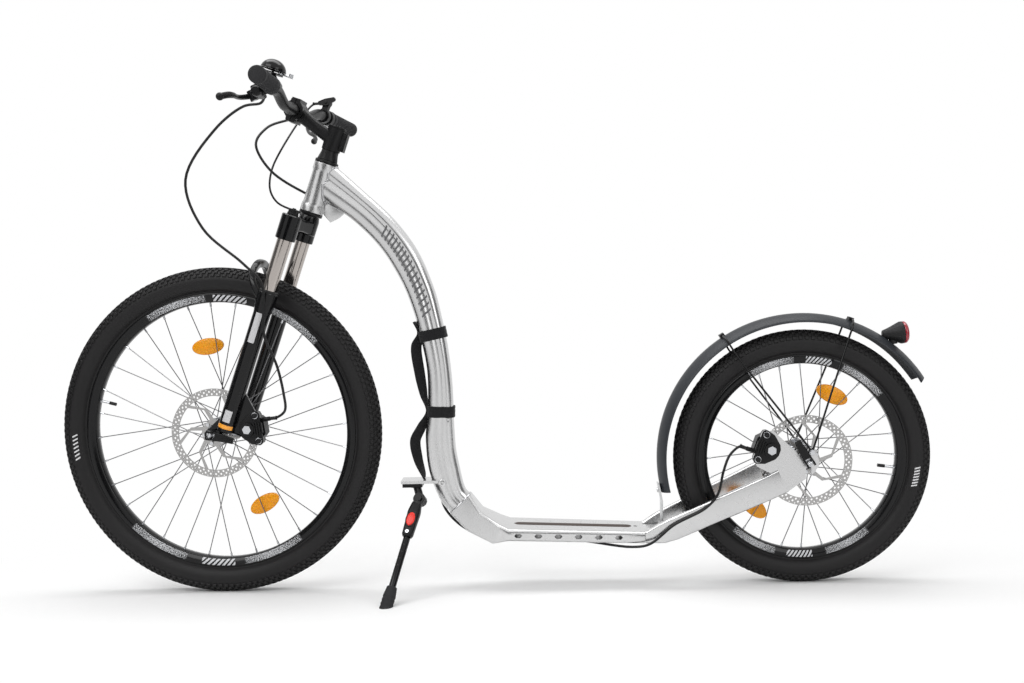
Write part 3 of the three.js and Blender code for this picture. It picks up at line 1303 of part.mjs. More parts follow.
// The two-lobed section, u towards the front and v across; extra grows it on all sides.
function tubeSection(depth, extra) {
  const halfDeep = depth / 2 + extra;
  const halfWide = mainTube.width / 2 + extra;
  const power = 2 / mainTube.squareness;
  return Array.from({ length: 2 * mainTube.sideSteps }, (_, k) => {
    const angle = (Math.PI * k) / mainTube.sideSteps;
    const deep = Math.sign(Math.cos(angle)) * Math.abs(Math.cos(angle)) ** power;
    const wide = Math.sign(Math.sin(angle)) * Math.abs(Math.sin(angle)) ** power;
    const groove = 1 - mainTube.grooveShare * Math.exp(
      -(((deep - mainTube.grooveAt) / mainTube.grooveHalf) ** 2)
    );
    return flat(halfDeep * deep, halfWide * wide * groove);
  });
}

// The skin of the main tube between two stations of its spine.
function tubeSkin(extra, stations) {
  return loft(ringsAlong(
    stations.map(({ point }) => point), stations.map(({ depth }) => tubeSection(depth, extra)), axisY,
  ));
}

function lengthened(stations, startExtra, endExtra) {
  const moved = stations.map((station) => ({ ...station, point: station.point.clone() }));
  const [first, second] = moved;
  const [beforeLast, last] = moved.slice(-2);
  first.point.addScaledVector(first.point.clone().sub(second.point).normalize(), startExtra);
  last.point.addScaledVector(last.point.clone().sub(beforeLast.point).normalize(), endExtra);
  return moved;
}

// A place on the spine counted in its points from the top, with the direction there and the tube's depth.
function spineAt(place) {
  const whole = Math.min(Math.floor(place), spine.length - 2);
  const [above, below] = [spine[whole], spine[whole + 1]];
  const along = below.point.clone().sub(above.point);
  const point = above.point.clone().addScaledVector(along, place - whole);
  return { point, along, depth: mix(above.depth, below.depth, place - whole) };
}

// A point beside the spine, so far towards the front of the tube.
function besideSpine(place, ahead) {
  const { point, along } = spineAt(place);
  return point.clone().addScaledVector(at(along.z, 0, -along.x).normalize(), ahead);
}

// The two ends of a band round the tube.
function bandStations(place) {
  const { along } = spineAt(place);
  const share = strap.bandWidth / 2 / along.length();
  return [spineAt(place - share), spineAt(place + share)];
}

function mainTubeBody() {
  const plate = block(
    at(standPlate.ahead - standPlate.behind, 2 * standPlate.halfWidth, standPlate.thick),
    at(deckJoint.x - (standPlate.ahead + standPlate.behind) / 2, 0, standPlateZ),
  );
  const gussetPlate = sidePlate(
    gusset.outline.map(([ahead, up]) => flat(tubeTop.x + ahead, tubeTop.z + up)), -gusset.half, gusset.half,
  );
  const bossPoints = boss.spinePlaces.map((place, k) => (
    besideSpine(place, spineAt(place).depth * boss.aheadShares[k])
  ));
  const bosses = bossPoints.map(
    (p, k) => across(p.x, p.z, -mainTube.width / 2 - boss.proud, -boss.root, boss.radii[k])
  );
  const headRoom = inBike(
    upright(0, 0, headBottom - crownHeight, headTop + crownHeight, headTube.flare + seat, round)
  );
  const ahead = inBike(block(
    at(2 * headTube.length, 2 * headTube.length, 4 * headTube.length),
    at(headTube.radius / 2 - headTube.length, 0, headBottom + headTube.length / 2),
  ));
  const cavity = tubeSkin(-mainTube.wall, lengthened(spine, overrun, overrun));
  const whole = join(tubeSkin(0, spine), gussetPlate, plate, ...bosses);
  const bores = bossPoints.map((p) => (
    across(p.x, p.z, -mainTube.width, -mainTube.width / 2 - boss.proud + boss.boreDepth, boss.bore, small)
  ));
  const plateHole = upright(
    standBoltX, 0, standPlateZ - standPlate.thick, standPlateZ + standPlate.thick, mountBolt.radius + seat,
  );
  return cut(whole, cavity, headRoom, ahead, plateHole, ...bores);
}

function deckStations(inset) {
  const rise = (x) => deck.centreZ - (deck.drop * (x - deck.frontX)) / (deck.rearX - deck.frontX);
  const nose = [
    {
      point: deckJoint.clone().addScaledVector(jointTangent, seat), high: deck.noseHeight,
      half: deck.noseHalf,
    },
    {
      point: deckJoint.clone().addScaledVector(jointTangent, deck.noseStraight), high: deck.neckHeight,
      half: deck.neckHalf,
    },
    {
      point: at(deck.frontX - deck.cheekAhead, 0, deck.centreZ + deck.cheekRise), high: deck.cheekHeight,
      half: deck.cheekHalf,
    },
  ];
  const flatPart = [deck.frontX, deck.rearX].map((x, k) => (
    { point: at(x, 0, rise(x)), high: deck.height, half: k === 0 ? deck.frontHalf : deck.rearHalf }
  ));
  const corner = Math.max(deck.corner - inset, 1);
  return [...nose, ...flatPart].map(({ point, high, half }) => (
    { point, outline: roundedBox(high / 2 - inset, half - inset, corner, 2 + (inset > 0 ? 0 : 1)) }
  ));
}

function deckBody() {
  const skin = (stations) => loft(
    ringsAlong(stations.map(({ point }) => point), stations.map(({ outline }) => outline), axisY)
  );
  const inner = deckStations(deck.wall);
  inner[0].point.addScaledVector(jointTangent, -overrun);
  inner.at(-1).point.x -= deck.rearWall;
  const rearZ = deck.centreZ - deck.drop;
  const tongue = block(
    at(deck.tongueLength + deck.rearWall, 2 * deck.tongueHalf, deck.tongueThick),
    at(deck.rearX + (deck.tongueLength - deck.rearWall) / 2, 0, rearZ + deck.tongueLift),
  );
  const slope = deck.drop / (deck.rearX - deck.frontX);
  const ovals = Array.from({ length: deck.ovalCount }, (_, k) => {
    const x = deck.frontX + deck.ovalStart + k * deck.ovalPitch;
    const outline = ellipse(deck.ovalHalfLong, deck.ovalHalfHigh, small);
    return sidePlate(
      outline, -2 * deck.frontHalf, 2 * deck.frontHalf,
    ).translate(x, 0, deck.centreZ - slope * (x - deck.frontX));
  });
  const gripHoles = Array.from({ length: deck.gripHoleCount }, (_, k) => {
    const x = deck.frontX + deck.gripHolePitch * (k + 1 / 2);
    return upright(x, 0, deck.centreZ - deck.drop, deck.centreZ + deck.height, deck.gripHoleRadius, small);
  });
  const boltHole = upright(tongueBoltX, 0, rearZ - deck.height, rearZ + deck.height, mountBolt.radius + seat);
  return cut(join(cut(skin(deckStations(0)), skin(inner)), tongue), ...ovals, ...gripHoles, boltHole);
}

const tongueBoltX = deck.rearX + deck.tongueLength / 2;

function stayBody(side, tab) {
  const stations = (inset, extra) => {
    const places = [
      ...stay.deckStations.map(([behind, over, high, inward]) => (
        [at(deck.rearX + behind, side * (deck.rearHalf - inward), deck.centreZ + over), high]
      )),
      ...stay.axleStations.map(([before, over, high, out]) => (
        [at(-before, side * (rearWheelSizes.hubWidth / 2 + out), rearTyreRadius + over), high]
      )),
    ].map(([point, high]) => (
      {
        point,
        outline: roundedBox(
          high / 2 - inset, stay.width / 2 - inset, Math.max(stay.corner - inset, stay.wall / 2),
        ),
      }
    ));
    places[0].point.x -= extra;
    places.at(-1).point.x -= extra;
    return loft(ringsAlong(places.map(({ point }) => point), places.map(({ outline }) => outline), axisY));
  };
  const inner = side * (rearWheelSizes.hubWidth / 2);
  const [low, high] = [inner, inner + side * dropout.thick].sort((a, b) => a - b);
  const plate = [
    sidePlate(circle(flat(0, 0), dropout.radius, round), low, high),
    sidePlate(circle(flat(dropout.eyeX, dropout.eyeZ), dropout.eyeRadius, coarse), low, high),
    sidePlate(dropout.root.map(([x, z]) => flat(x, z)), low, high),
  ];
  const slot = axleSlot(dropout.slotHalf, 2 * dropout.radius, low - overrun, high + overrun);
  const eye = across(
    dropout.eyeX, dropout.eyeZ, low - overrun, high + overrun, dropout.eyeBore + seat, coarse,
  );
  const tools = [
    slot, eye, ...(tab ? caliperRoom(rearWheelSizes).map((tool) => turnUp(tool, rearCaliperAngle)) : []),
  ];
  const tabPieces = tab ? [
    sidePlate(caliperPlate.map(([x, z]) => flat(x, z)), low, high),
    turnUp(caliperTab(rearWheelSizes), rearCaliperAngle),
  ] : [];
  const end = cut(join(...plate, ...tabPieces), ...tools).translate(0, 0, rearTyreRadius);
  return join(cut(stations(0, 0), stations(stay.wall, overrun)), end);
}

// Mudguard with its bracket, wires and rear light

const fenderBoltAngle = 180 - THREE.MathUtils.radToDeg(
  Math.asin((fenderBracket.boltZ - rearTyreRadius) / fender.radius)
);

const fenderStation = (k) => polar(1, radians(mix(fender.frontAngle, fender.rearAngle, k / fender.stations)));

function fenderBody() {
  const section = (radius) => Array.from({ length: fender.arcSteps + 1 }, (_, k) => {
    const share = mix(-1, 1, k / fender.arcSteps);
    return [radius - fender.crown * share ** 2, fender.halfWidth * share];
  });
  const outer = section(fender.radius);
  const inner = section(fender.radius - fender.wall).reverse();
  const rings = Array.from({ length: fender.stations + 1 }, (_, k) => {
    const p = fenderStation(k);
    return [...outer, ...inner].map(([radius, y]) => at(p.x * radius, y, p.y * radius));
  });
  const clips = fenderWire.angles.map((degrees) => turnUp(
    block(
      at(fenderWire.clipThick, 2 * fenderWire.clipHalf, fenderWire.clipLong),
      at(fender.radius + fenderWire.clipThick / 2 - fender.wall, 0, 0),
    ),
    degrees,
  ));
  const holes = fenderWire.angles.map((degrees) => turnUp(
    across(
      fender.radius + fenderWire.radius + seat, 0, -fender.halfWidth, fender.halfWidth,
      fenderWire.radius + seat,
    ),
    degrees,
  ));
  const boltHole = turnUp(
    rod(
      at(fender.radius - 2 * fender.crown, 0, 0), at(fender.radius + overrun, 0, 0),
      mountBolt.radius + seat, coarse,
    ),
    fenderBoltAngle,
  );
  const clipped = cut(join(loft(rings), ...clips), ...holes, boltHole);
  return clipped.translate(0, 0, rearTyreRadius);
}

// Two hoops from one bolted eye on each side over the crown of the mudguard.
function fenderWires() {
  const face = rearWheelSizes.hubWidth / 2 + dropout.thick + seat;
  const eyeX = dropout.eyeX;
  const eyeZ = dropout.eyeZ;
  const hoops = fenderWire.angles.map((degrees) => {
    const direction = polar(1, radians(degrees));
    const over = (radius, y) => at(direction.x * radius, y, direction.y * radius);
    const side = (sign) => [
      at(eyeX, sign * (face + fenderWire.eyeThick / 2), eyeZ),
      at(
        eyeX + direction.x * fenderWire.straight, sign * (face + fenderWire.eyeThick / 2),
        eyeZ + direction.y * fenderWire.straight,
      ),
      over(fender.radius - fender.crown, sign * (fender.halfWidth + fenderWire.aside)),
      over(fender.radius - fender.crown / 2, sign * (fender.halfWidth + fenderWire.radius)),
      over(fender.radius + fenderWire.radius + seat, sign * fenderWire.clipHalf * 2),
    ];
    const points = [...side(-1), ...side(1).reverse()];
    const outline = circle(flat(0, 0), fenderWire.radius, fenderWire.sides);
    return loft(ringsAlong(points, points.map(() => outline), at(-direction.y, 0, direction.x)));
  });
  const eyes = [-1, 1].flatMap((sign) => {
    const [low, high] = [sign * face, sign * (face + fenderWire.eyeThick)].sort((a, b) => a - b);
    const [tip, head] = [
      sign * (face - dropout.thick), sign * (face + fenderWire.eyeThick + mountBolt.headHeight),
    ];
    return [
      across(eyeX, eyeZ, low, high, fenderWire.eyeRadius, small),
      across(eyeX, eyeZ, Math.min(tip, head), Math.max(tip, head), dropout.eyeBore - seat, small),
      across(
        eyeX, eyeZ, Math.min(head, sign * face), Math.max(head, sign * face), mountBolt.headRadius, small,
      ),
    ];
  });
  return join(...hoops, ...eyes).translate(0, 0, rearTyreRadius);
}

// The L-shaped plate that ties the front end of the mudguard to the tongue of the deck.
function fenderBracketBody() {
  const { halfWidth, thick, top, boltZ, foot } = fenderBracket;
  const rise = boltZ - rearTyreRadius;
  const tangent = rise / Math.sqrt(fender.radius ** 2 - rise ** 2);
  const boltX = -Math.sqrt((fender.radius + seat) ** 2 - rise ** 2);
  const rearFaceX = (z) => boltX + (boltZ - z) * -tangent;
  const tongueBottom = deck.centreZ - deck.drop + deck.tongueLift - deck.tongueThick / 2 - seat;
  const uprightX = deck.rearX + deck.tongueLength + seat + thick;
  const outline = [
    flat(rearFaceX(top) - thick, top), flat(rearFaceX(top), top), flat(uprightX, fenderBracket.bendZ),
    flat(uprightX, tongueBottom - thick), flat(uprightX - foot, tongueBottom - thick),
    flat(uprightX - foot, tongueBottom), flat(uprightX - thick, tongueBottom),
    flat(uprightX - thick, fenderBracket.bendZ),
  ];
  const bolt = upright(
    tongueBoltX, 0, tongueBottom - thick - mountBolt.headHeight, tongueBottom + deck.tongueThick,
    mountBolt.radius,
  );
  const head = upright(
    tongueBoltX, 0, tongueBottom - thick - mountBolt.headHeight, tongueBottom - thick + seat,
    mountBolt.headRadius,
  );
  const face = fender.radius + seat + thick;
  const radial = (from, to, radius) => (
    turnUp(rod(at(from, 0, 0), at(to, 0, 0), radius, coarse), fenderBoltAngle).translate(0, 0, rearTyreRadius)
  );
  const upper = radial(
    fender.radius - fenderBracket.boltReach, face + mountBolt.headHeight, mountBolt.radius,
  );
  const upperHead = radial(face - seat, face + mountBolt.headHeight, mountBolt.headRadius);
  return join(sidePlate(outline, -halfWidth, halfWidth), bolt, head, upper, upperHead);
}

function rearLightHousing() {
  const centre = polar(fender.radius + rearLight.lift, radians(rearLight.angle));
  const axis = polar(1, radians(rearLight.tilt));
  const start = at(centre.x, 0, centre.y);
  const along = at(axis.x, 0, axis.y);
  const tail = start.clone().addScaledVector(along, -rearLight.bodyLength);
  const front = start.clone().addScaledVector(along, -seat);
  const middle = start.clone().addScaledVector(along, -rearLight.bodyLength / 2);
  const ridge = Array.from(
    { length: fender.stations + 1 }, (_, k) => fenderStation(k).multiplyScalar(fender.radius + seat),
  );
  const saddle = sidePlate([flat(0, 0), ...ridge], -fender.halfWidth, fender.halfWidth);
  const inFender = start.clone().setLength(fender.radius - overrun);
  const foot = rod(inFender, middle, rearLight.footHalf, coarse);
  const body = rod(tail, front, rearLight.tailRadius, round, rearLight.lensRadius);
  return cut(join(body, foot), saddle).translate(0, 0, rearTyreRadius);
}

function rearLightLens() {
  const centre = polar(fender.radius + rearLight.lift, radians(rearLight.angle));
  const axis = polar(1, radians(rearLight.tilt));
  const start = at(centre.x, 0, centre.y + rearTyreRadius);
  const along = at(axis.x, 0, axis.y);
  const rimEnd = start.clone().addScaledVector(along, rearLight.lensThick / 2);
  const end = start.clone().addScaledVector(along, rearLight.lensThick);
  return join(
    rod(start, rimEnd, rearLight.lensRadius, round),
    rod(
      rimEnd.clone().addScaledVector(along, -seat), end, rearLight.lensRadius, round,
      rearLight.lensRadius * rearLight.domeShare,
    ),
  );
}

// Side stand: a bracket with its pivot pin, and a leg in two sliding parts

const standPivot = at(deckJoint.x - stand.pivotAhead, stand.pivotY, deckJoint.z + stand.pivotLift);
const standAxis = at(
  -Math.sin(radians(stand.axisToe)) * Math.cos(radians(stand.axisCant)),
  -Math.cos(radians(stand.axisToe)) * Math.cos(radians(stand.axisCant)),
  Math.sin(radians(stand.axisCant)),
);
const standEye = standPivot.clone().addScaledVector(standAxis, stand.eyeThick / 2 + running);
const standFoot = at(deckJoint.x - stand.footAhead, stand.footY, stand.footZ);
const standAlong = standFoot.clone().sub(standEye);
const standReach = standAlong.length();
standAlong.normalize();
const standSideways = standAxis.clone().cross(standAlong).normalize();
const standLine = groupIn(bike);
standLine.name = 'stand_line';
standLine.position.copy(standEye);
standLine.setRotationFromMatrix(
  new THREE.Matrix4().makeBasis(standAlong, standSideways, standAlong.clone().cross(standSideways)),
);
const standTube = (from, to, radius, endRadius = radius) => (
  rod(at(from, 0, stand.tubeLift), at(to, 0, stand.tubeLift), radius, coarse, endRadius)
);

function standBracketBody() {
  const along = (distance) => standPivot.clone().addScaledVector(standAxis, distance);
  const padTop = standPlateZ - standPlate.thick / 2 - seat;
  const padBottom = padTop - stand.padThick;
  const pinEnd = stand.eyeThick + 2 * running;
  return join(
    block(
      at(stand.padLong, 2 * standPlate.halfWidth, stand.padThick),
      at(standBoltX, 0, (padTop + padBottom) / 2),
    ),
    rod(
      at(standBoltX + stand.armShift, -stand.armShift, padBottom), along(-stand.armBite), stand.armRadius,
      coarse,
    ),
    rod(along(-stand.bossLength), along(0), stand.bossRadius, round),
    rod(along(-seat), along(pinEnd + stand.screwHeadHeight), stand.screwRadius, coarse),
    rod(along(pinEnd), along(pinEnd + stand.screwHeadHeight), stand.screwHead, small),
    upright(standBoltX, 0, padBottom - mountBolt.headHeight, padTop + standPlate.thick, mountBolt.radius),
    upright(standBoltX, 0, padBottom - mountBolt.headHeight, padBottom + seat, mountBolt.headRadius, small),
  );
}

// The pivot axis as it lies in the leg's own frame.
const eyeDirection = at(standAxis.dot(standAlong), 0, Math.sqrt(1 - standAxis.dot(standAlong) ** 2));

function standUpper() {
  const eyeHalf = eyeDirection.clone().multiplyScalar(stand.eyeThick / 2);
  const beyond = eyeDirection.clone().multiplyScalar(stand.eyeThick);
  const outlines = stand.leverShares.map((share) => (
    roundedBox((stand.leverThick / 2) * share, (stand.leverWidth / 2) * share, stand.leverRound)
  ));
  const line = stand.leverAlong.map(
    (share) => at(mix(stand.leverStart, stand.leverLength, share), 0, stand.leverLift)
  );
  const eyePlate = block(
    at(2 * stand.leverStart, stand.leverWidth * stand.leverShares[0], stand.eyeThick - 1),
    at(stand.leverStart, 0, 0),
  );
  const holeLength = stand.leverThick;
  return cut(
    join(
      rod(eyeHalf.clone().negate(), eyeHalf, stand.bossRadius, round), eyePlate,
      loft(ringsAlong(line, outlines, axisY)),
    ),
    rod(beyond.clone().negate(), beyond, stand.screwRadius + running, coarse),
    standTube(
      stand.tubeStart - stand.shorten - running, stand.leverLength + overrun, stand.tubeRadius + running,
    ),
    slab(
      ellipse(stand.buttonHalfLong + running, stand.buttonHalfWide + running, round),
      stand.buttonFloor - running, holeLength,
    )
      .translate(stand.buttonAt, 0, 0),
  );
}

function standButtonBody() {
  const top = stand.leverLift + stand.leverThick / 2 + stand.buttonProud;
  const outline = ellipse(stand.buttonHalfLong, stand.buttonHalfWide, round);
  return slab(outline, stand.buttonFloor + stand.buttonTravel, top).translate(stand.buttonAt, 0, 0);
}

function standLower() {
  const end = standReach - stand.tubeShort;
  return cut(
    standTube(stand.tubeStart, end, stand.tubeRadius),
    standTube(stand.tubeStart - overrun, end - stand.tubeRadius, stand.tubeRadius - stand.tubeWall),
  );
}

function standFootBody() {
  const ground = block(
    at(4 * stand.footLength, 4 * stand.footLength, 4 * stand.footLength),
    at(standFoot.x, standFoot.y, -2 * stand.footLength),
  );
  standLine.updateMatrix();
  ground.rotateX(-radians(standLean)).applyMatrix4(standLine.matrix.clone().invert());
  const end = standReach + stand.footRadius;
  const start = standReach - stand.footLength;
  return cut(
    join(
      standTube(start, standReach - stand.footLength / 2, stand.footTopRadius, stand.footRadius),
      standTube(standReach - stand.footLength / 2 - seat, end, stand.footRadius),
    ),
    standTube(start - overrun, standReach - stand.tubeShort + seat, stand.tubeRadius + seat),
    ground,
  );
}

// The carrying strap: webbing in front of the main tube, held by two bands round the tube

function carryStrap() {
  const line = new THREE.CatmullRomCurve3(strap.line.map(([place, ahead]) => (
    besideSpine(place, spineAt(place).depth / 2 + ahead)
  )));
  const points = line.getPoints(strap.steps);
  const outline = roundedBox(strap.thick / 2, strap.width / 2, strap.thick / 4, bandCorner);
  const webbing = loft(ringsAlong(points, points.map(() => outline), axisY));
  const bands = strap.bandPlaces.map((place) => cut(
    tubeSkin(seat + strap.bandThick, bandStations(place)),
    tubeSkin(seat, lengthened(bandStations(place), overrun, overrun)),
  ));
  return join(webbing, ...bands);
}

const sharedPieces = [
  [headAxis, 'head_tube', headTubeBody(), looks.aluminium],
  [bike, 'main_tube', mainTubeBody(), looks.aluminium],
  [bike, 'deck', deckBody(), looks.aluminium],
  [bike, 'stay_left', stayBody(-1, true), looks.aluminium],
  [bike, 'stay_right', stayBody(1, false), looks.aluminium],
  [bike, 'rear_fender', fenderBody(), looks.fenderGrey],
  [bike, 'fender_wires', fenderWires(), looks.glossBlack],
  [bike, 'fender_bracket', fenderBracketBody(), looks.steel],
  [bike, 'rear_light_housing', rearLightHousing(), looks.satinBlack],
  [bike, 'rear_light_lens', rearLightLens(), looks.redLens],
  [bike, 'stand_bracket', standBracketBody(), looks.satinBlack],
  [standLine, 'stand_leg_upper', standUpper(), looks.satinBlack],
  [standLine, 'stand_button', standButtonBody(), looks.redButton],
  [standLine, 'stand_leg_lower', standLower(), looks.satinBlack],
  [standLine, 'stand_foot', standFootBody(), looks.gripRubber],
  [bike, 'carry_strap', carryStrap(), looks.webbing],
];
sharedPieces.forEach(([group, name, geometry, look]) => add(group, name, geometry, look));

// Brake hoses and the lockout cable, each along its own hand-laid route

function pointIn(group, point, target) {
  group.updateWorldMatrix(true, false);
  target.updateWorldMatrix(true, false);
  return target.worldToLocal(group.localToWorld(point)).toArray();
}

function spoutPoints(side, target) {
  const bodyEnd = brakeLever.clampAt + brakeLever.bodyShift + brakeLever.bodyLength / 2;
  const end = bodyEnd + brakeLever.spoutLength + seat;
  return [end, end + hose.lead].map((inward) => (
    pointIn(leverGroups.get(side), placesOn(side)(brakeLever.bodyAhead, inward, 0), target)
  ));
}

// The last points of a hose before the union of a caliper, in the axes of the wheel's axle group.
function unionPoints(sizes, angle, group, target) {
  return [
    caliper.outer + caliper.unionLength + hose.lead, caliper.outer + caliper.unionLength + seat,
  ].map((radius) => {
    const place = flat(radius, caliper.unionAt).rotateAround(flat(0, 0), radians(angle));
    return pointIn(group, at(place.x, -sizes.discPlane - caliper.unionShift, place.y), target);
  });
}

const frontHose = hoseAlong([
  ...spoutPoints(-1, steering), ...hose.frontRoute,
  ...unionPoints(frontWheelSizes, frontCaliperAngle, frontHubGroup, steering),
], hose.radius, hose.sides, hose.frontSteps);
const rearHose = hoseAlong([
  ...spoutPoints(1, bike), ...hose.rearRoute,
  ...unionPoints(rearWheelSizes, rearCaliperAngle, rearHubGroup, bike),
], hose.radius, hose.sides, hose.rearSteps);
const lockoutLine = hoseAlong([
  pointIn(gripGroups.get(1), placesOn(1)(...lockoutSpout(seat)), steering),
  pointIn(gripGroups.get(1), placesOn(1)(...lockoutSpout(hose.lead)), steering),
  ...cable.route, [cableStop.x - cableStop.long / 2 - seat, cableStop.y, crownTop + cable.lift],
], cable.radius, cable.sides, cable.steps);
add(steering, 'front_brake_hose', frontHose, looks.hoseBlack);
add(bike, 'rear_brake_hose', rearHose, looks.hoseBlack);
add(steering, 'lockout_cable', lockoutLine, looks.hoseBlack);

// Stand the leaning bike on the ground with the middle of its box over the origin

part.updateMatrixWorld(true);
const bounds = new THREE.Box3().setFromObject(part, true);
const centre = bounds.getCenter(at(0, 0, 0));
bike.position.set(-centre.x, -centre.y, -bounds.min.z);

export default part;
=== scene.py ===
"""Looks of a kick bike parked on its side stand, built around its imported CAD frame.

Sizes in the classes are millimetres in the place that each class names. The meshes are scaled to metres once,
when a piece is put in place. The bike heads along -X, its right side is +Y, and it leans onto its stand.
"""

import logging
from dataclasses import dataclass, field
from enum import Enum
from math import asin, atan2, copysign, cos, exp, pi, radians, sin, sqrt

import bmesh
import bpy
from mathutils import Matrix, Vector


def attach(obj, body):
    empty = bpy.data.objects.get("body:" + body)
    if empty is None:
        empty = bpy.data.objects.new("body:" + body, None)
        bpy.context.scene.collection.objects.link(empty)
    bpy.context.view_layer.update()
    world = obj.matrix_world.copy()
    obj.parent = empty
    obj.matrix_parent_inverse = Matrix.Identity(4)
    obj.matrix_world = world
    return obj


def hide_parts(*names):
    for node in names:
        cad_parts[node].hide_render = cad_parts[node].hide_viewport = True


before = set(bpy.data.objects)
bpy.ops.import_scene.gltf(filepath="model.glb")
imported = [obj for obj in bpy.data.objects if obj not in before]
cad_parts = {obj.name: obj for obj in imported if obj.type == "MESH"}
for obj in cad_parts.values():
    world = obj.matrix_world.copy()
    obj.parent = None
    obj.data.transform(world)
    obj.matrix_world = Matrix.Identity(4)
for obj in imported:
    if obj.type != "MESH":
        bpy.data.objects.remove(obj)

log = logging.getLogger("kick_bike")

MM = 0.001
ACROSS = Vector((0, 1, 0))
UP = Vector((0, 0, 1))

Outline = list[tuple[float, float]]
Ring = list[Vector]
Socket = bpy.types.NodeSocket


class Axis(Enum):
    """The local axis that a turned piece turns about."""

    Y = "Y"
    Z = "Z"


class Side(Enum):
    """A side of the bike, with the sign of Y on it."""

    LEFT = -1
    RIGHT = 1

    @property
    def label(self) -> str:
        """The word used in the names of the nodes."""
        return "left" if self is Side.LEFT else "right"


# Places: where each group of pieces has its own axes


@dataclass(frozen=True)
class Places:
    """The bike's own axes and those that hang from them, as the CAD source sets them.

    Each method returns a rigid matrix in metres whose local unit is also the metre.
    """

    wheelbase: float = 1174.0
    front_radius: float = 333.0
    rear_radius: float = 255.0
    head_tilt: float = 20.0
    fork_offset: float = 42.0
    parked_steer: float = -2.8
    lean: float = 5.0
    centre: tuple[float, float] = (624.981, 82.231)
    stem_reach: float = 90.0
    bar_height: float = 662.5
    bar_half: float = 331.0
    bar_sweep: float = 26.0
    bar_rise: float = 19.0
    bend_half: float = 150.0
    low_half: float = 78.0
    bend_ease: float = 16.0
    lever_drop: float = 42.0
    stand_pivot: tuple[float, float, float] = (-766.0, -38.0, 190.0)
    stand_foot: tuple[float, float, float] = (-819.0, -170.0, 13.0)
    stand_cant: float = 30.0
    stand_toe: float = 8.0
    stand_eye: float = 4.9

    def bike(self) -> Matrix:
        """The upright bike's axes, leaned over and set on the ground."""
        shift = Matrix.Translation((self.centre[0] * MM, self.centre[1] * MM, 0.0))
        return shift @ Matrix.Rotation(radians(self.lean), 4, "X")

    def head(self) -> Matrix:
        """The head tube's axes, with Z along the steering axis."""
        tilt = radians(self.head_tilt)
        foot = Vector((
            -self.wheelbase + self.fork_offset * cos(tilt),
            0.0,
            self.front_radius - self.fork_offset * sin(tilt),
        )) * MM
        return self.bike() @ Matrix.Translation(foot) @ Matrix.Rotation(tilt, 4, "Y")

    def steering(self) -> Matrix:
        """The head axes turned as the bars stand."""
        return self.head() @ Matrix.Rotation(radians(self.parked_steer), 4, "Z")

    def front_axle(self) -> Matrix:
        """The front axle's axes."""
        return self.steering() @ Matrix.Translation((-self.fork_offset * MM, 0.0, 0.0))

    def rear_axle(self) -> Matrix:
        """The rear axle's axes."""
        return self.bike() @ Matrix.Translation((0.0, 0.0, self.rear_radius * MM))

    def bar_point(self, y: float) -> Vector:
        """A point of the bar's centre line in the steering axes.

        Args:
            y: Distance from the middle plane, with its sign.

        Returns:
            The point.
        """
        out = abs(y)
        low = self.low_half - self.bend_ease / 2
        high = self.bend_half + self.bend_ease / 2
        share = min(1.0, max(0.0, (out - low) / (high - low)))
        climb = share * share * (3 - 2 * share)
        swept = max(0.0, out - self.bend_half) / (self.bar_half - self.bend_half)
        return Vector((-self.stem_reach + self.bar_sweep * swept, y, self.bar_height + self.bar_rise * climb))

    def grip(self, side: Side) -> Matrix:
        """The axes at one end of the bar, with Y along the grip."""
        sweep = atan2(self.bar_sweep, self.bar_half - self.bend_half)
        end = self.bar_point(side.value * self.bar_half) * MM
        return self.steering() @ Matrix.Translation(end) @ Matrix.Rotation(-side.value * sweep, 4, "Z")

    def lever(self, side: Side) -> Matrix:
        """The grip's axes turned down with the brake lever."""
        return self.grip(side) @ about_y(self.lever_drop)

    def stand_axis(self) -> Vector:
        """The direction of the stand's pivot in the bike's axes."""
        cant, toe = radians(self.stand_cant), radians(self.stand_toe)
        return Vector((-sin(toe) * cos(cant), -cos(toe) * cos(cant), sin(cant)))

    def stand_line(self) -> tuple[Matrix, float]:
        """The side stand's axes, X down along the leg, and the leg's reach in millimetres."""
        axis = self.stand_axis()
        eye = Vector(self.stand_pivot) + axis * self.stand_eye
        along = Vector(self.stand_foot) - eye
        reach = along.length
        along.normalize()
        aside = axis.cross(along).normalized()
        basis = Matrix((along, aside, along.cross(aside))).transposed().to_4x4()
        return self.bike() @ Matrix.Translation(eye * MM) @ basis, reach


PLACES = Places()


# Shapes: points and faces in millimetres


@dataclass
class Shape:
    """Points, faces and the finish number of each face, before they become a mesh."""

    points: list[Vector] = field(default_factory=list)
    faces: list[tuple[int, ...]] = field(default_factory=list)
    slots: list[int] = field(default_factory=list)

    def add(self, other: "Shape", slot: int | None = None) -> None:
        """Adds another shape to this one.

        Args:
            other: The shape to add.
            slot: Finish number for all its faces, or None to keep its own.
        """
        first = len(self.points)
        self.points.extend(other.points)
        self.faces.extend(tuple(first + k for k in face) for face in other.faces)
        self.slots.extend(other.slots if slot is None else [slot] * len(other.faces))

    def moved(self, matrix: Matrix) -> "Shape":
        """The same shape with its points carried by a matrix in millimetres."""
        return Shape([matrix @ p for p in self.points], list(self.faces), list(self.slots))


def polar(radius: float, angle: float) -> tuple[float, float]:
    """A point at a radius and an angle in radians."""
    return radius * cos(angle), radius * sin(angle)


def blend_of(a: float, b: float, share: float) -> float:
    """The value that lies at a share of the way from a to b."""
    return a + (b - a) * share


def ray(angle: float) -> Vector:
    """The direction in the plane of X and Z at an angle in radians."""
    return Vector((cos(angle), 0, sin(angle)))


def about_y(degrees: float) -> Matrix:
    """A turn about local Y that carries X towards Z."""
    return Matrix.Rotation(-radians(degrees), 4, "Y")


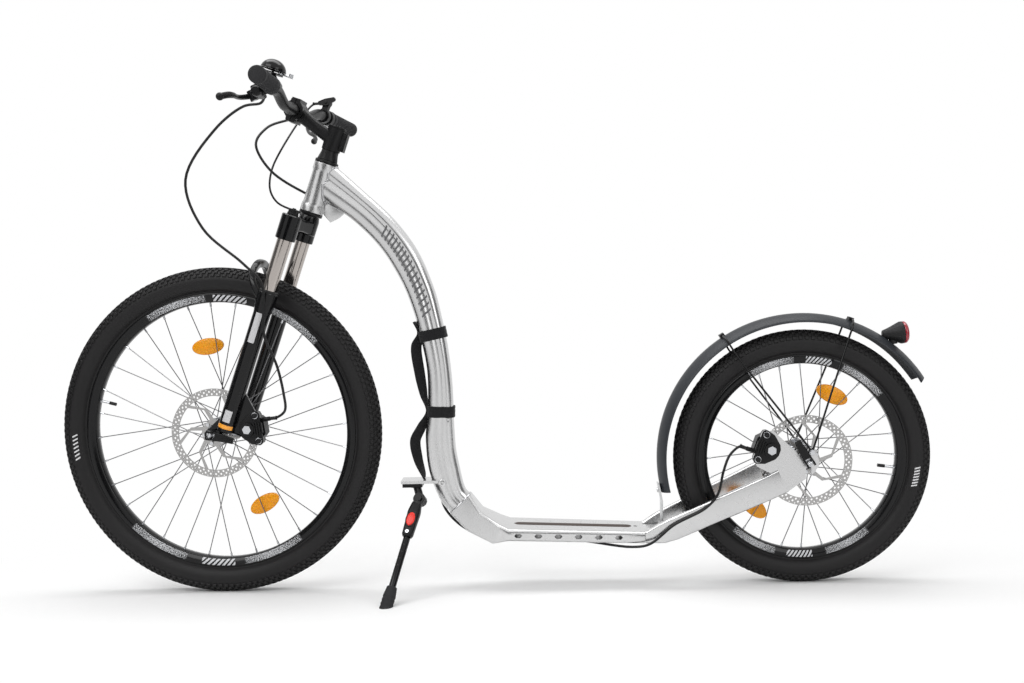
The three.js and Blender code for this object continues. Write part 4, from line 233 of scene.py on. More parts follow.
def carried(change: Matrix, point: Vector) -> Vector:
    """A point in millimetres, carried by a matrix in metres."""
    return (change @ (point * MM)) / MM


def turned(profile: Outline, axis: Axis, sides: int, closed: bool = True) -> Shape:
    """A body turned about an axis through the origin.

    Args:
        profile: Pairs of radius and distance along the axis.
        axis: The axis it turns about.
        sides: Number of steps round it.
        closed: Whether the profile's last point joins its first.

    Returns:
        The turned skin, with points on the axis kept as separate points.
    """
    rings = []
    for k in range(sides):
        points = [(*polar(radius, 2 * pi * k / sides), along) for radius, along in profile]
        rings.append([Vector((u, along, v) if axis is Axis.Y else (u, v, along)) for u, v, along in points])
    return loft(rings, True, closed)


def loft(rings: list[Ring], looped: bool = False, closed: bool = True) -> Shape:
    """A skin over rings of equally many points.

    Args:
        rings: The rings in order.
        looped: Whether the last ring joins the first; if not, a face closes each end.
        closed: Whether the last point of each ring joins its first.

    Returns:
        The skin.
    """
    shape = Shape([point for ring in rings for point in ring])
    count, total = len(rings[0]), len(shape.points)
    for k in range(len(rings) if looped else len(rings) - 1):
        here, there = k * count, (k + 1) % len(rings) * count
        for j in range(count if closed else count - 1):
            after = (j + 1) % count
            shape.faces.append((here + j, here + after, there + after, there + j))
    if not looped:
        shape.faces += [tuple(reversed(range(count))), tuple(range(total - count, total))]
    shape.slots = [0] * len(shape.faces)
    return shape


def spline(points: list[Vector], per_span: int) -> list[Vector]:
    """A smooth centripetal line through the points.

    Args:
        points: The points that the line passes.
        per_span: Number of steps between two of them.

    Returns:
        The line's points.
    """
    ends = [points[0] * 2 - points[1], *points, points[-1] * 2 - points[-2]]
    line = []
    for four in zip(ends, ends[1:], ends[2:], ends[3:]):
        stops = [0.0]
        for a, b in zip(four, four[1:]):
            stops.append(stops[-1] + max((b - a).length, 1e-6) ** 0.5)
        for step in range(per_span):
            here = blend_of(stops[1], stops[2], step / per_span)
            level = four
            for spans in (((0, 1), (1, 2), (2, 3)), ((0, 2), (1, 3)), ((1, 2),)):
                level = [a.lerp(b, (here - stops[i]) / (stops[j] - stops[i]))
                         for a, b, (i, j) in zip(level, level[1:], spans)]
            line.append(level[0])
    return [*line, points[-1].copy()]


def headings(points: list[Vector]) -> list[Vector]:
    """The direction of a line at each of its points."""
    last = len(points) - 1
    return [(points[min(k + 1, last)] - points[max(k - 1, 0)]).normalized() for k in range(last + 1)]


def rings_along(points: list[Vector], outlines: list[Outline], side: Vector) -> list[Ring]:
    """Rings square to a line, each outline as (u, v) with v along side.

    Args:
        points: The line.
        outlines: One outline for each of its points.
        side: The direction that v keeps to.

    Returns:
        The rings.
    """
    rings = []
    for point, tangent, outline in zip(points, headings(points), outlines):
        over = side.cross(tangent).normalized()
        level = tangent.cross(over)
        rings.append([point + over * u + level * v for u, v in outline])
    return rings


def tube(points: list[Vector], radius: float, sides: int) -> Shape:
    """A round tube along a line, without twist, closed at both ends."""
    rings = []
    over = (points[1] - points[0]).normalized().orthogonal().normalized()
    for point, tangent in zip(points, headings(points)):
        over = (over - tangent * over.dot(tangent)).normalized()
        level = tangent.cross(over)
        rings.append([point + over * u + level * v for u, v in ellipse(radius, radius, sides)])
    return loft(rings)


def rod(start: Vector, end: Vector, radius: float, sides: int = 12) -> Shape:
    """A straight round bar."""
    return tube([start, end], radius, sides)


def rounded_box(half_wide: float, half_high: float, corner: float, steps: int = 4) -> Outline:
    """The outline of a box with round corners."""
    outline = []
    for quarter, (sx, sy) in enumerate([(1, 1), (-1, 1), (-1, -1), (1, -1)]):
        for k in range(steps + 1):
            u, v = polar(corner, pi / 2 * (quarter + k / steps))
            outline.append((sx * (half_wide - corner) + u, sy * (half_high - corner) + v))
    return outline


def ellipse(half_long: float, half_short: float, sides: int) -> Outline:
    """The outline of an ellipse."""
    return [(half_long * u, half_short * v) for u, v in (polar(1, 2 * pi * k / sides) for k in range(sides))]


def round_eye(bore: float, radius: float, half: float) -> Outline:
    """The section of a ring whose outer edges are taken off by a millimetre."""
    return [(bore, -half), (radius - 1, -half), (radius, 1 - half), (radius, half - 1), (radius - 1, half),
            (bore, half)]


def linked(name: str, data: bpy.types.ID) -> bpy.types.Object:
    """A new object in the scene."""
    made = bpy.data.objects.new(name, data)
    bpy.context.scene.collection.objects.link(made)
    return made


def plate(outline: Outline, low: float, high: float, holes: list[Outline] | None = None,
          edge: float = 0.0) -> Shape:
    """A plate in the plane of local X and Z, from Y low to Y high, with holes through it.

    Args:
        outline: Points (x, z) round it.
        low: Its lowest Y.
        high: Its highest Y.
        holes: Outlines of the holes.
        edge: How far its edges are rounded.

    Returns:
        The plate.
    """
    curve = bpy.data.curves.new("plate", "CURVE")
    curve.dimensions = "2D"
    curve.fill_mode = "BOTH"
    curve.extrude = (high - low) / 2 - edge
    curve.bevel_depth = edge
    curve.bevel_resolution = 1
    curve.offset = -edge
    for ring in [outline, *(holes or [])]:
        line = curve.splines.new("POLY")
        line.points.add(len(ring) - 1)
        line.use_cyclic_u = True
        for point, (u, v) in zip(line.points, ring):
            point.co = (u, v, 0.0, 1.0)
    holder = linked("plate", curve)
    graph = bpy.context.evaluated_depsgraph_get()
    mesh = bpy.data.meshes.new_from_object(holder.evaluated_get(graph))
    middle = (low + high) / 2
    shape = Shape(
        [Vector((v.co.x, middle - v.co.z, v.co.y)) for v in mesh.vertices],
        [tuple(p.vertices) for p in mesh.polygons],
        [0] * len(mesh.polygons),
    )
    bpy.data.objects.remove(holder)
    bpy.data.curves.remove(curve)
    bpy.data.meshes.remove(mesh)
    return shape


def block(size: tuple[float, float, float], centre: Vector) -> Shape:
    """A box round a centre."""
    half = Vector(size) / 2
    points = [
        centre + Vector((half.x * sx, half.y * sy, half.z * sz))
        for sx in (-1, 1) for sy in (-1, 1) for sz in (-1, 1)
    ]
    faces = [(0, 1, 3, 2), (4, 6, 7, 5), (0, 4, 5, 1), (2, 3, 7, 6), (0, 2, 6, 4), (1, 5, 7, 3)]
    return Shape(points, faces, [0] * len(faces))


# Finishes


class Nodes:
    """The node tree of a material or the world, with short calls for the nodes that the looks use."""

    def __init__(self, owner: bpy.types.Material | bpy.types.World) -> None:
        """Takes up the owner's tree and its principled shader, if it has one."""
        self.owner = owner
        owner.use_nodes = True
        self.tree = owner.node_tree
        self.shader = next((n for n in self.tree.nodes if n.type == "BSDF_PRINCIPLED"), None)

    def node(self, kind: str, inputs: dict[int | str, object], **settings: str) -> bpy.types.Node:
        """Adds a node.

        Args:
            kind: Its type.
            inputs: Values or sockets for its inputs.
            settings: Its own options.

        Returns:
            The node.
        """
        node = self.tree.nodes.new(kind)
        for name, value in settings.items():
            setattr(node, name, value)
        for name, value in inputs.items():
            self.feed(node.inputs[name], value)
        return node

    def feed(self, socket: Socket, value: object) -> None:
        """Gives an input a value, a colour or a link."""
        if isinstance(value, Socket):
            self.tree.links.new(value, socket)
        else:
            socket.default_value = (*value, 1.0) if socket.type == "RGBA" and len(value) == 3 else value

    def place(self) -> Socket:
        """The piece's own coordinates."""
        return self.node("ShaderNodeTexCoord", {}).outputs["Object"]

    def stretched(self, vector: Socket, scale: tuple[float, float, float]) -> Socket:
        """Coordinates scaled differently along each axis."""
        return self.node("ShaderNodeMapping", {"Vector": vector, "Scale": scale}).outputs["Vector"]

    def noise(self, vector: Socket, scale: float, detail: float = 3.0) -> Socket:
        """Grey noise of a size."""
        inputs = {"Vector": vector, "Scale": scale, "Detail": detail}
        return self.node("ShaderNodeTexNoise", inputs).outputs["Fac"]

    def math(self, kind: str, first: object, *others: object) -> Socket:
        """Joins values or sockets one after another."""
        for other in others or (0.0,):
            first = self.node("ShaderNodeMath", {0: first, 1: other}, operation=kind).outputs[0]
        return first

    def spread(self, value: Socket, low: float, high: float) -> Socket:
        """A value from 0 to 1 spread between low and high."""
        inputs = {"Value": value, "To Min": low, "To Max": high}
        return self.node("ShaderNodeMapRange", inputs).outputs["Result"]

    def cutoff(self, value: Socket, low: float, high: float) -> Socket:
        """0 below low and 1 above high, smooth between them."""
        inputs = {"Value": value, "From Min": low, "From Max": high}
        return self.node("ShaderNodeMapRange", inputs, interpolation_type="SMOOTHSTEP").outputs["Result"]

    def mixed(self, share: Socket, a: object, b: object) -> Socket:
        """A colour between two colours or sockets."""
        return self.node("ShaderNodeMix", {"Factor": share, 6: a, 7: b}, data_type="RGBA").outputs[2]

    def bump(self, height: Socket, strength: float, depth: float) -> None:
        """Raises the surface by a height, depth in metres."""
        inputs = {"Height": height, "Strength": strength, "Distance": depth}
        self.set(Normal=self.node("ShaderNodeBump", inputs).outputs["Normal"])

    def seen(self) -> Socket:
        """1 where the camera, a reflection or a refraction looks, else 0."""
        rays = self.node("ShaderNodeLightPath", {}).outputs
        return self.math("MAXIMUM", rays["Is Camera Ray"], rays["Is Glossy Ray"], rays["Is Transmission Ray"])

    def set(self, **values: object) -> None:
        """Gives the shader's own inputs values or links, named with underscores for blanks."""
        for name, value in values.items():
            self.feed(self.shader.inputs[name.replace("_", " ")], value)


@dataclass(frozen=True)
class Finish:
    """A finish of one colour with fine grain, slow cloudiness and worn gloss."""

    name: str
    colour: tuple[float, float, float]
    roughness: float
    metallic: float = 0.0
    coat: float = 0.0
    grain: float = 900.0
    relief: float = 0.15
    depth: float = 0.0002
    cloud: float = 0.12
    gloss_spread: float = 0.12
    specular: float = 0.5
    stretch: tuple[float, float, float] = (1.0, 1.0, 1.0)

    def build(self) -> bpy.types.Material:
        """Makes the material.

        Returns:
            The material.
        """
        nodes = Nodes(bpy.data.materials.new(self.name))
        place = nodes.place()
        grain = nodes.noise(nodes.stretched(place, self.stretch), self.grain)
        cloud = nodes.noise(place, 14.0, 4.0)
        both = nodes.math("MULTIPLY", nodes.math("ADD", grain, cloud), 0.5)
        low = max(0.02, self.roughness - self.gloss_spread)
        dark, light = (self.tinted(1 + sign * self.cloud) for sign in (-1, 1))
        nodes.set(Metallic=self.metallic, Specular_IOR_Level=self.specular,
                  Base_Color=nodes.mixed(cloud, dark, light),
                  Roughness=nodes.spread(both, low, self.roughness + self.gloss_spread))
        if self.coat > 0:
            nodes.set(Coat_Weight=self.coat, Coat_Roughness=0.06)
        nodes.bump(grain, self.relief, self.depth)
        self.detail(nodes)
        return nodes.owner

    def tinted(self, share: float) -> tuple[float, ...]:
        """The colour made darker or lighter."""
        return tuple(min(1.0, c * share) for c in self.colour)

    def detail(self, nodes: Nodes) -> None:
        """A place for what a finish of its own adds."""


@dataclass(frozen=True)
class Webbing(Finish):
    """Woven webbing: warp ribs along the strap crossed by finer weft."""

    ribs: float = 45.0

    def detail(self, nodes: Nodes) -> None:
        """Adds the weave's relief."""
        inputs = {"Vector": nodes.place(), "Scale": self.ribs, "Distortion": 0.4}
        waves = [nodes.node("ShaderNodeTexWave", inputs, bands_direction=axis) for axis in "XZ"]
        nodes.bump(nodes.math("ADD", *(wave.outputs["Fac"] for wave in waves)), 0.8, 0.0004)
        nodes.set(Sheen_Weight=0.12, Sheen_Roughness=0.5)


@dataclass(frozen=True)
class Prism(Finish):
    """Moulded reflector plastic with small corner prisms, each with a painted highlight and painted shade."""

    pitch: float = 900.0

    def detail(self, nodes: Nodes) -> None:
        """Adds the prisms' relief, a painted highlight in the middle of each prism with painted shade at its
        edges, and the depth of the clear plastic.
        """
        inputs = {"Vector": nodes.place(), "Scale": self.pitch}
        cells = nodes.node("ShaderNodeTexVoronoi", inputs).outputs["Distance"]
        nodes.bump(cells, 0.5, 0.0004)
        # Painted light: each prism's colour is lighter in its middle and darker at its edges.
        nodes.set(Base_Color=nodes.mixed(nodes.cutoff(cells, 0.1, 0.9), self.tinted(1.1), self.tinted(0.72)),
                  Subsurface_Weight=0.15, Subsurface_Scale=0.004)


@dataclass(frozen=True)
class RimPaint(Finish):
    """Gloss black rim with grey dashes that fade out along each arc of the motif.

    The motif's arcs are given by the angles of their middles about the axle, in degrees.
    """

    arcs: tuple[float, ...] = ()
    arc_half: float = 14.0
    bar_arcs: tuple[float, ...] = ()
    bar_half: float = 7.5
    ink: tuple[float, float, float] = (0.62, 0.63, 0.65)
    inner: float = 0.0
    outer: float = 1.0

    def detail(self, nodes: Nodes) -> None:
        """Adds the motif by angle and radius about local Y."""
        split = nodes.node("ShaderNodeSeparateXYZ", {0: nodes.place()}).outputs
        x, z = split["X"], split["Z"]
        angle = nodes.math("ARCTAN2", z, x)
        squares = (nodes.math("MULTIPLY", side, side) for side in (x, z))
        radius = nodes.math("SQRT", nodes.math("ADD", *squares))
        near = self.nearness(nodes, angle, self.arcs, self.arc_half)
        steps = {0: nodes.math("MULTIPLY", angle, 110.0), 1: nodes.math("MULTIPLY", radius, 900.0)}
        speckle = nodes.noise(nodes.node("ShaderNodeCombineXYZ", steps).outputs[0], 1.0, 1.0)
        inked = nodes.cutoff(nodes.math("ADD", speckle, nodes.math("MULTIPLY", near, 0.08)), 0.53, 0.57)
        band = nodes.math("MULTIPLY", nodes.cutoff(radius, self.inner, self.inner + 0.0008),
                          nodes.math("SUBTRACT", 1.0, nodes.cutoff(radius, self.outer - 0.0008, self.outer)))
        shown = nodes.math("MULTIPLY", inked, band, nodes.cutoff(near, 0.0, 0.08))
        slanted = nodes.math("ADD", nodes.math("MULTIPLY", angle, 26.0), nodes.math("MULTIPLY", radius, 90.0))
        bar = nodes.cutoff(nodes.math("FRACT", slanted), 0.42, 0.5)
        within = nodes.cutoff(self.nearness(nodes, angle, self.bar_arcs, self.bar_half), 0.0, 0.02)
        motif = nodes.math("MAXIMUM", shown, nodes.math("MULTIPLY", bar, band, within))
        nodes.set(Base_Color=nodes.mixed(motif, self.colour, self.ink))

    def nearness(self, nodes: Nodes, angle: Socket, arcs: tuple[float, ...], half: float) -> Socket:
        """How near a point lies to the middle of the nearest arc.

        Args:
            nodes: The material's nodes.
            angle: The point's angle about the axle.
            arcs: Middles of the arcs, in degrees.
            half: Half of an arc's angle, in degrees.

        Returns:
            1 at a middle, 0 at an arc's ends and less beyond.
        """
        shares = []
        for middle in arcs:
            off = nodes.math("SUBTRACT", angle, radians(middle))
            away = nodes.math("ARCTAN2", nodes.math("SINE", off), nodes.math("COSINE", off))
            share = nodes.math("DIVIDE", nodes.math("ABSOLUTE", away), radians(half))
            shares.append(nodes.math("SUBTRACT", 1.0, share))
        return nodes.math("MAXIMUM", *shares)


@dataclass(frozen=True)
class Brushed(Finish):
    """Bare metal with long fine brush lines and slightly smudged gloss."""

    lines: tuple[float, float, float] = (1.0, 30.0, 1.0)

    def detail(self, nodes: Nodes) -> None:
        """Adds the brush lines to gloss and relief."""
        place = nodes.place()
        brush = nodes.noise(nodes.stretched(place, self.lines), 60.0, 6.0)
        smudge = nodes.noise(place, 22.0, 2.0)
        both = nodes.math("ADD", nodes.math("MULTIPLY", brush, 0.7), nodes.math("MULTIPLY", smudge, 0.3))
        nodes.set(Roughness=nodes.spread(both, self.roughness - 0.06, self.roughness + 0.1))
        nodes.bump(brush, 0.05, 0.00005)


class Paintbox:
    """Each finish of the bike, made once."""

    aluminium = Brushed("bare_aluminium", (0.61, 0.61, 0.612), 0.24, metallic=1.0, relief=0.0,
                        gloss_spread=0.03, cloud=0.03)
    cast_aluminium = Finish("cast_aluminium", (0.62, 0.625, 0.63), 0.42, metallic=1.0, relief=0.3, cloud=0.06)
    weld = Finish("weld_bead", (0.56, 0.56, 0.57), 0.36, metallic=1.0, relief=0.3, cloud=0.1)
    gloss_black = Finish("gloss_black", (0.0035, 0.0035, 0.004), 0.12, coat=0.18, relief=0.02,
                         gloss_spread=0.03, specular=0.2)
    satin_black = Finish("satin_black", (0.008, 0.008, 0.0085), 0.36, relief=0.08, specular=0.2)
    moulded_black = Finish("moulded_black", (0.012, 0.012, 0.0125), 0.48, relief=0.25, specular=0.25)
    rubber = Finish("tyre_rubber", (0.0105, 0.010, 0.0105), 0.56, relief=0.35, cloud=0.25, specular=0.28)
    grip_rubber = Finish("grip_rubber", (0.022, 0.022, 0.0235), 0.72, relief=0.5, cloud=0.15, specular=0.25)
    spoke = Brushed("spoke_steel", (0.20, 0.20, 0.205), 0.3, metallic=1.0, cloud=0.04, lines=(9.0, 9.0, 9.0))
    disc = Brushed("disc_steel", (0.42, 0.415, 0.41), 0.34, metallic=1.0, cloud=0.05, lines=(30.0, 1.0, 30.0))
    thread = Finish("strap_thread", (0.06, 0.06, 0.063), 0.8, relief=0.3, specular=0.2)
    steel = Brushed("bright_steel", (0.60, 0.61, 0.63), 0.24, metallic=1.0, cloud=0.04, lines=(9.0, 9.0, 9.0))
    stanchion = Finish("polished_tube", (0.44, 0.405, 0.38), 0.15, metallic=1.0, relief=0.02, cloud=0.03,
                       gloss_spread=0.04)
    amber = Prism("amber_plastic", (0.95, 0.36, 0.006), 0.24, coat=0.2, relief=0.1, specular=0.25)
    mudguard = Finish("mudguard_grey", (0.026, 0.029, 0.034), 0.42, relief=0.2, gloss_spread=0.08,
                      specular=0.3)
    red_lens = Prism("red_lens", (0.36, 0.006, 0.02), 0.14, coat=0.6, relief=0.1, pitch=260.0)
    red_plastic = Finish("red_plastic", (0.78, 0.03, 0.018), 0.35, coat=0.2, relief=0.1, specular=0.3)
    hose = Finish("hose_black", (0.008, 0.008, 0.0085), 0.36, relief=0.1, stretch=(1.0, 1.0, 3.0),
                  specular=0.3)
    webbing = Webbing("webbing_black", (0.012, 0.012, 0.013), 0.85, relief=0.4, specular=0.15)
    # Painted shade: the dark inside of the deck's slot, given to a flat strip on the deck top.
    deck_dark = Finish("deck_slot_painted_shade", (0.05, 0.034, 0.028), 0.6, relief=0.3, specular=0.3)
    fork_amber = Finish("fork_amber_band", (0.9, 0.36, 0.02), 0.3, coat=0.5, relief=0.05)
    tyre_mark = Finish("tyre_mark_white", (0.7, 0.7, 0.71), 0.5, relief=0.1, specular=0.3)
    tube_mark = Finish("tube_mark_grey", (0.12, 0.12, 0.125), 0.45, relief=0.1, specular=0.3)
    fork_grey = Finish("fork_grey_patch", (0.55, 0.55, 0.56), 0.35, coat=0.5, relief=0.05)

    def __init__(self) -> None:
        """Starts with no material made."""
        self.made: dict[str, bpy.types.Material] = {}

    def of(self, finish: Finish) -> bpy.types.Material:
        """The material of a finish, made at its first use."""
        if finish.name not in self.made:
            self.made[finish.name] = finish.build()
        return self.made[finish.name]


PAINT = Paintbox()


# Putting pieces in place


@dataclass
class Piece:
    """How a shape becomes an object of the scene."""

    name: str
    body: str
    place: Matrix
    finishes: tuple[Finish, ...]
    replaces: tuple[str, ...] = ()
    slot: str | None = None
    smooth_angle: float = 38.0
    bevel: float = 0.0
    own_turn: float = 0.0

    @classmethod
    def skin(cls, node: str, body: str, place: Matrix, slot: str, *finishes: Finish,
             **looks: float) -> "Piece":
        """The piece that takes the place of one CAD node and is named after it."""
        return cls(f"{node}_skin", body, place, finishes, (node,), slot, **looks)

    def put(self, shape: Shape) -> None:
        """Makes the mesh from a shape in millimetres, dresses it and lets it ride on its body."""
        mesh = bpy.data.meshes.new(self.name)
        turn = about_y(-self.own_turn)
        back = turn.inverted()
        mesh.from_pydata([back @ (p * MM) for p in shape.points], [], shape.faces)
        for finish in self.finishes:
            mesh.materials.append(PAINT.of(finish))
        mesh.polygons.foreach_set("material_index", shape.slots)
        tidy_mesh(mesh, self.smooth_angle)
        piece = linked(self.name, mesh)
        piece.matrix_world = self.place @ turn
        if self.bevel > 0:
            soften(piece, self.bevel, self.smooth_angle, True)
        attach(piece, self.body)
        if self.replaces:
            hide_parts(*self.replaces)
        log.info("%s: %d faces on %s", self.name, len(mesh.polygons), self.body)


def soften(piece: bpy.types.Object, width: float, angle: float, harden: bool) -> None:
    """Bevels a piece's edges that are sharper than an angle in degrees.

    Args:
        piece: The piece.
        width: How far its edges are softened.
        angle: The angle.
        harden: Whether the faces keep their own normals.
    """
    edges = piece.modifiers.new("edges", "BEVEL")
    edges.width = width * MM
    edges.segments = 2
    edges.limit_method = "ANGLE"
    edges.angle_limit = radians(angle)
    edges.harden_normals = harden


def tidy_mesh(mesh: bpy.types.Mesh, angle: float) -> None:
    """Merges double points, turns faces outward and marks the sharp edges.

    Args:
        mesh: The mesh to tidy.
        angle: Edges sharper than this stay sharp, in degrees.
    """
    work = bmesh.new()
    work.from_mesh(mesh)
    bmesh.ops.remove_doubles(work, verts=work.verts, dist=1e-6)
    bmesh.ops.recalc_face_normals(work, faces=work.faces)
    work.to_mesh(mesh)
    work.free()
    mesh.shade_smooth()
    mesh.set_sharp_from_angle(angle=radians(angle))


def dress(node: str, finish: Finish, bevel: float, angle: float = 50.0) -> None:
    """Gives a CAD node its finish, smooth normals and softened edges, without changing its points.

    Args:
        node: The CAD node.
        finish: Its finish.
        bevel: How far its edges are softened.
        angle: Edges sharper than this stay sharp, in degrees.
    """
    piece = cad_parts[node]
    piece.data.materials.clear()
    piece.data.materials.append(PAINT.of(finish))
    piece.modifiers.new("weld", "WELD").merge_threshold = 2e-5
    soften(piece, bevel, angle, False)
    piece.modifiers.new("normals", "WEIGHTED_NORMAL").keep_sharp = True
    piece.data.shade_smooth()
    log.info("%s: CAD node in %s", node, finish.name)


# Wheels: tyre with its knobs, rim, spokes, hub, drilled disc and reflectors


@dataclass(frozen=True)
class KnobRow:
    """One row of tread knobs: where it sits across the tyre, its size and its stagger."""

    lean: float
    across: float
    along: float
    stagger: float


@dataclass
class Wheel:
    """One wheel about its own axle, disc on the left."""

    prefix: str
    place: Matrix
    radius: float
    section: float
    half_count: int
    hub_width: float
    disc_flange: float
    plain_flange: float
    disc_plane: float
    reflector_angles: tuple[float, float]
    reflector_radius: float
    valve_angle: float
    motif_arcs: tuple[float, ...]
    bar_arcs: tuple[float, ...] = (83, 267)
    own_turn: float = 0.0
    mark_angle: float = 206.0
    knob_pitch: float = 13.0
    mark_count: int = 7
    mark_pitch: float = 1.5
    mark_proud: float = 0.35
    knob_height: float = 2.6
    rows: tuple[KnobRow, ...] = (
        KnobRow(9, 8.0, 8.5, 0.0), KnobRow(-9, 8.0, 8.5, 0.5),
        KnobRow(28, 7.0, 7.5, 0.5), KnobRow(-28, 7.0, 7.5, 0.0),
        KnobRow(46, 7.0, 7.5, 0.0), KnobRow(-46, 7.0, 7.5, 0.5),
        KnobRow(64, 6.5, 8.0, 0.5), KnobRow(-64, 6.5, 8.0, 0.0),
    )
    rim_half: float = 13.5
    rim_floor_half: float = 8.5
    rim_depth: float = 18.0
    rim_lip: float = 2.0
    well_depth: float = 8.0
    bead_half: float = 10.8
    flange_radius: float = 29.0
    flange_half: float = 1.6
    barrel_radius: float = 15.0
    bore: float = 5.2
    end_radius: float = 10.0
    carrier_radius: float = 27.0
    carrier_thick: float = 6.0
    hole_inset: float = 3.0
    crossings: int = 3
    spoke_radius: float = 1.0
    layer_shift: float = 2.0
    rim_shift: float = 3.0
    disc_radius: float = 90.0
    track_width: float = 15.0
    disc_thick: float = 1.9
    disc_eye: float = 17.0
    disc_root: float = 27.0
    disc_arms: int = 6
    disc_twist: float = 34.0
    arm_half: float = 4.0
    reflector_long: float = 33.0
    reflector_short: float = 17.0

    def put(self, shape: Shape, name: str, node: str, slot: str | None, *finishes: Finish,
            **looks: float) -> None:
        """Puts a piece of the wheel in place of a CAD node, or of none if its name is empty."""
        replaced = (f"{self.prefix}_{node}",) if node else ()
        Piece(f"{self.prefix}_{name}", f"{self.prefix}_wheel", self.place, finishes, replaced, slot,
              **looks).put(shape)

    @property
    def rim_top(self) -> float:
        """The rim's outer radius."""
        return self.radius - 2 * self.section + self.rim_lip

    @property
    def rim_floor(self) -> float:
        """The rim's inner radius."""
        return self.rim_top - self.rim_depth

    def build(self) -> None:
        """Makes every piece of the wheel."""
        self.tyre()
        self.rim()
        self.hub_and_spokes()
        self.disc()
        for number, angle in enumerate(self.reflector_angles, 1):
            self.reflector(number, angle)

    def tyre(self) -> None:
        """The casing with its raised lines and the knobs of its tread."""
        casing = self.section - self.knob_height
        centre = self.radius - self.section
        profile = []
        steps = 44
        for k in range(steps + 1):
            lean = blend_of(-150, 150, k / steps)
            ridge = 0.5 * sum(exp(-((abs(lean) - at) / 2.2) ** 2) for at in (80, 128, 140))
            r, y = polar(casing + ridge, radians(lean))
            profile.append((centre + r, y))
        foot = self.rim_top - self.rim_lip
        profile += [(foot, self.bead_half), (foot, -self.bead_half)]
        shape = turned(profile, Axis.Y, 160)
        count = round(2 * pi * self.radius / self.knob_pitch)
        for row in self.rows:
            for k in range(count):
                shape.add(self.knob(row, 2 * pi * (k + row.stagger) / count, centre, casing))
        bar = KnobRow(-100, 11.0, 3.4, 0.0)
        for k in range(self.mark_count):
            angle = radians(self.mark_angle + self.mark_pitch * (k - self.mark_count / 2))
            foot = casing - self.knob_height + self.mark_proud
            shape.add(self.knob(bar, angle, centre, foot, slant=2.0), 1)
        self.put(shape, "tyre_skin", "tyre", "tyre_rubber", PAINT.rubber, PAINT.tyre_mark,
                 own_turn=self.own_turn)

    def knob(self, row: KnobRow, angle: float, centre: float, casing: float, slant: float = 0.0) -> Shape:
        """One tread knob, or a flat mark on the side.

        Args:
            row: The row that it belongs to.
            angle: Its place round the wheel, in radians.
            centre: Radius of the middle of the tyre's section.
            casing: Radius of the section's skin under it.
            slant: How far its outer end leads its inner one.

        Returns:
            A block that narrows outward.
        """
        out, ahead = ray(angle), ray(angle + pi / 2)
        lean = radians(row.lean)
        normal = out * cos(lean) + ACROSS * sin(lean)
        level = ACROSS * cos(lean) - out * sin(lean)
        top = casing + self.knob_height
        rings = []
        for height, share in ((casing - 1.2, 1.0), (top - 0.7, 0.92), (top, 0.74)):
            rings.append([
                out * centre + normal * height + ahead * (su * share * row.along / 2 + sv * slant)
                + level * (sv * share * row.across / 2)
                for su, sv in ((-1, -1), (1, -1), (1, 1), (-1, 1))
            ])
        return loft(rings)

    def rim(self) -> None:
        """The rim with its painted motif, the spoke nipples and the valve."""
        floor, top, half = self.rim_floor, self.rim_top, self.rim_half
        well = floor + self.well_depth
        side = [
            (floor, self.rim_floor_half), (floor + 2, self.rim_floor_half + 2.2), (well, half - 0.6),
            (well + 1, half), (top - 1, half), (top, half - 0.7), (top, self.bead_half + 0.3),
            (well, self.bead_half),
        ]
        paint = RimPaint(
            f"{self.prefix}_rim_black", (0.004, 0.004, 0.0045), 0.2, coat=0.15, relief=0.04,
            gloss_spread=0.05, specular=0.2, arcs=self.motif_arcs, bar_arcs=self.bar_arcs,
            inner=(floor + 1.5) * MM, outer=(top - 3) * MM,
        )
        shape = turned([(floor - 1, 0), *side, *[(r, -y) for r, y in reversed(side)]], Axis.Y, 180)
        for start, end in self.spoke_lines():
            inward = (start - end).normalized()
            shape.add(rod(end - inward * 2, end + inward * 9, 2.0, 8), 1)
        along = ray(radians(self.valve_angle))
        for near, far, radius, sides, slot in ((4, -22, 2.7, 16, 1), (1, -4, 4.2, 6, 1),
                                               (-20, -34, 3.4, 16, 2)):
            shape.add(rod(along * (floor + near), along * (floor + far), radius, sides), slot)
        self.put(shape, "rim_skin", "rim", "gloss_black_metal", paint, PAINT.steel, PAINT.moulded_black,
                 own_turn=self.own_turn)

    def spoke_lines(self) -> list[tuple[Vector, Vector]]:
        """The ends of each spoke, from its hole in the hub to the rim."""
        lines = []
        pitch = 2 * pi / self.half_count
        hole_radius = self.flange_radius - self.hole_inset
        for side in (-1, 1):
            flange = -self.disc_flange if side < 0 else self.plain_flange
            shift = 0.0 if side < 0 else pitch / 2
            for k in range(self.half_count):
                leads = 1 if k % 2 == 0 else -1
                hole = pitch * k + shift
                nx, nz = polar(hole_radius, hole)
                fx, fz = polar(self.rim_floor, hole + leads * pitch * self.crossings)
                lines.append((
                    Vector((nx, flange + leads * side * self.layer_shift, nz)),
                    Vector((fx, side * self.rim_shift, fz)),
                ))
        return lines

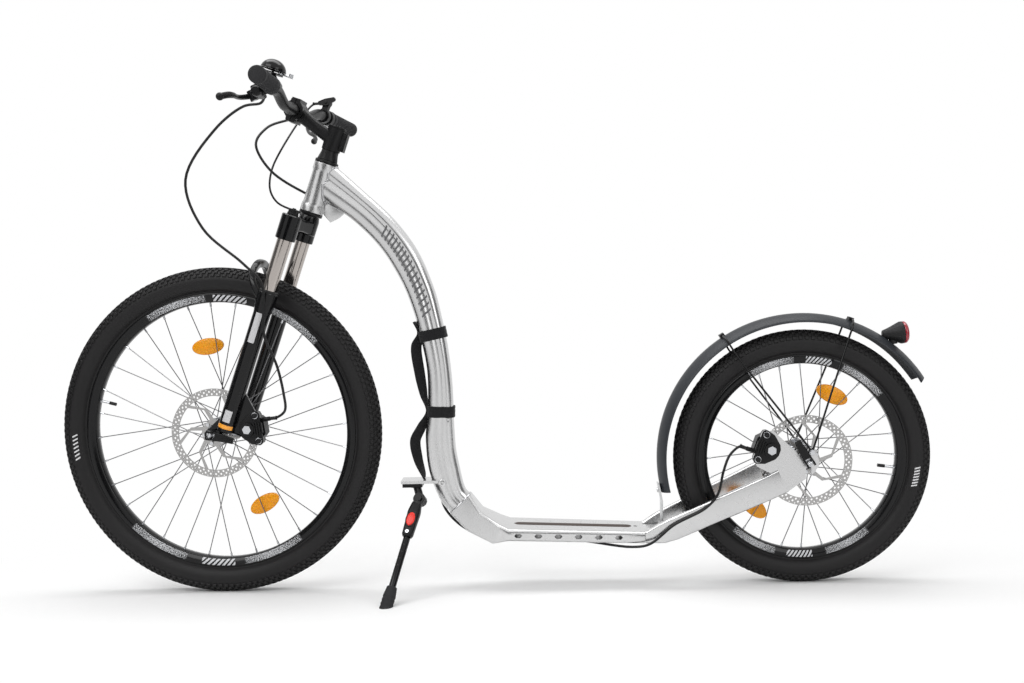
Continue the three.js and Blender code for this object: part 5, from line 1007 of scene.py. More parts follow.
    def hub_and_spokes(self) -> None:
        """The turned hub with its two flanges, and the spokes with their elbows."""
        end = self.hub_width / 2 - 0.4
        left, right, disc = -self.disc_flange, self.plain_flange, -self.disc_plane
        carrier = disc + self.disc_thick / 2 + 0.3
        behind = carrier + self.carrier_thick
        spigot, barrel = self.disc_eye - 0.5, self.barrel_radius
        flange, half, waist = self.flange_radius, self.flange_half, barrel - 2
        profile = [
            (self.bore, -end), (self.end_radius, -end), (self.end_radius, disc), (spigot, disc),
            (spigot, carrier), (self.carrier_radius, carrier), (self.carrier_radius, behind),
            (barrel, behind), (barrel, left - half), (flange, left - half), (flange, left + half),
            (barrel + 2, left + half),
            (waist, left + 10), (waist, (left + right) / 2), (waist, right - 10), (barrel + 2, right - half),
            (flange, right - half), (flange, right + half), (barrel, right + half), (self.end_radius, end),
            (self.bore, end),
        ]
        self.put(turned(profile, Axis.Y, 48), "hub_shell", "", "steel", PAINT.steel, bevel=0.5)
        spokes = Shape()
        for start, far in self.spoke_lines():
            spokes.add(rod(start, far, self.spoke_radius, 8))
            outward = ACROSS * copysign(2.4, start.y)
            spokes.add(rod(start - outward, start + outward, self.spoke_radius * 1.7, 8))
        self.put(spokes, "spokes", "hub_and_spokes", None, PAINT.spoke, own_turn=self.own_turn)

    def disc(self) -> None:
        """The drilled brake track on its slanting arms, with its six bolts."""
        inner = self.disc_radius - self.track_width
        middle = (self.disc_root + inner) / 2
        pitch = 2 * pi / self.disc_arms
        twist = radians(self.disc_twist)
        holes = [self.window(arm * pitch, pitch, twist, inner, middle) for arm in range(self.disc_arms)]
        rows = ((0.25, 0.0, 2.3), (0.58, 0.5, 2.3), (0.84, 0.0, 1.5))
        count = 48
        for share, stagger, size in rows:
            for k in range(count):
                u, v = polar(inner + self.track_width * share, 2 * pi * (k + stagger) / count)
                holes.append([(u + a, v + b) for a, b in ellipse(size, size, 8)])
        holes.append(ellipse(self.disc_eye, self.disc_eye, 32))
        outline = ellipse(self.disc_radius, self.disc_radius, 120)
        half = self.disc_thick / 2
        shape = plate(outline, -self.disc_plane - half, -self.disc_plane + half, holes)
        face = -self.disc_plane - half
        for k in range(6):
            u, v = polar(22, radians(60 * k + 30))
            bolt = Vector((u, face, v))
            shape.add(rod(bolt + ACROSS, bolt - ACROSS * 2.2, 3.6, 16), 1)
        self.put(shape, "disc", "rotor", "steel", PAINT.disc, PAINT.steel)

    def window(self, start: float, pitch: float, twist: float, inner: float, middle: float) -> Outline:
        """The opening between two arms of the disc.

        Args:
            start: Angle of the arm before it.
            pitch: Angle between two arms.
            twist: How far an arm slants on its way out.
            inner: Inner radius of the track.
            middle: Radius half-way along the arms.

        Returns:
            The opening's outline.
        """
        root_half = self.arm_half / self.disc_root
        middle_half = self.arm_half * 0.8 / middle
        tip_half = self.arm_half * 0.9 / inner
        bend = twist * 0.3
        outline = [polar(self.disc_root, start + blend_of(root_half, pitch - root_half, k / 6))
                   for k in range(7)]
        outline.append(polar(middle, start + pitch + bend - middle_half))
        outline += [polar(inner, start + twist + blend_of(tip_half, pitch - tip_half, k / 12))
                    for k in range(12, -1, -1)]
        return [*outline, polar(middle, start + bend + middle_half)]

    def reflector(self, number: int, degrees: float) -> None:
        """An oval reflector between the two layers of spokes.

        Args:
            number: Which of the wheel's reflectors it is.
            degrees: Its angle about the axle.
        """
        hole_radius = self.flange_radius - self.hole_inset
        share = (self.reflector_radius + self.reflector_short - hole_radius) / (self.rim_floor - hole_radius)
        room = blend_of(self.disc_flange - self.layer_shift, self.rim_shift, sqrt(share))
        half = room - 1.5
        layers = []
        for y, inset in ((-half, 2.4), (1.2 - half, 0.6), (2 - half, 0), (half - 2, 0), (half - 1.2, 0.6),
                         (half, 2.4)):
            outline = ellipse(self.reflector_long - inset, self.reflector_short - inset, 40)
            layers.append([Vector((u, y, v)) for u, v in outline])
        shift = Matrix.Translation(ray(radians(degrees)) * self.reflector_radius)
        self.put(loft(layers).moved(shift @ about_y(degrees + 90)), f"reflector_{number}_lens",
                 f"reflector_{number}", "amber_plastic", PAINT.amber)


# Frame: the grooved main tube with its plate, gusset and bosses


@dataclass
class MainTube:
    """The swept main tube in the bike's own axes, from the head tube down to the nose of the deck."""

    top: tuple[float, float] = (-945.74, 837.35)
    foot: tuple[float, float] = (-688.0, 174.0)
    depth: float = 56.0
    width: float = 42.0
    squareness: float = 2.6
    groove_share: float = 0.2
    groove_at: float = -0.2
    groove_half: float = 0.22
    sides: int = 64
    per_span: int = 6
    spine: tuple[tuple[float, float, float], ...] = (
        (1, 1, 1.29), (0.693, 0.905, 1.04), (0.506, 0.831, 1.04), (0.374, 0.756, 1.05),
        (0.261, 0.656, 0.98), (0.185, 0.541, 0.91), (0.136, 0.419, 0.86), (0.13, 0.303, 0.91),
        (0.143, 0.195, 1.07), (0.121, 0.112, 1.11), (0.053, 0.024, 1), (0, 0, 0.96),
    )
    mark_count: int = 17
    mark_start: int = 11
    mark_reach: int = 3
    mark_slant: float = 0.9
    mark_wide: float = 4.2
    gusset_half: float = 3.0
    gusset: tuple[tuple[float, float], ...] = (
        (-8, -44), (-2, -68), (14, -88), (32, -80), (64, -54), (40, -30),
    )

    def stations(self) -> tuple[list[Vector], list[float]]:
        """The spine's smooth line and the tube's depth at each of its points."""
        knots = [
            Vector((blend_of(self.foot[0], self.top[0], along), depth * self.depth,
                    blend_of(self.foot[1], self.top[1], up)))
            for along, up, depth in self.spine
        ]
        line = spline([Vector((p.x, 0, p.z)) for p in knots], self.per_span)
        depths = []
        for k in range(len(line)):
            place = k / self.per_span
            whole = min(int(place), len(knots) - 2)
            share = place - whole
            ease = share * share * (3 - 2 * share)
            depths.append(blend_of(knots[whole].y, knots[whole + 1].y, ease))
        return line, depths

    def section(self, depth: float, extra: float = 0.0) -> Outline:
        """The two-lobed section, u towards the front and v across.

        Args:
            depth: The tube's depth there.
            extra: Growth on all sides.

        Returns:
            Its outline.
        """
        power = 2 / self.squareness
        outline = []
        for k in range(self.sides):
            angle = 2 * pi * k / self.sides
            c, s = cos(angle), sin(angle)
            deep = copysign(abs(c) ** power, c)
            wide = copysign(abs(s) ** power, s)
            groove = 1 - self.groove_share * exp(-(((deep - self.groove_at) / self.groove_half) ** 2))
            outline.append(((depth / 2 + extra) * deep, (self.width / 2 + extra) * wide * groove))
        return outline

    def build(self) -> None:
        """Makes the tube with what is welded to it."""
        line, depths = self.stations()
        shape = loft(rings_along(line, [self.section(depth) for depth in depths], ACROSS))
        shape.add(plate([(self.top[0] + a, self.top[1] + u) for a, u in self.gusset],
                        -self.gusset_half, self.gusset_half, edge=1.0))
        shape.add(block((88, 40, 6), Vector((-762, 0, 221))))
        for x, z, radius, proud in ((-722, 219, 8, 3), (-705, 346, 4, 3)):
            face = -self.width / 2 - proud
            profile = [(0, -12), (radius, -12), (radius, face + 0.8), (radius - 0.8, face), (2.6, face),
                       (2.6, face + 4), (0, face + 4)]
            shape.add(turned(profile, Axis.Y, 24).moved(Matrix.Translation((x, 0, z))))
        for k in range(self.mark_count):
            shape.add(self.mark(line, depths, self.mark_start + k), 1)
        Piece.skin("main_tube", "frame", PLACES.bike(), "bare_aluminium", PAINT.aluminium, PAINT.tube_mark,
                   smooth_angle=60).put(shape)

    def mark(self, line: list[Vector], depths: list[float], start: int) -> Shape:
        """One slanted grey bar on the left of the tube, laid over its lobes.

        Args:
            line: The spine's points.
            depths: The tube's depth at each.
            start: The point where the bar begins.

        Returns:
            The bar, closed.
        """
        rings = []
        quarter = self.sides // 4
        for j in range(2 * self.mark_reach + 1):
            side = 3 * quarter - self.mark_reach + j
            place = start + self.mark_slant * j / (2 * self.mark_reach)
            ring = []
            for along, extra in ((0.0, -0.5), (0.0, 0.3), (self.mark_wide, 0.3), (self.mark_wide, -0.5)):
                at = int(place)
                share = place - at
                point = line[at].lerp(line[at + 1], share)
                tangent = (line[at + 1] - line[at]).normalized()
                over = ACROSS.cross(tangent).normalized()
                u, v = self.section(depths[at], extra)[side]
                ring.append(point + tangent * along + over * u + Vector((0, v, 0)))
            rings.append(ring)
        return loft(rings)


@dataclass
class CarryStrap:
    """Webbing that bulges in front of the main tube, held by hook-and-loop bands round the tube."""

    tube: MainTube
    width: float = 25.0
    thick: float = 2.4
    most_twist: float = 52.0
    pinch: float = 0.53
    band_width: float = 22.0
    band_thick: float = 3.2
    band_places: tuple[float, float] = (5.12, 7.13)
    line: tuple[tuple[float, float], ...] = (
        (175, 292), (182.5, 314), (169, 339), (174, 397), (184, 440), (195.5, 472), (176, 502), (160, 532),
        (167, 575), (186, 612),
    )

    def build(self) -> None:
        """Makes the webbing and its bands."""
        top_x, top_z = self.tube.top
        points = spline([Vector((top_x + a, 0, top_z - d)) for a, d in self.line], 8)
        flat = rounded_box(self.thick / 2, self.width / 2, self.thick / 2.2)
        outlines = []
        for k in range(len(points)):
            turn = radians(self.twist(k / (len(points) - 1)))
            inset = self.width / 2 * sin(turn)
            outlines.append([
                (u * cos(turn) - v * sin(turn) - inset, u * sin(turn) + v * cos(turn))
                for u, v in flat
            ])
        rings = rings_along(points, outlines, ACROSS)
        shape = loft(rings)
        steps = len(flat) // 4
        for ring in (rings[3], rings[6], rings[-7], rings[-4]):
            low, high = ring[steps], ring[3 * steps]
            for step in range(1, 10):
                centre = low.lerp(high, step / 10)
                shape.add(tube([centre - Vector((0, 1, 2)), centre + Vector((0, 1, 2))], 0.45, 6), 1)
        for place in self.band_places:
            shape.add(self.band(place))
        Piece("carry_strap_webbing", "frame", PLACES.bike(), (PAINT.webbing, PAINT.thread), ("carry_strap",),
              "webbing").put(shape)

    def twist(self, share: float) -> float:
        """How far the webbing turns its face to the side at a share of its length, in degrees."""
        within = share / self.pinch if share < self.pinch else (share - self.pinch) / (1 - self.pinch)
        return self.most_twist * max(0.0, sin(pi * within)) ** 0.8

    def band(self, place: float) -> Shape:
        """One band round the tube.

        Args:
            place: Where along the spine, counted in its points from the top.

        Returns:
            The band, a little frayed at its edges.
        """
        line, depths = self.tube.stations()
        at = round(place * self.tube.per_span)
        tangent = (line[at + 1] - line[at - 1]).normalized()
        inner, outer = [], []
        steps = 8
        for k in range(steps + 1):
            along = tangent * (self.band_width * (k / steps - 0.5))
            swell = 0.25 * sin(k * 2.1)
            points = [line[at] + along - tangent, line[at] + along, line[at] + along + tangent]
            for rings, extra in ((inner, 0.3), (outer, self.band_thick + swell)):
                rings.append(rings_along(points, [self.tube.section(depths[at], extra)] * 3, ACROSS)[1])
        return loft([*outer, *reversed(inner)], looped=True)


# Fork: crown, polished upper tubes and gloss lower legs


@dataclass
class Fork:
    """The suspension fork in the steering axes."""

    leg_x: float = -16.0
    leg_y: float = 62.0
    crown_bottom: float = 416.0
    crown_top: float = 466.0
    socket_radius: float = 20.0
    tube_radius: float = 15.0
    tube_bottom: float = 130.0
    tube_wall: float = 2.4
    leg_radius: float = 17.0
    leg_top_radius: float = 20.0
    leg_top: float = 308.0
    leg_bottom: float = 16.0
    collar: float = 22.0
    taper: float = 2.0
    axle_x: float = -42.0
    tip_inner: float = 50.0
    tip_thick: float = 8.0
    tip_radius: float = 15.0
    slot_half: float = 5.2
    steerer_radius: float = 14.3
    steerer_top: float = 653.0
    band_height: float = 8.0
    patch_height: float = 24.0
    caliper_angle: float = 27.0
    ear_at: float = 96.0
    ear_half: float = 25.5
    ear_radius: float = 8.0
    piston_at: float = 76.0
    piston_room: float = 10.8
    mount_face: float = -53.0
    mount_thick: float = 8.0
    mount_height: float = 100.0

    def build(self) -> None:
        """Makes the crown and the lowers."""
        self.crown()
        self.lowers()

    def crown(self) -> None:
        """The sockets, their bridge, the steerer and the two polished tubes."""
        shape = Shape()
        low, high, radius, bore = self.crown_bottom, self.crown_top, self.socket_radius, self.tube_radius
        inner, end = bore - self.tube_wall, self.tube_bottom
        socket = [(bore, low), (radius - 1.2, low), (radius, low + 1.2), (radius, high - 2),
                  (radius - 2, high), (bore - 2.6, high)]
        polished = [(inner, end), (bore - 0.6, end), (bore, end + 1), (bore, high), (inner, high)]
        for side in (-1, 1):
            place = Matrix.Translation((self.leg_x, side * self.leg_y, 0))
            shape.add(turned(socket, Axis.Z, 64).moved(place))
            shape.add(turned(polished, Axis.Z, 64).moved(place), 1)
            shape.add(self.arm(side))
        steerer, top = self.steerer_radius, self.steerer_top
        boss = [(0, high - 30), (19, high - 30), (21, high - 28), (21, high - 1), (19, high + 8.4),
                (steerer, high + 8.4), (steerer, top), (12, top), (12, high - 20), (0, high - 20)]
        shape.add(turned(boss, Axis.Z, 64))
        shape.add(block((7, 8, 11), Vector((-34, 57, high + 5))))
        Piece.skin("fork_crown", "steering", PLACES.steering(), "gloss_black_metal", PAINT.gloss_black,
                   PAINT.stanchion).put(shape)

    def arm(self, side: int) -> Shape:
        """One half of the crown's bridge, waisted between boss and socket."""
        middle = self.crown_top - 15.3
        sizes = ((20, 14.7), (18.4, 12.6), (17, 11), (15.6, 12.4), (15, 14.7))
        points = spline([Vector((self.leg_x, side * self.leg_y, 0)) * (k / 4) + UP * middle
                         for k in range(5)], 5)
        outlines = []
        for k in range(len(points)):
            place = k / 5
            whole = min(int(place), 3)
            share = place - whole
            deep = blend_of(sizes[whole][0], sizes[whole + 1][0], share)
            tall = blend_of(sizes[whole][1], sizes[whole + 1][1], share)
            outlines.append(rounded_box(deep, tall, 5))
        return loft(rings_along(points, outlines, UP))

    def lowers(self) -> None:
        """The two lower legs with seals, arch, axle tips and caliper mount."""
        shape = Shape()
        bore, foot, slim, taper = self.tube_radius + 0.4, self.leg_bottom, self.leg_radius, self.taper
        top, wide, collar = self.leg_top, self.leg_top_radius, self.collar
        profile = [
            (0, foot), (slim - taper, foot), (slim, foot + taper), (slim, top - 2 * collar),
            (slim + 0.6, top - 1.8 * collar), (wide - 0.6, top - 1.2 * collar), (wide, top - collar),
            (wide, top - taper), (wide - taper, top), (bore, top), (bore, top - 30), (0, top - 30),
        ]
        seal = [(bore, top - 1), (bore + 3.6, top - 1), (bore + 3.6, top + 1.6), (bore + 2.4, top + 3),
                (bore + 0.2, top + 4)]
        for side in (-1, 1):
            place = Matrix.Translation((self.leg_x, side * self.leg_y, 0))
            shape.add(turned(profile, Axis.Z, 64).moved(place))
            shape.add(turned(seal, Axis.Z, 48).moved(place), 1)
            shape.add(self.tip(side))
        shape.add(self.arch())
        shape.add(self.caliper_mount())
        self.marks(shape)
        Piece.skin("fork_lowers", "lowers", PLACES.steering(), "gloss_black_metal", PAINT.gloss_black,
                   PAINT.moulded_black, PAINT.fork_amber, PAINT.fork_grey).put(shape)

    def caliper_mount(self) -> Shape:
        """The plate outside the disc that carries the caliper, joined to the left leg."""
        turn = radians(self.caliper_angle)
        room = [(self.piston_at + u, v) for u, v in ellipse(self.piston_room, self.piston_room, 32)]
        ears, room = (
            [(self.axle_x + u * cos(turn) - v * sin(turn), u * sin(turn) + v * cos(turn)) for u, v in ring]
            for ring in (caliper_ears(self.ear_at, self.ear_half, self.ear_radius, 15), room)
        )
        low, high = self.leg_bottom + self.taper, self.leg_bottom + self.mount_height
        outline = [(self.leg_x, low), *ears, (self.leg_x, high)]
        return plate(outline, self.mount_face - self.mount_thick, self.mount_face, [room], edge=0.8)

    def marks(self, shape: Shape) -> None:
        """Adds the plain amber band and grey patches on the outer side of each leg."""
        outer = self.leg_radius + 0.15
        inner = outer - 1
        for side in (-1, 1):
            centre = Vector((self.leg_x, side * self.leg_y, 0))
            for low, tall, slot, reach in ((24, self.band_height, 2, 60), (38, self.patch_height, 3, 26),
                                           (204, 3 * self.patch_height, 3, 22)):
                high = low + tall
                angles = [radians(blend_of(-reach, reach, k / 16)) for k in range(17)]
                rings = [
                    [centre + Vector((radius * sin(a), side * radius * cos(a), z)) for a in angles]
                    for radius, z in ((inner, low), (outer, low), (outer, high), (inner, high))
                ]
                shape.add(loft(rings, looped=True), slot)

    def arch(self) -> Shape:
        """The brace that joins the legs over the front of the tyre."""
        foot = self.leg_top - self.collar
        shares = ((0, 1, 0), (0.42, 1, 0.22), (0.86, 0.86, 0.6), (1, 0.45, 0.92), (1, 0, 1))
        half = [Vector((self.leg_x - 50 * a, -self.leg_y * o, foot + 66 * u)) for a, o, u in shares]
        whole = half + [Vector((p.x, -p.y, p.z)) for p in reversed(half[:-1])]
        points = spline(whole, 6)
        return loft(rings_along(points, [rounded_box(8, 6.5, 4)] * len(points), Vector((1, 0, 0))))

    def tip(self, side: int) -> Shape:
        """The plate that holds one end of the axle, open downwards."""
        low, high = sorted((side * self.tip_inner, side * (self.tip_inner + self.tip_thick)))
        half, radius, x, foot = self.slot_half, self.tip_radius, self.leg_x, self.leg_bottom
        start = asin(half / radius) - pi / 2
        bottom = -sqrt(radius ** 2 - half ** 2)
        slot = [polar(half, pi * k / 8) for k in range(9)]
        left = [polar(radius, -pi - start - k * 0.1) for k in range(12)]
        right = [polar(radius, start + (12 - k) * 0.04) for k in range(12)]
        slot, left, right = (
            [(self.axle_x + u, v) for u, v in arc]
            for arc in (slot, [(-half, bottom), *left], [*right, (half, bottom)])
        )
        root = [(x - 8, foot + 44), (x, foot + 44), (x + 8, foot + 22), (x, foot + 2)]
        return plate([*slot, *left, *root, *right], low, high, edge=0.8)


# Cockpit: bar, grips and bell


@dataclass
class Cockpit:
    """The handlebar with its grips and bell, in the steering axes and those of each grip."""

    radius: float = 11.1
    centre_radius: float = 12.7
    centre_half: float = 38.0
    centre_taper: float = 10.0
    grip_length: float = 130.0
    grip_radius: float = 15.6
    flange_radius: float = 16.8
    rib_pitch: float = 4.0
    rib_depth: float = 0.8
    bell_at: float = 160.0
    bell_ahead: float = 10.0
    bell_rim: float = 29.0
    dome_radius: float = 23.5
    dome_height: float = 20.0

    def build(self) -> None:
        """Makes the bar, both grips and the bell's dome."""
        self.bar()
        for side in Side:
            self.grip(side)
        self.dome()

    def bar(self) -> None:
        """The riser bar, thicker where the stem holds it."""
        half = PLACES.bar_half
        steps = 150
        ys = [blend_of(-half, half, k / steps) for k in range(steps + 1)]
        outlines = []
        for y in ys:
            share = min(1.0, max(0.0, (abs(y) - self.centre_half) / self.centre_taper))
            outlines.append(ellipse(*[blend_of(self.centre_radius, self.radius, share)] * 2, 40))
        shape = loft(rings_along([PLACES.bar_point(y) for y in ys], outlines, UP))
        Piece.skin("handlebar", "steering", PLACES.steering(), "satin_black_metal",
                   PAINT.satin_black).put(shape)

    def grip(self, side: Side) -> None:
        """One ribbed rubber grip with its end cap."""
        bore = self.radius + 0.3
        length, flange = self.grip_length, self.flange_radius
        profile = [(0, -3), (self.grip_radius - 3, -3), (self.grip_radius - 1, -2.4), (self.grip_radius, -1),
                   (self.grip_radius, 4)]
        for k in range(int((length - 22) / self.rib_pitch)):
            start = 6 + k * self.rib_pitch
            for share, depth in ((0.1, 0), (0.5, 0), (0.62, 1), (0.92, 1)):
                profile.append((self.grip_radius - depth * self.rib_depth, start + share * self.rib_pitch))
        profile += [(self.grip_radius, length - 14), (self.grip_radius, length - 8),
                    (flange - 0.4, length - 5), (flange, length - 4), (flange, length - 1),
                    (flange - 1, length), (bore, length), (bore, 0), (0, 0)]
        shape = turned([(r, -side.value * inward) for r, inward in profile], Axis.Y, 48)
        Piece.skin(f"grip_{side.label}", "steering", PLACES.grip(side), "grip_rubber", PAINT.grip_rubber,
                   smooth_angle=50).put(shape)

    def dome(self) -> None:
        """The bell's dome with its rolled rim."""
        rim, radius, height, wall = self.bell_rim, self.dome_radius, self.dome_height, 1.6
        arc = [polar(1, pi / 2 * k / 14) for k in range(15)]
        outer = [(radius * u, rim + height * v) for u, v in arc[1:-1]]
        inner = [((radius - wall) * u, rim + (height - wall) * v) for u, v in arc[1:-1]]
        profile = [(radius - wall, rim), (radius + 0.4, rim), (radius + 0.4, rim + 2.4), *outer,
                   (0, rim + height), (0, rim + height - wall), *reversed(inner)]
        side = Side.LEFT
        place = Matrix.Translation((-self.bell_ahead, -side.value * self.bell_at, 0))
        Piece.skin("bell_dome", "steering", PLACES.grip(side), "gloss_black_metal",
                   PAINT.gloss_black).put(turned(profile, Axis.Z, 64).moved(place))


# Brake levers


@dataclass
class BrakeControl:
    """One brake lever: its body on the bar and its blade, in the axes turned down with it."""

    side: Side
    bar_radius: float = 11.4
    clamp_at: float = 139.0
    clamp_half: float = 7.0
    clamp_radius: float = 16.4
    ahead: float = 28.0
    body_radius: float = 10.0
    body_length: float = 62.0
    body_middle: float = 147.0
    spout_radius: float = 4.4
    spout_length: float = 14.0
    lid: tuple[float, float, float] = (15.0, 44.0, 5.0)
    pivot_ahead: float = 41.0
    pivot_at: float = 150.0
    pivot_radius: float = 7.0
    pin_radius: float = 2.5
    jaw_half: float = 9.5
    blade_half: float = 5.5
    blade_thick: float = 7.0
    gap: float = 0.4
    ball_radius: float = 7.0
    line: tuple[tuple[float, float], ...] = (
        (41, 150), (49, 141), (57, 124), (61, 105), (62, 80), (68, 56), (79, 42),
    )

    def at(self, forward: float, inward: float, up: float) -> Vector:
        """A point by its distance forward, in from the bar's end, and up."""
        return Vector((-forward, -self.side.value * inward, up))

    def build(self) -> None:
        """Makes the body and the blade."""
        self.body()
        self.blade()

    def body(self) -> None:
        """The split clamp, the master cylinder with its lid, the jaws and the hose spout."""
        at, ahead, middle, clamp = self.at, self.ahead, self.body_middle, self.clamp_at
        half = self.body_length / 2
        shape = turned(round_eye(self.bar_radius, self.clamp_radius, self.clamp_half), Axis.Y, 48)
        shape = shape.moved(Matrix.Translation(at(0, clamp, 0)))
        for up in (-1, 1):
            shape.add(rod(at(11, clamp, up * 5.0), at(22, clamp, up * 4.5), 5.2, 20))
        shape.add(rod(at(13, clamp, -9.5), at(13, clamp, 9.5), 2.6, 16), 1)
        cylinder = [
            (self.body_radius * radius, -self.side.value * (along * 2 * half - half))
            for along, radius in ((0, 0), (0, 0.66), (0.02, 0.8), (0.05, 0.92), (0.1, 0.98), (0.16, 1),
                                  (0.74, 1), (0.86, 0.96), (0.94, 0.86), (0.98, 0.74), (1, 0.6), (1, 0))
        ]
        shape.add(turned(cylinder, Axis.Y, 48).moved(Matrix.Translation(at(ahead, middle, 0))))
        self.reservoir(shape)
        jaw = self.blade_half + self.gap
        for low, high in ((jaw, self.jaw_half), (-self.jaw_half, -jaw)):
            shape.add(self.jaw(low, high))
        pivot = at(self.pivot_ahead, self.pivot_at, 0)
        for reach, radius in ((self.jaw_half + 0.4, self.pin_radius + 0.8),
                              ((self.jaw_half + 0.4) * 0.9, self.pin_radius)):
            shape.add(rod(pivot - UP * reach, pivot + UP * reach, radius, 20), 1)
        inner, spout = middle + half, self.spout_radius
        shape.add(rod(at(ahead, inner - 2, 0), at(ahead, inner + self.spout_length, 0), spout, 20))
        shape.add(rod(at(ahead, inner, 0), at(ahead, inner + 4, 0), spout + 1.3, 6))
        Piece.skin(f"brake_body_{self.side.label}", "steering", PLACES.lever(self.side), "satin_black_metal",
                   PAINT.satin_black, PAINT.steel).put(shape)

    def reservoir(self, shape: Shape) -> None:
        """Adds the lid of the master cylinder with its two screws."""
        wide, long, thick = self.lid
        outline = rounded_box(wide / 2, long / 2, 5, 6)
        low = self.body_radius - thick / 2
        rings = []
        for up, inset in ((low - 2, 0), (low, 0), (low + thick - 1, 0), (low + thick, 1)):
            centre = self.at(self.ahead, self.body_middle, up)
            rings.append([centre + Vector((u * (1 - 2 * inset / wide), v * (1 - 2 * inset / long), 0))
                          for u, v in outline])
        shape.add(loft(rings))
        for along in (-15, 15):
            top = self.at(self.ahead, self.body_middle + along, low + thick - 0.5)
            shape.add(rod(top, top + UP * 1.1, 2.3, 16), 1)

    def jaw(self, low: float, high: float) -> Shape:
        """One of the two plates that hold the blade's pivot."""
        centre = self.at(self.pivot_ahead, self.pivot_at, 0)
        root = self.ahead - self.body_radius / 2
        outline = [(root, -self.pivot_radius), *[
            (self.pivot_ahead + u, v) for u, v in
            (polar(self.pivot_radius, radians(blend_of(-90, 90, k / 12))) for k in range(13))
        ], (root, self.pivot_radius)]
        return loft([[Vector((-forward, centre.y + aside, up)) for forward, aside in outline]
                     for up in (low, high)])

    def blade(self) -> None:
        """The curved finger blade with its eye and its ball end."""
        points = spline([self.at(forward, inward, 0) for forward, inward in self.line], 6)
        outlines = []
        for k in range(len(points)):
            share = k / (len(points) - 1)
            narrow = 1 - 0.18 * sin(pi * min(1.0, share * 1.3))
            outlines.append(rounded_box(self.blade_thick / 2 * narrow, self.blade_half * narrow, 2.2, 4))
        shape = loft(rings_along(points, outlines, UP))
        pivot = self.at(self.pivot_ahead, self.pivot_at, 0)
        reach = Vector((0, 0, self.blade_half))
        shape.add(rod(pivot - reach, pivot + reach, self.pivot_radius, 32))
        ball = [polar(self.ball_radius, radians(blend_of(-90, 90, k / 12))) for k in range(13)]
        ball[0], ball[-1] = (0, -self.ball_radius), (0, self.ball_radius)
        shape.add(turned(ball, Axis.Z, 28, closed=False).moved(Matrix.Translation(points[-1])))
        label = self.side.label
        Piece.skin(f"brake_lever_{label}", f"{label}_brake_blade", PLACES.lever(self.side),
                   "satin_black_metal", PAINT.satin_black).put(shape)


# Mudguard with its wires and light


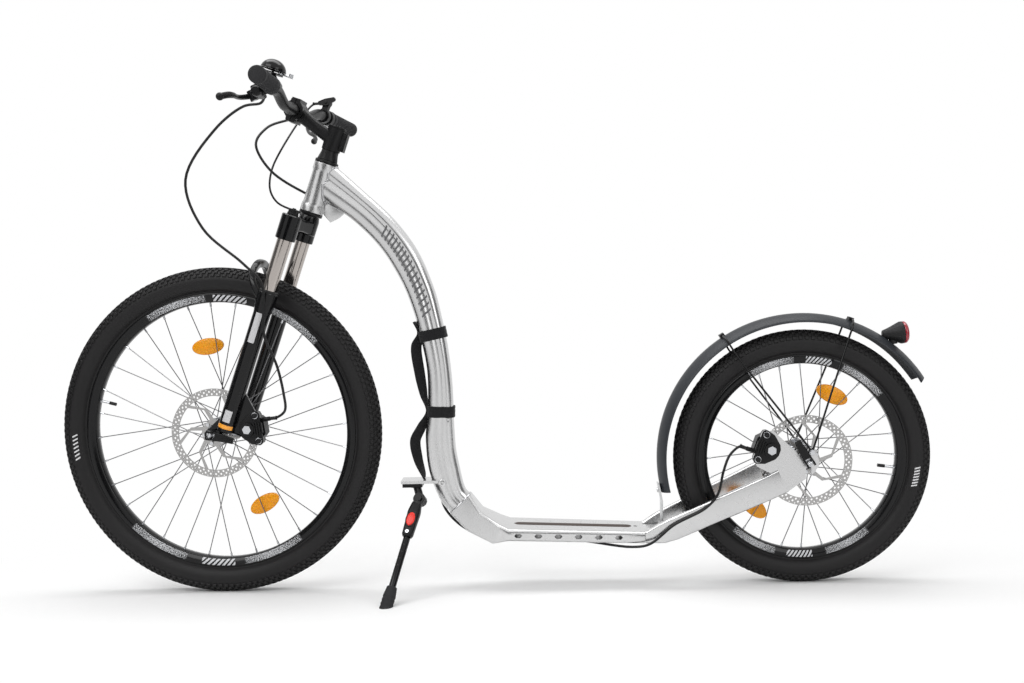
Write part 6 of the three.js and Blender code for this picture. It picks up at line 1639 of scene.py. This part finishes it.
@dataclass
class Mudguard:
    """The rear mudguard about the rear axle line of the frame."""

    radius: float = 288.0
    half_width: float = 31.0
    crown: float = 14.0
    wall: float = 2.4
    front: float = 193.5
    rear: float = 32.5
    light_angle: float = 50.4
    light_radius: float = 317.0
    light_tilt: float = 5.0
    lens_radius: float = 22.0
    clip_angles: tuple[float, float] = (122.0, 70.0)
    wire_radius: float = 2.0
    wire_face: float = 66.3
    eye_thick: float = 4.0
    eye_radius: float = 6.0
    eye_x: float = 6.0
    eye_z: float = 20.0
    wire_straight: float = 16.0
    light_tail: float = 9.0
    light_length: float = 40.0

    def build(self) -> None:
        """Makes the guard, its wires and the light."""
        self.guard()
        self.wires()
        self.light()

    def guard(self) -> None:
        """The curved guard with rolled edges and a shallow rib along its middle."""
        steps, across = 90, 16
        rings = []
        for k in range(steps + 1):
            angle = radians(blend_of(self.front, self.rear, k / steps))
            out = ray(angle)
            end = min(k, steps - k) / 3
            narrow = 1 - 0.12 * max(0.0, 1 - end) ** 2
            ring = []
            for layer, order in ((0.0, range(across + 1)), (self.wall, range(across, -1, -1))):
                for j in order:
                    share = blend_of(-1, 1, j / across)
                    rise = 0.8 * exp(-((share / 0.42) ** 4))
                    roll = 1.2 if abs(share) > 0.96 and layer else 0.0
                    height = self.radius - 0.8 + rise - self.crown * share ** 2 - layer + roll * 0.3
                    ring.append(out * height + Vector((0, self.half_width * share * narrow, 0)))
            rings.append(ring)
        shape = loft(rings)
        for degrees in self.clip_angles:
            body = block((9, 16, 10), Vector((self.radius + 2.1, 0, 0)))
            shape.add(body.moved(about_y(degrees)), 1)
        Piece.skin("rear_fender", "frame", PLACES.rear_axle(), "mudguard_plastic", PAINT.mudguard,
                   PAINT.moulded_black, smooth_angle=50).put(shape)

    def wires(self) -> None:
        """The two wire hoops over the guard, with their eyes and bolts by the axle."""
        shape = Shape()
        edge, face, radius, wide = self.radius - self.crown, self.wire_face, self.radius, self.half_width
        eye = Vector((self.eye_x, 0, self.eye_z))
        for degrees in self.clip_angles:
            out = ray(radians(degrees))
            aside = face + self.eye_thick / 2
            half = [eye + ACROSS * aside, eye + out * self.wire_straight + ACROSS * aside]
            half += [
                out * height + ACROSS * y
                for height, y in ((edge - 30, wide + 6.5), (edge, wide + 3.6),
                                  (radius - self.crown / 2, wide + 1.6), (radius + 1.4, wide - 8),
                                  (radius + 2.5, wide / 2))
            ]
            other = [Vector((p.x, -p.y, p.z)) for p in reversed(half)]
            shape.add(tube(spline(half + other, 5), self.wire_radius, 12))
        far = face + self.eye_thick
        for side in (-1, 1):
            for start, end, size, sides, slot in ((face, far, self.eye_radius, 32, 0),
                                                  (far, far + 4, 5.0, 6, 1), (far, far + 1, 5.6, 24, 1)):
                shape.add(rod(eye + ACROSS * side * start, eye + ACROSS * side * end, size, sides), slot)
        Piece.skin("fender_wires", "frame", PLACES.rear_axle(), "gloss_black_metal", PAINT.gloss_black,
                   PAINT.steel).put(shape)

    def light(self) -> None:
        """The tapered light body, its ring and the red lens."""
        start = ray(radians(self.light_angle)) * self.light_radius
        along = ray(radians(self.light_tilt))
        turn = Matrix.Translation(start) @ along.to_track_quat("Z", "Y").to_matrix().to_4x4()
        tail, front, slim, wide = -self.light_length, -0.3, self.light_tail, self.lens_radius
        body = [(0, tail), (slim - 3, tail), (slim - 0.8, tail + 0.9), (slim, tail + 3)]
        for k in range(1, 8):
            share = k / 8
            body.append((blend_of(slim, wide, share ** 1.15), blend_of(tail + 3, front - 5, share)))
        body += [(wide, front - 4.6), (wide, front - 0.6), (wide - 0.6, front), (0, front)]
        shape = turned(body, Axis.Z, 64).moved(turn)
        inward = start.normalized() * (self.radius + 0.4)
        middle = start - along * (self.light_length / 2)
        shape.add(tube([inward, inward.lerp(middle, 0.5), middle], 8.0, 24))
        place = PLACES.rear_axle()
        Piece.skin("rear_light_housing", "frame", place, "black_plastic", PAINT.moulded_black).put(shape)
        lens = [(0, 0), (wide - 0.4, 0), (wide, 0.6), (wide, 4), (wide * 0.97, 5.2), (wide * 0.86, 7.6),
                (wide * 0.6, 8.7), (0, 9)]
        lens = turned(lens, Axis.Z, 64).moved(turn)
        Piece.skin("rear_light_lens", "frame", place, "red_lens", PAINT.red_lens).put(lens)


# Hoses and cable


@dataclass
class Hoses:
    """The two brake hoses and the lockout cable, each along the route that its solid takes."""

    radius: float = 2.6
    cable_radius: float = 2.1
    lead: float = 12.0
    spout_ahead: float = 28.0
    spout_end: float = 192.3
    union_end: float = 120.3
    union_aside: float = 8.0
    union_up: float = 14.0
    ferrule: float = 13.0
    ferrule_radius: float = 3.5
    seal: float = 0.8
    front_route: tuple[tuple[float, float, float], ...] = (
        (-124, -112, 650), (-158, -103, 634), (-200, -98, 575), (-228, -94, 466), (-170, -90, 388),
        (-72, -88, 347), (-26, -88, 322), (8, -87, 229), (50, -85, 179), (76, -74, 130), (84, -54, 93),
    )
    rear_route: tuple[tuple[float, float, float], ...] = (
        (-1034, 78, 965), (-1062, 36, 946), (-1077, 4, 909), (-1052, 12, 858), (-986, 30, 811),
        (-925, 27.5, 785), (-866, 26, 748), (-818, 26, 707), (-784, 26, 655), (-752, 26, 590),
        (-735, 26, 520), (-722, 26, 440), (-721, 26, 350), (-729, 26, 270), (-732, 25, 215),
        (-724, 16, 164), (-694, 12, 127),
        (-650, 8, 102), (-618, 6, 92), (-585, 2, 97), (-450, -12, 94), (-345, -46, 88), (-310, -57, 96),
        (-262, -59, 134), (-200, -64, 168), (-176, -66, 196), (-164, -62, 240), (-150, -56, 271),
    )
    cable_route: tuple[tuple[float, float, float], ...] = (
        (-121, 72, 580), (-120, 52, 532), (-109, 47, 496), (-88, 49, 477), (-58, 55, 472), (-37.8, 57, 472),
    )
    cable_start: tuple[float, float, float] = (-19.0, 160.0, 23.0)
    cable_fall: tuple[float, float, float] = (-0.924, 0.0, -0.382)

    def build(self) -> None:
        """Makes both hoses and the cable."""
        steering, bike = PLACES.steering(), PLACES.bike()
        front = [*self.spout(Side.LEFT, steering), *map(Vector, self.front_route),
                 *self.union(PLACES.front_axle(), 27, 38, steering)]
        rear = [*self.spout(Side.RIGHT, bike), *map(Vector, self.rear_route),
                *self.union(PLACES.rear_axle(), 160, 45, bike)]
        self.line("front_brake_hose", "steering", steering, front, self.radius)
        self.line("rear_brake_hose", "frame", bike, rear, self.radius)
        change = steering.inverted() @ PLACES.grip(Side.RIGHT)
        start = Vector((self.cable_start[0], -self.cable_start[1], self.cable_start[2]))
        leads = [carried(change, start + Vector(self.cable_fall) * ahead) for ahead in (0.3, self.lead)]
        cable = [*leads, *map(Vector, self.cable_route)]
        self.line("lockout_cable", "steering", steering, cable, self.cable_radius)

    def spout(self, side: Side, target: Matrix) -> list[Vector]:
        """The first two points of a hose, at the end of a brake lever's body."""
        change = target.inverted() @ PLACES.lever(side)
        ends = (self.spout_end, self.spout_end + self.lead)
        return [carried(change, Vector((-self.spout_ahead, -side.value * inward, 0))) for inward in ends]

    def union(self, axle: Matrix, degrees: float, disc_plane: float, target: Matrix) -> list[Vector]:
        """The last two points of a hose, before the union of the caliper at an angle about its axle."""
        change = target.inverted() @ axle @ about_y(degrees)
        return [carried(change, Vector((radius, -disc_plane - self.union_aside, self.union_up)))
                for radius in (self.union_end + self.lead, self.union_end)]

    def line(self, node: str, body: str, place: Matrix, points: list[Vector], radius: float) -> None:
        """One hose with a ferrule and its lip at each end.

        Args:
            node: The solid that it stands for.
            body: The body that it rides on.
            place: The axes that its points are in.
            points: The points that it passes.
            radius: Its radius.
        """
        path = spline(points, 8)
        shape = tube(path, radius, 14)
        grown = self.ferrule_radius * radius / self.radius
        for end, after in ((path[0], path[1]), (path[-1], path[-2])):
            along = (after - end).normalized()
            shape.add(rod(end, end + along * self.ferrule, grown, 16), 1)
            lip = end + along * self.ferrule
            shape.add(rod(lip - along * 2, lip, grown + self.seal, 16), 1)
        Piece.skin(node, body, place, "black_rubber", PAINT.hose, PAINT.moulded_black).put(shape)


# Brake calipers' mounting ears and outer covers


def caliper_ears(at: float, half: float, radius: float, step: int) -> Outline:
    """The two rounded ears of a caliper's mount.

    Args:
        at: Their distance from the axle.
        half: Half the distance between them.
        radius: Radius of their ends.
        step: Step of their arcs, in degrees.

    Returns:
        Their outline, seen along the axle.
    """
    outline = []
    for end, start in ((-1, -90), (1, 0)):
        for degrees in range(start, start + 91, step):
            u, v = polar(radius, radians(degrees))
            outline.append((at + u, end * half + v))
    return outline


@dataclass
class CaliperCover:
    """What is seen on the outer face of a caliper mount: adapter, bolts, piston cap and union."""

    prefix: str
    body: str
    place: Matrix
    degrees: float
    face: float
    ear_at: float = 96.0
    ear_half: float = 25.5
    ear_radius: float = 9.0
    thick: float = 4.0
    piston_at: float = 76.0

    def build(self) -> None:
        """Makes the cover with its fastenings."""
        near, far, at, piston = self.face, self.face - self.thick, self.ear_at, self.piston_at
        outline = caliper_ears(at, self.ear_half, self.ear_radius, 10)
        outline += [(at - 16, self.ear_half + 4), (piston - 12, 15), (piston - 16, 6), (piston - 16, -6),
                    (piston - 12, -15), (at - 16, -self.ear_half - 4)]
        shape = plate(outline, far, near, edge=0.9)
        shape.add(self.boss(piston + 1, 0, 14.0, far + 0.2, 5.0, 40))
        shape.add(self.boss(piston + 1, 0, 9.0, far - 4.6, 1.6, 6), 1)
        for up in (-self.ear_half, self.ear_half):
            shape.add(self.boss(at, up, 6.4, far + 0.1, 1.0, 28), 1)
            shape.add(self.boss(at, up, 5.0, far - 0.8, 4.2, 28))
            shape.add(self.boss(at, up, 2.4, far - 4.9, 0.4, 6), 2)
        for k in range(5):
            shape.add(block((2.4, 3.2, 26 - 3 * abs(k - 2)), Vector((at - 9 + 5 * k, far - 1.4, 0))))
        finishes = (PAINT.satin_black, PAINT.steel, PAINT.moulded_black)
        Piece(f"{self.prefix}_caliper_cover", self.body, self.place, finishes, (), "satin_black_metal",
              bevel=0.3).put(shape.moved(about_y(self.degrees)))

    def boss(self, along: float, up: float, radius: float, start: float, tall: float, sides: int) -> Shape:
        """A round or six-sided boss that stands out from the cover."""
        base = Vector((along, start, up))
        return rod(base, base - ACROSS * tall, radius, sides)


# Side stand


@dataclass
class SideStand:
    """The telescopic side stand, along its own line from the pivot's eye to the ground."""

    boss_radius: float = 12.0
    eye_thick: float = 9.0
    screw_room: float = 4.4
    lever_start: float = 9.0
    lever_length: float = 84.0
    lever_wide: float = 25.0
    lever_thick: float = 20.0
    lever_lift: float = 5.5
    tube_lift: float = 4.0
    tube_radius: float = 7.0
    tube_start: float = 34.0
    tube_short: float = 12.0
    button_at: float = 50.0
    button_long: float = 14.0
    button_wide: float = 8.5
    button_low: float = 13.3
    button_high: float = 17.5
    foot_radius: float = 12.5
    foot_top: float = 10.0
    foot_length: float = 40.0

    def __post_init__(self) -> None:
        """Takes the stand's axes and reach from the places."""
        self.place, self.reach = PLACES.stand_line()

    def build(self) -> None:
        """Makes the leg's two parts, the button and the rubber foot."""
        self.upper()
        self.button()
        self.lower()
        self.foot()

    def lever_half(self, share: float) -> tuple[float, float]:
        """Half thickness and half width of the upper part at a share of its length."""
        swell = blend_of(0.74, 1.0, share / 0.3) if share < 0.3 else blend_of(1.0, 0.86, (share - 0.3) / 0.7)
        return self.lever_thick / 2 * swell, self.lever_wide / 2 * swell

    def upper(self) -> None:
        """The cast upper part with its eye, the button's frame and a clamp screw."""
        steps = 18
        points = [Vector((blend_of(self.lever_start, self.lever_length, k / steps), 0, self.lever_lift))
                  for k in range(steps + 1)]
        outlines = []
        for k in range(steps + 1):
            deep, wide = self.lever_half(k / steps)
            end = 1.6 * max(0.0, 1 - min(k, steps - k))
            outlines.append(rounded_box(deep - end, wide - end, 6.0 - end, 5))
        shape = loft(rings_along(points, outlines, ACROSS))
        eye = round_eye(self.screw_room, self.boss_radius, self.eye_thick / 2)
        shape.add(turned(eye, Axis.Z, 48).moved(Matrix.Rotation(self.eye_turn(), 4, "Y")))
        top = self.lever_lift + self.lever_thick / 2
        long = self.button_long
        rim = [(long + 2.6, -2), (long + 2.6, 0.5), (long + 2, 1.0), (long + 0.5, 1.0), (long + 0.5, -2)]
        squeeze = Matrix.Diagonal((1, (self.button_wide + 1) / (self.button_long + 1), 1, 1))
        shape.add(turned(rim, Axis.Z, 48).moved(Matrix.Translation((self.button_at, 0, top)) @ squeeze))
        screw = Vector((self.lever_length - 8, 0, top - 1))
        shape.add(rod(screw, screw + UP * 2.0, 3.4, 24), 1)
        shape.add(rod(screw + UP * 1.9, screw + UP * 2.3, 1.8, 6), 2)
        Piece.skin("stand_leg_upper", "stand_upper", self.place, "satin_black_metal", PAINT.satin_black,
                   PAINT.steel, PAINT.moulded_black).put(shape)

    def eye_turn(self) -> float:
        """The angle between the eye's axis and the leg's own Z, in radians."""
        along = self.place.to_3x3().col[0].normalized()
        return asin((PLACES.bike().to_3x3() @ PLACES.stand_axis()).normalized().dot(along))

    def button(self) -> None:
        """The oval red release button, slightly domed."""
        rings = []
        for up, inset in ((self.button_low, 0), (self.button_high - 1.2, 0), (self.button_high - 0.4, 0.7),
                          (self.button_high, 2.6)):
            rings.append([Vector((self.button_at + u, v, up))
                          for u, v in ellipse(self.button_long - inset, self.button_wide - inset, 48)])
        Piece.skin("stand_button", "stand_release", self.place, "red_plastic",
                   PAINT.red_plastic).put(loft(rings))

    def lower(self) -> None:
        """The sliding tube with its row of click marks."""
        end = self.reach - self.tube_short
        profile = [(0, self.tube_start), (self.tube_radius - 0.6, self.tube_start),
                   (self.tube_radius, self.tube_start + 0.8), (self.tube_radius, end), (0, end)]
        shape = self.along_leg(profile, 40)
        for k in range(4):
            spot = Vector((self.lever_length + 18 + 14 * k, 0, self.tube_lift + self.tube_radius - 0.3))
            shape.add(rod(spot, spot + UP * 0.6, 1.8, 16), 1)
        Piece.skin("stand_leg_lower", "stand_lower", self.place, "satin_black_metal", PAINT.gloss_black,
                   PAINT.moulded_black).put(shape)

    def along_leg(self, profile: Outline, sides: int) -> Shape:
        """A body turned about the sliding tube's axis."""
        lift = Matrix.Translation((0, 0, self.tube_lift))
        return turned(profile, Axis.Z, sides).moved(lift @ about_y(-90))

    def foot(self) -> None:
        """The rubber foot, cut level where it stands on the ground."""
        start, middle = self.reach - self.foot_length, self.reach - self.foot_length / 2
        end = self.reach + self.foot_radius
        radius, bore = self.foot_radius, self.tube_radius + 0.3
        profile = [(bore, start), (self.foot_top - 1, start), (self.foot_top, start + 1)]
        profile += [(blend_of(self.foot_top, radius, k / 8), blend_of(start + 1, middle, k / 8))
                    for k in range(1, 9)]
        for k in range(1, 6):
            groove = 0.7 if k % 2 else 0.0
            profile += [(radius - groove, middle + 4 * k - 2), (radius - groove, middle + 4 * k - 0.8)]
        profile += [(radius, end), (0, end), (0, start + 20), (bore, start + 20)]
        shape = self.along_leg(profile, 48)
        into = self.place.inverted()
        up = into.to_3x3() @ UP
        origin = into.translation / MM
        for k, point in enumerate(shape.points):
            under = (point - origin).dot(up)
            if under < 0:
                shape.points[k] = point - Vector((under / up.x, 0, 0))
        Piece.skin("stand_foot", "stand_lower", self.place, "black_rubber", PAINT.grip_rubber).put(shape)


# Deck trim and weld beads


def bead(ring: Ring, radius: float, ripples: int) -> Shape:
    """A rippled weld bead along a closed line.

    Args:
        ring: The line's points.
        radius: The bead's radius.
        ripples: How many ripples it has.

    Returns:
        The bead.
    """
    rings = []
    count = len(ring)
    for k, point in enumerate(ring):
        tangent = (ring[(k + 1) % count] - ring[k - 1]).normalized()
        over = tangent.orthogonal().normalized()
        level = tangent.cross(over)
        swell = radius * (1 + 0.16 * sin(2 * pi * ripples * k / count))
        rings.append([point + over * u + level * v for u, v in ellipse(swell, swell, 8)])
    return loft(rings, looped=True)


@dataclass
class DeckTrim:
    """The deck's slot as a flat strip of painted shade on the deck top, the raised grip dimples beside it and
    the weld beads of the frame.
    """

    tube: MainTube
    front_x: float = -590.0
    rear_x: float = -318.0
    centre_z: float = 117.0
    drop: float = 11.5
    height: float = 24.5
    slot_start: float = 12.0
    slot_half: float = 10.0
    slot_proud: float = 0.35
    dimple_pitch: float = 27.0
    dimple_radius: float = 4.6
    dimple_proud: float = 1.3
    dimple_aside: float = 26.0

    def top(self, x: float, y: float, proud: float) -> Vector:
        """A point over the deck's top."""
        share = (x - self.front_x) / (self.rear_x - self.front_x)
        return Vector((x, y, self.centre_z - self.drop * share + self.height / 2 + proud))

    def build(self) -> None:
        """Makes the slot's strip of painted shade, the dimples and the beads."""
        start, end = self.front_x + self.slot_start, self.rear_x - self.slot_start - 12
        middle = (start + end) / 2
        half, face = self.slot_half, self.slot_proud
        outline = rounded_box((end - start) / 2, half, half - 0.1, 8)
        # Painted shade: the slot is not cut; a dark strip lies just proud of the deck top.
        rings = []
        for proud, inset in ((-1.0, 0), (face - 0.1, 0), (face, 0.5)):
            rings.append([self.top(middle + u * (1 - inset / abs(middle)), v * (1 - inset / half), proud)
                          for u, v in outline])
        shape = loft(rings)
        count = int((end - start) / self.dimple_pitch)
        for k in range(count):
            for side in (-1, 1):
                x = start + (k + 0.5) * (end - start) / count
                rings = []
                for share in (1, 0.8, 0.45, 0.1):
                    up = self.dimple_proud * (1 - share ** 2)
                    size = self.dimple_radius * share
                    rings.append([self.top(x + u, side * self.dimple_aside + v, up)
                                  for u, v in ellipse(size, size, 16)])
                shape.add(loft(rings), 1)
        Piece("deck_slot_and_dimples", "frame", PLACES.bike(), (PAINT.deck_dark, PAINT.aluminium), (),
              "bare_aluminium").put(shape)
        line, depths = self.tube.stations()
        beads = Shape()
        ring = rings_along(line[-3:], [self.tube.section(depths[-1], 0.4)] * 3, ACROSS)[2]
        beads.add(bead(ring, 2.0, 40))
        beads.add(bead(self.head_joint(line, depths), 2.2, 44))
        Piece("frame_weld_beads", "frame", PLACES.bike(), (PAINT.weld,), (), "bare_aluminium",
              smooth_angle=70).put(beads)

    def head_joint(self, line: list[Vector], depths: list[float]) -> Ring:
        """Where the main tube's section meets the head tube."""
        into = (PLACES.bike().inverted() @ PLACES.head())
        axis = (into.to_3x3() @ UP).normalized()
        foot = into.translation / MM
        along = (line[1] - line[0]).normalized()
        ring = []
        for u, v in self.tube.section(depths[0], 0.0):
            over = ACROSS.cross(along).normalized()
            point = line[0] + over * u + Vector((0, v, 0))
            step = 0.0
            while step < 80:
                here = point + along * step - foot
                if (here - axis * here.dot(axis)).length >= 23.4:
                    break
                step += 0.5
            ring.append(point + along * step)
        return ring


# Stage: floor, light and camera


@dataclass
class Stage:
    """A pale floor and backdrop, soft studio light and the photograph's camera."""

    camera_place: tuple[float, float, float] = (0.1347, -2.0624, 0.4734)
    yaw: float = 2.273
    pitch: float = 0.687
    roll: float = -1.415
    lens: float = 36.71
    floor_size: float = 24.0
    shadow_size: tuple[float, float] = (1.5, 0.75)
    world_light: float = 0.62
    card_corners: tuple[tuple[str, float, tuple[tuple[float, float, float], ...]], ...] = (
        ("card_behind_camera", 0.05,
         ((-1.3, -3.0, 0.0), (1.3, -3.0, 0.0), (1.3, -3.0, 1.1), (-1.3, -3.0, 1.1))),
        ("card_left", 0.16, ((-2.3, -1.6, 0.0), (-2.0, 0.5, 0.0), (-2.0, 0.5, 1.7), (-2.3, -1.6, 1.7))),
        ("card_right", 0.16, ((2.3, -1.6, 0.0), (2.0, 0.5, 0.0), (2.0, 0.5, 1.7), (2.3, -1.6, 1.7))),
    )
    lamp_rows: tuple[tuple[str, tuple[float, ...], tuple[float, ...], tuple[float, ...], float], ...] = (
        ("key", (-1.6, -2.2, 2.6), (0, 0, 0.4), (2.4, 1.6), 42.0),
        ("fill", (2.2, -2.0, 1.4), (0.2, 0, 0.4), (1.6, 1.6), 16.0),
        ("top", (0.0, 0.2, 3.0), (0, 0, 0), (3.0, 1.2), 42.0),
    )

    def build(self) -> None:
        """Makes the floor, the cards, the world, the lamps and the camera."""
        self.floor()
        self.cards()
        self.world()
        self.lamps()
        self.camera()
        bpy.context.scene.view_settings.view_transform = "Standard"

    def floor(self) -> None:
        """A wide floor that keeps the shadow near the bike and turns into plain white away from it."""
        half = self.floor_size / 2
        nodes = Nodes(bpy.data.materials.new("floor_white"))
        place = nodes.place()
        grain = nodes.noise(place, 60.0, 4.0)
        nodes.set(Base_Color=nodes.mixed(grain, (0.93, 0.93, 0.93), (0.96, 0.96, 0.96)),
                  Roughness=nodes.spread(grain, 0.6, 0.75), Specular_IOR_Level=0.1)
        split = nodes.node("ShaderNodeSeparateXYZ", {0: place}).outputs
        squares = [
            nodes.math("POWER", nodes.math("ABSOLUTE", nodes.math("DIVIDE", split[axis], size)), 2.0)
            for axis, size in zip("XY", self.shadow_size)
        ]
        plain = nodes.cutoff(nodes.math("SQRT", nodes.math("ADD", *squares)), 0.45, 1.0)
        white = nodes.node("ShaderNodeEmission", {}).outputs[0]
        share = nodes.math("MULTIPLY", plain, nodes.seen())
        mix = nodes.node("ShaderNodeMixShader", {"Fac": share, 1: nodes.shader.outputs[0], 2: white})
        out = next(n for n in nodes.tree.nodes if n.type == "OUTPUT_MATERIAL")
        nodes.feed(out.inputs["Surface"], mix.outputs[0])
        corners = ((-half, -half, 0), (half, -half, 0), (half, half, 0), (-half, half, 0))
        self.put_flat("floor", corners, nodes.owner)

    def put_flat(self, name: str, corners: tuple[tuple[float, float, float], ...],
                 material: bpy.types.Material) -> bpy.types.Object:
        """Puts a flat piece of the stage in the scene.

        Args:
            name: Its name.
            corners: Its corners in metres.
            material: Its material.

        Returns:
            The piece.
        """
        mesh = bpy.data.meshes.new(name)
        mesh.from_pydata(corners, [], [(0, 1, 2, 3)])
        mesh.materials.append(material)
        piece = linked(name, mesh)
        return piece

    def cards(self) -> None:
        """Grey cards out of view, which give metal and gloss paint their darker streaks."""
        for name, grey, corners in self.card_corners:
            nodes = Nodes(bpy.data.materials.new(f"{name}_grey"))
            grain = nodes.noise(nodes.place(), 8.0, 3.0)
            shade = nodes.mixed(grain, (grey, grey, grey), (grey * 1.2, grey * 1.2, grey * 1.2))
            nodes.set(Base_Color=shade, Roughness=0.9, Specular_IOR_Level=0.1)
            self.put_flat(name, corners, nodes.owner).visible_camera = False

    def world(self) -> None:
        """White where the camera, a reflection or a refraction looks, softer as a light."""
        nodes = Nodes(bpy.data.worlds.new("studio"))
        bpy.context.scene.world = nodes.owner
        nodes.tree.nodes.clear()
        soft, plain = (nodes.node("ShaderNodeBackground", {"Color": (1, 1, 1), "Strength": strength})
                       for strength in (self.world_light, 1.0))
        sides = {1: soft.outputs[0], 2: plain.outputs[0]}
        mix = nodes.node("ShaderNodeMixShader", {"Fac": nodes.seen(), **sides})
        nodes.node("ShaderNodeOutputWorld", {"Surface": mix.outputs[0]})

    def lamps(self) -> None:
        """A large soft key from the front left, a fill and a strip above."""
        for name, place, aim, size, power in self.lamp_rows:
            lamp = bpy.data.lights.new(name, "AREA")
            lamp.shape = "RECTANGLE"
            lamp.size, lamp.size_y = size
            lamp.energy = power
            holder = linked(name, lamp)
            holder.location = place
            toward = Vector(aim) - Vector(place)
            holder.rotation_euler = toward.to_track_quat("-Z", "Y").to_euler()

    def camera(self) -> None:
        """The camera at the photograph's viewing angle."""
        data = bpy.data.cameras.new("camera")
        data.lens = self.lens
        data.sensor_width = 36.0
        data.clip_start = 0.01
        camera = linked("camera", data)
        level = Matrix.Rotation(radians(90 + self.pitch), 4, "X")
        turn = Matrix.Rotation(radians(self.yaw), 4, "Z")
        lean = Matrix.Rotation(radians(self.roll), 4, "Z")
        camera.matrix_world = Matrix.Translation(self.camera_place) @ turn @ level @ lean
        bpy.context.scene.camera = camera


# What stays as the CAD frame made it, with its finish


DRESSED: tuple[tuple[Finish, float, tuple[str, ...]], ...] = (
    (PAINT.aluminium, 0.8, ("head_tube", "deck", "stay_left", "stay_right")),
    (PAINT.cast_aluminium, 0.5, ("fender_bracket",)),
    (PAINT.satin_black, 0.6, (
        "headset_upper", "headset_lower", "headset_spacer", "stem", "stem_faceplate", "stem_cap", "bell_base",
        "lockout_clamp", "lockout_lever", "front_caliper", "rear_caliper", "qr_lever_front", "qr_lever_rear",
        "stand_bracket", "preload_knob", "lockout_dial",
    )),
    (PAINT.steel, 0.4, ("front_axle", "rear_axle", "bell_striker", "fork_spring")),
)


def build_wheels() -> None:
    """Makes both wheels."""
    Wheel("front", PLACES.front_axle(), 333, 27, 16, 100, 24, 33, 38, (117, 319), 174, 185.6,
          motif_arcs=(54, 107.5, 239, 292.5), own_turn=-20.0).build()
    Wheel("rear", PLACES.rear_axle(), 255, 25.5, 14, 120, 30, 38, 45, (63, 226), 138, 352,
          motif_arcs=(52, 108, 240, 297), bar_arcs=(80, 268), mark_angle=350.0).build()


def main() -> None:
    """Builds the bike's looks in order and hands the scene over."""
    logging.basicConfig(level=logging.INFO, format="%(message)s")
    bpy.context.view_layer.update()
    tube = MainTube()
    build_wheels()
    tube.build()
    CarryStrap(tube).build()
    Fork().build()
    Cockpit().build()
    for side in Side:
        BrakeControl(side).build()
    Mudguard().build()
    Hoses().build()
    CaliperCover("front", "lowers", PLACES.front_axle(), 27, -61.0).build()
    CaliperCover("rear", "frame", PLACES.rear_axle(), 160, -68.0).build()
    SideStand().build()
    DeckTrim(tube).build()
    for finish, bevel, nodes in DRESSED:
        for node in nodes:
            dress(node, finish, bevel)
    Stage().build()


if __name__ == "__main__":
    main()
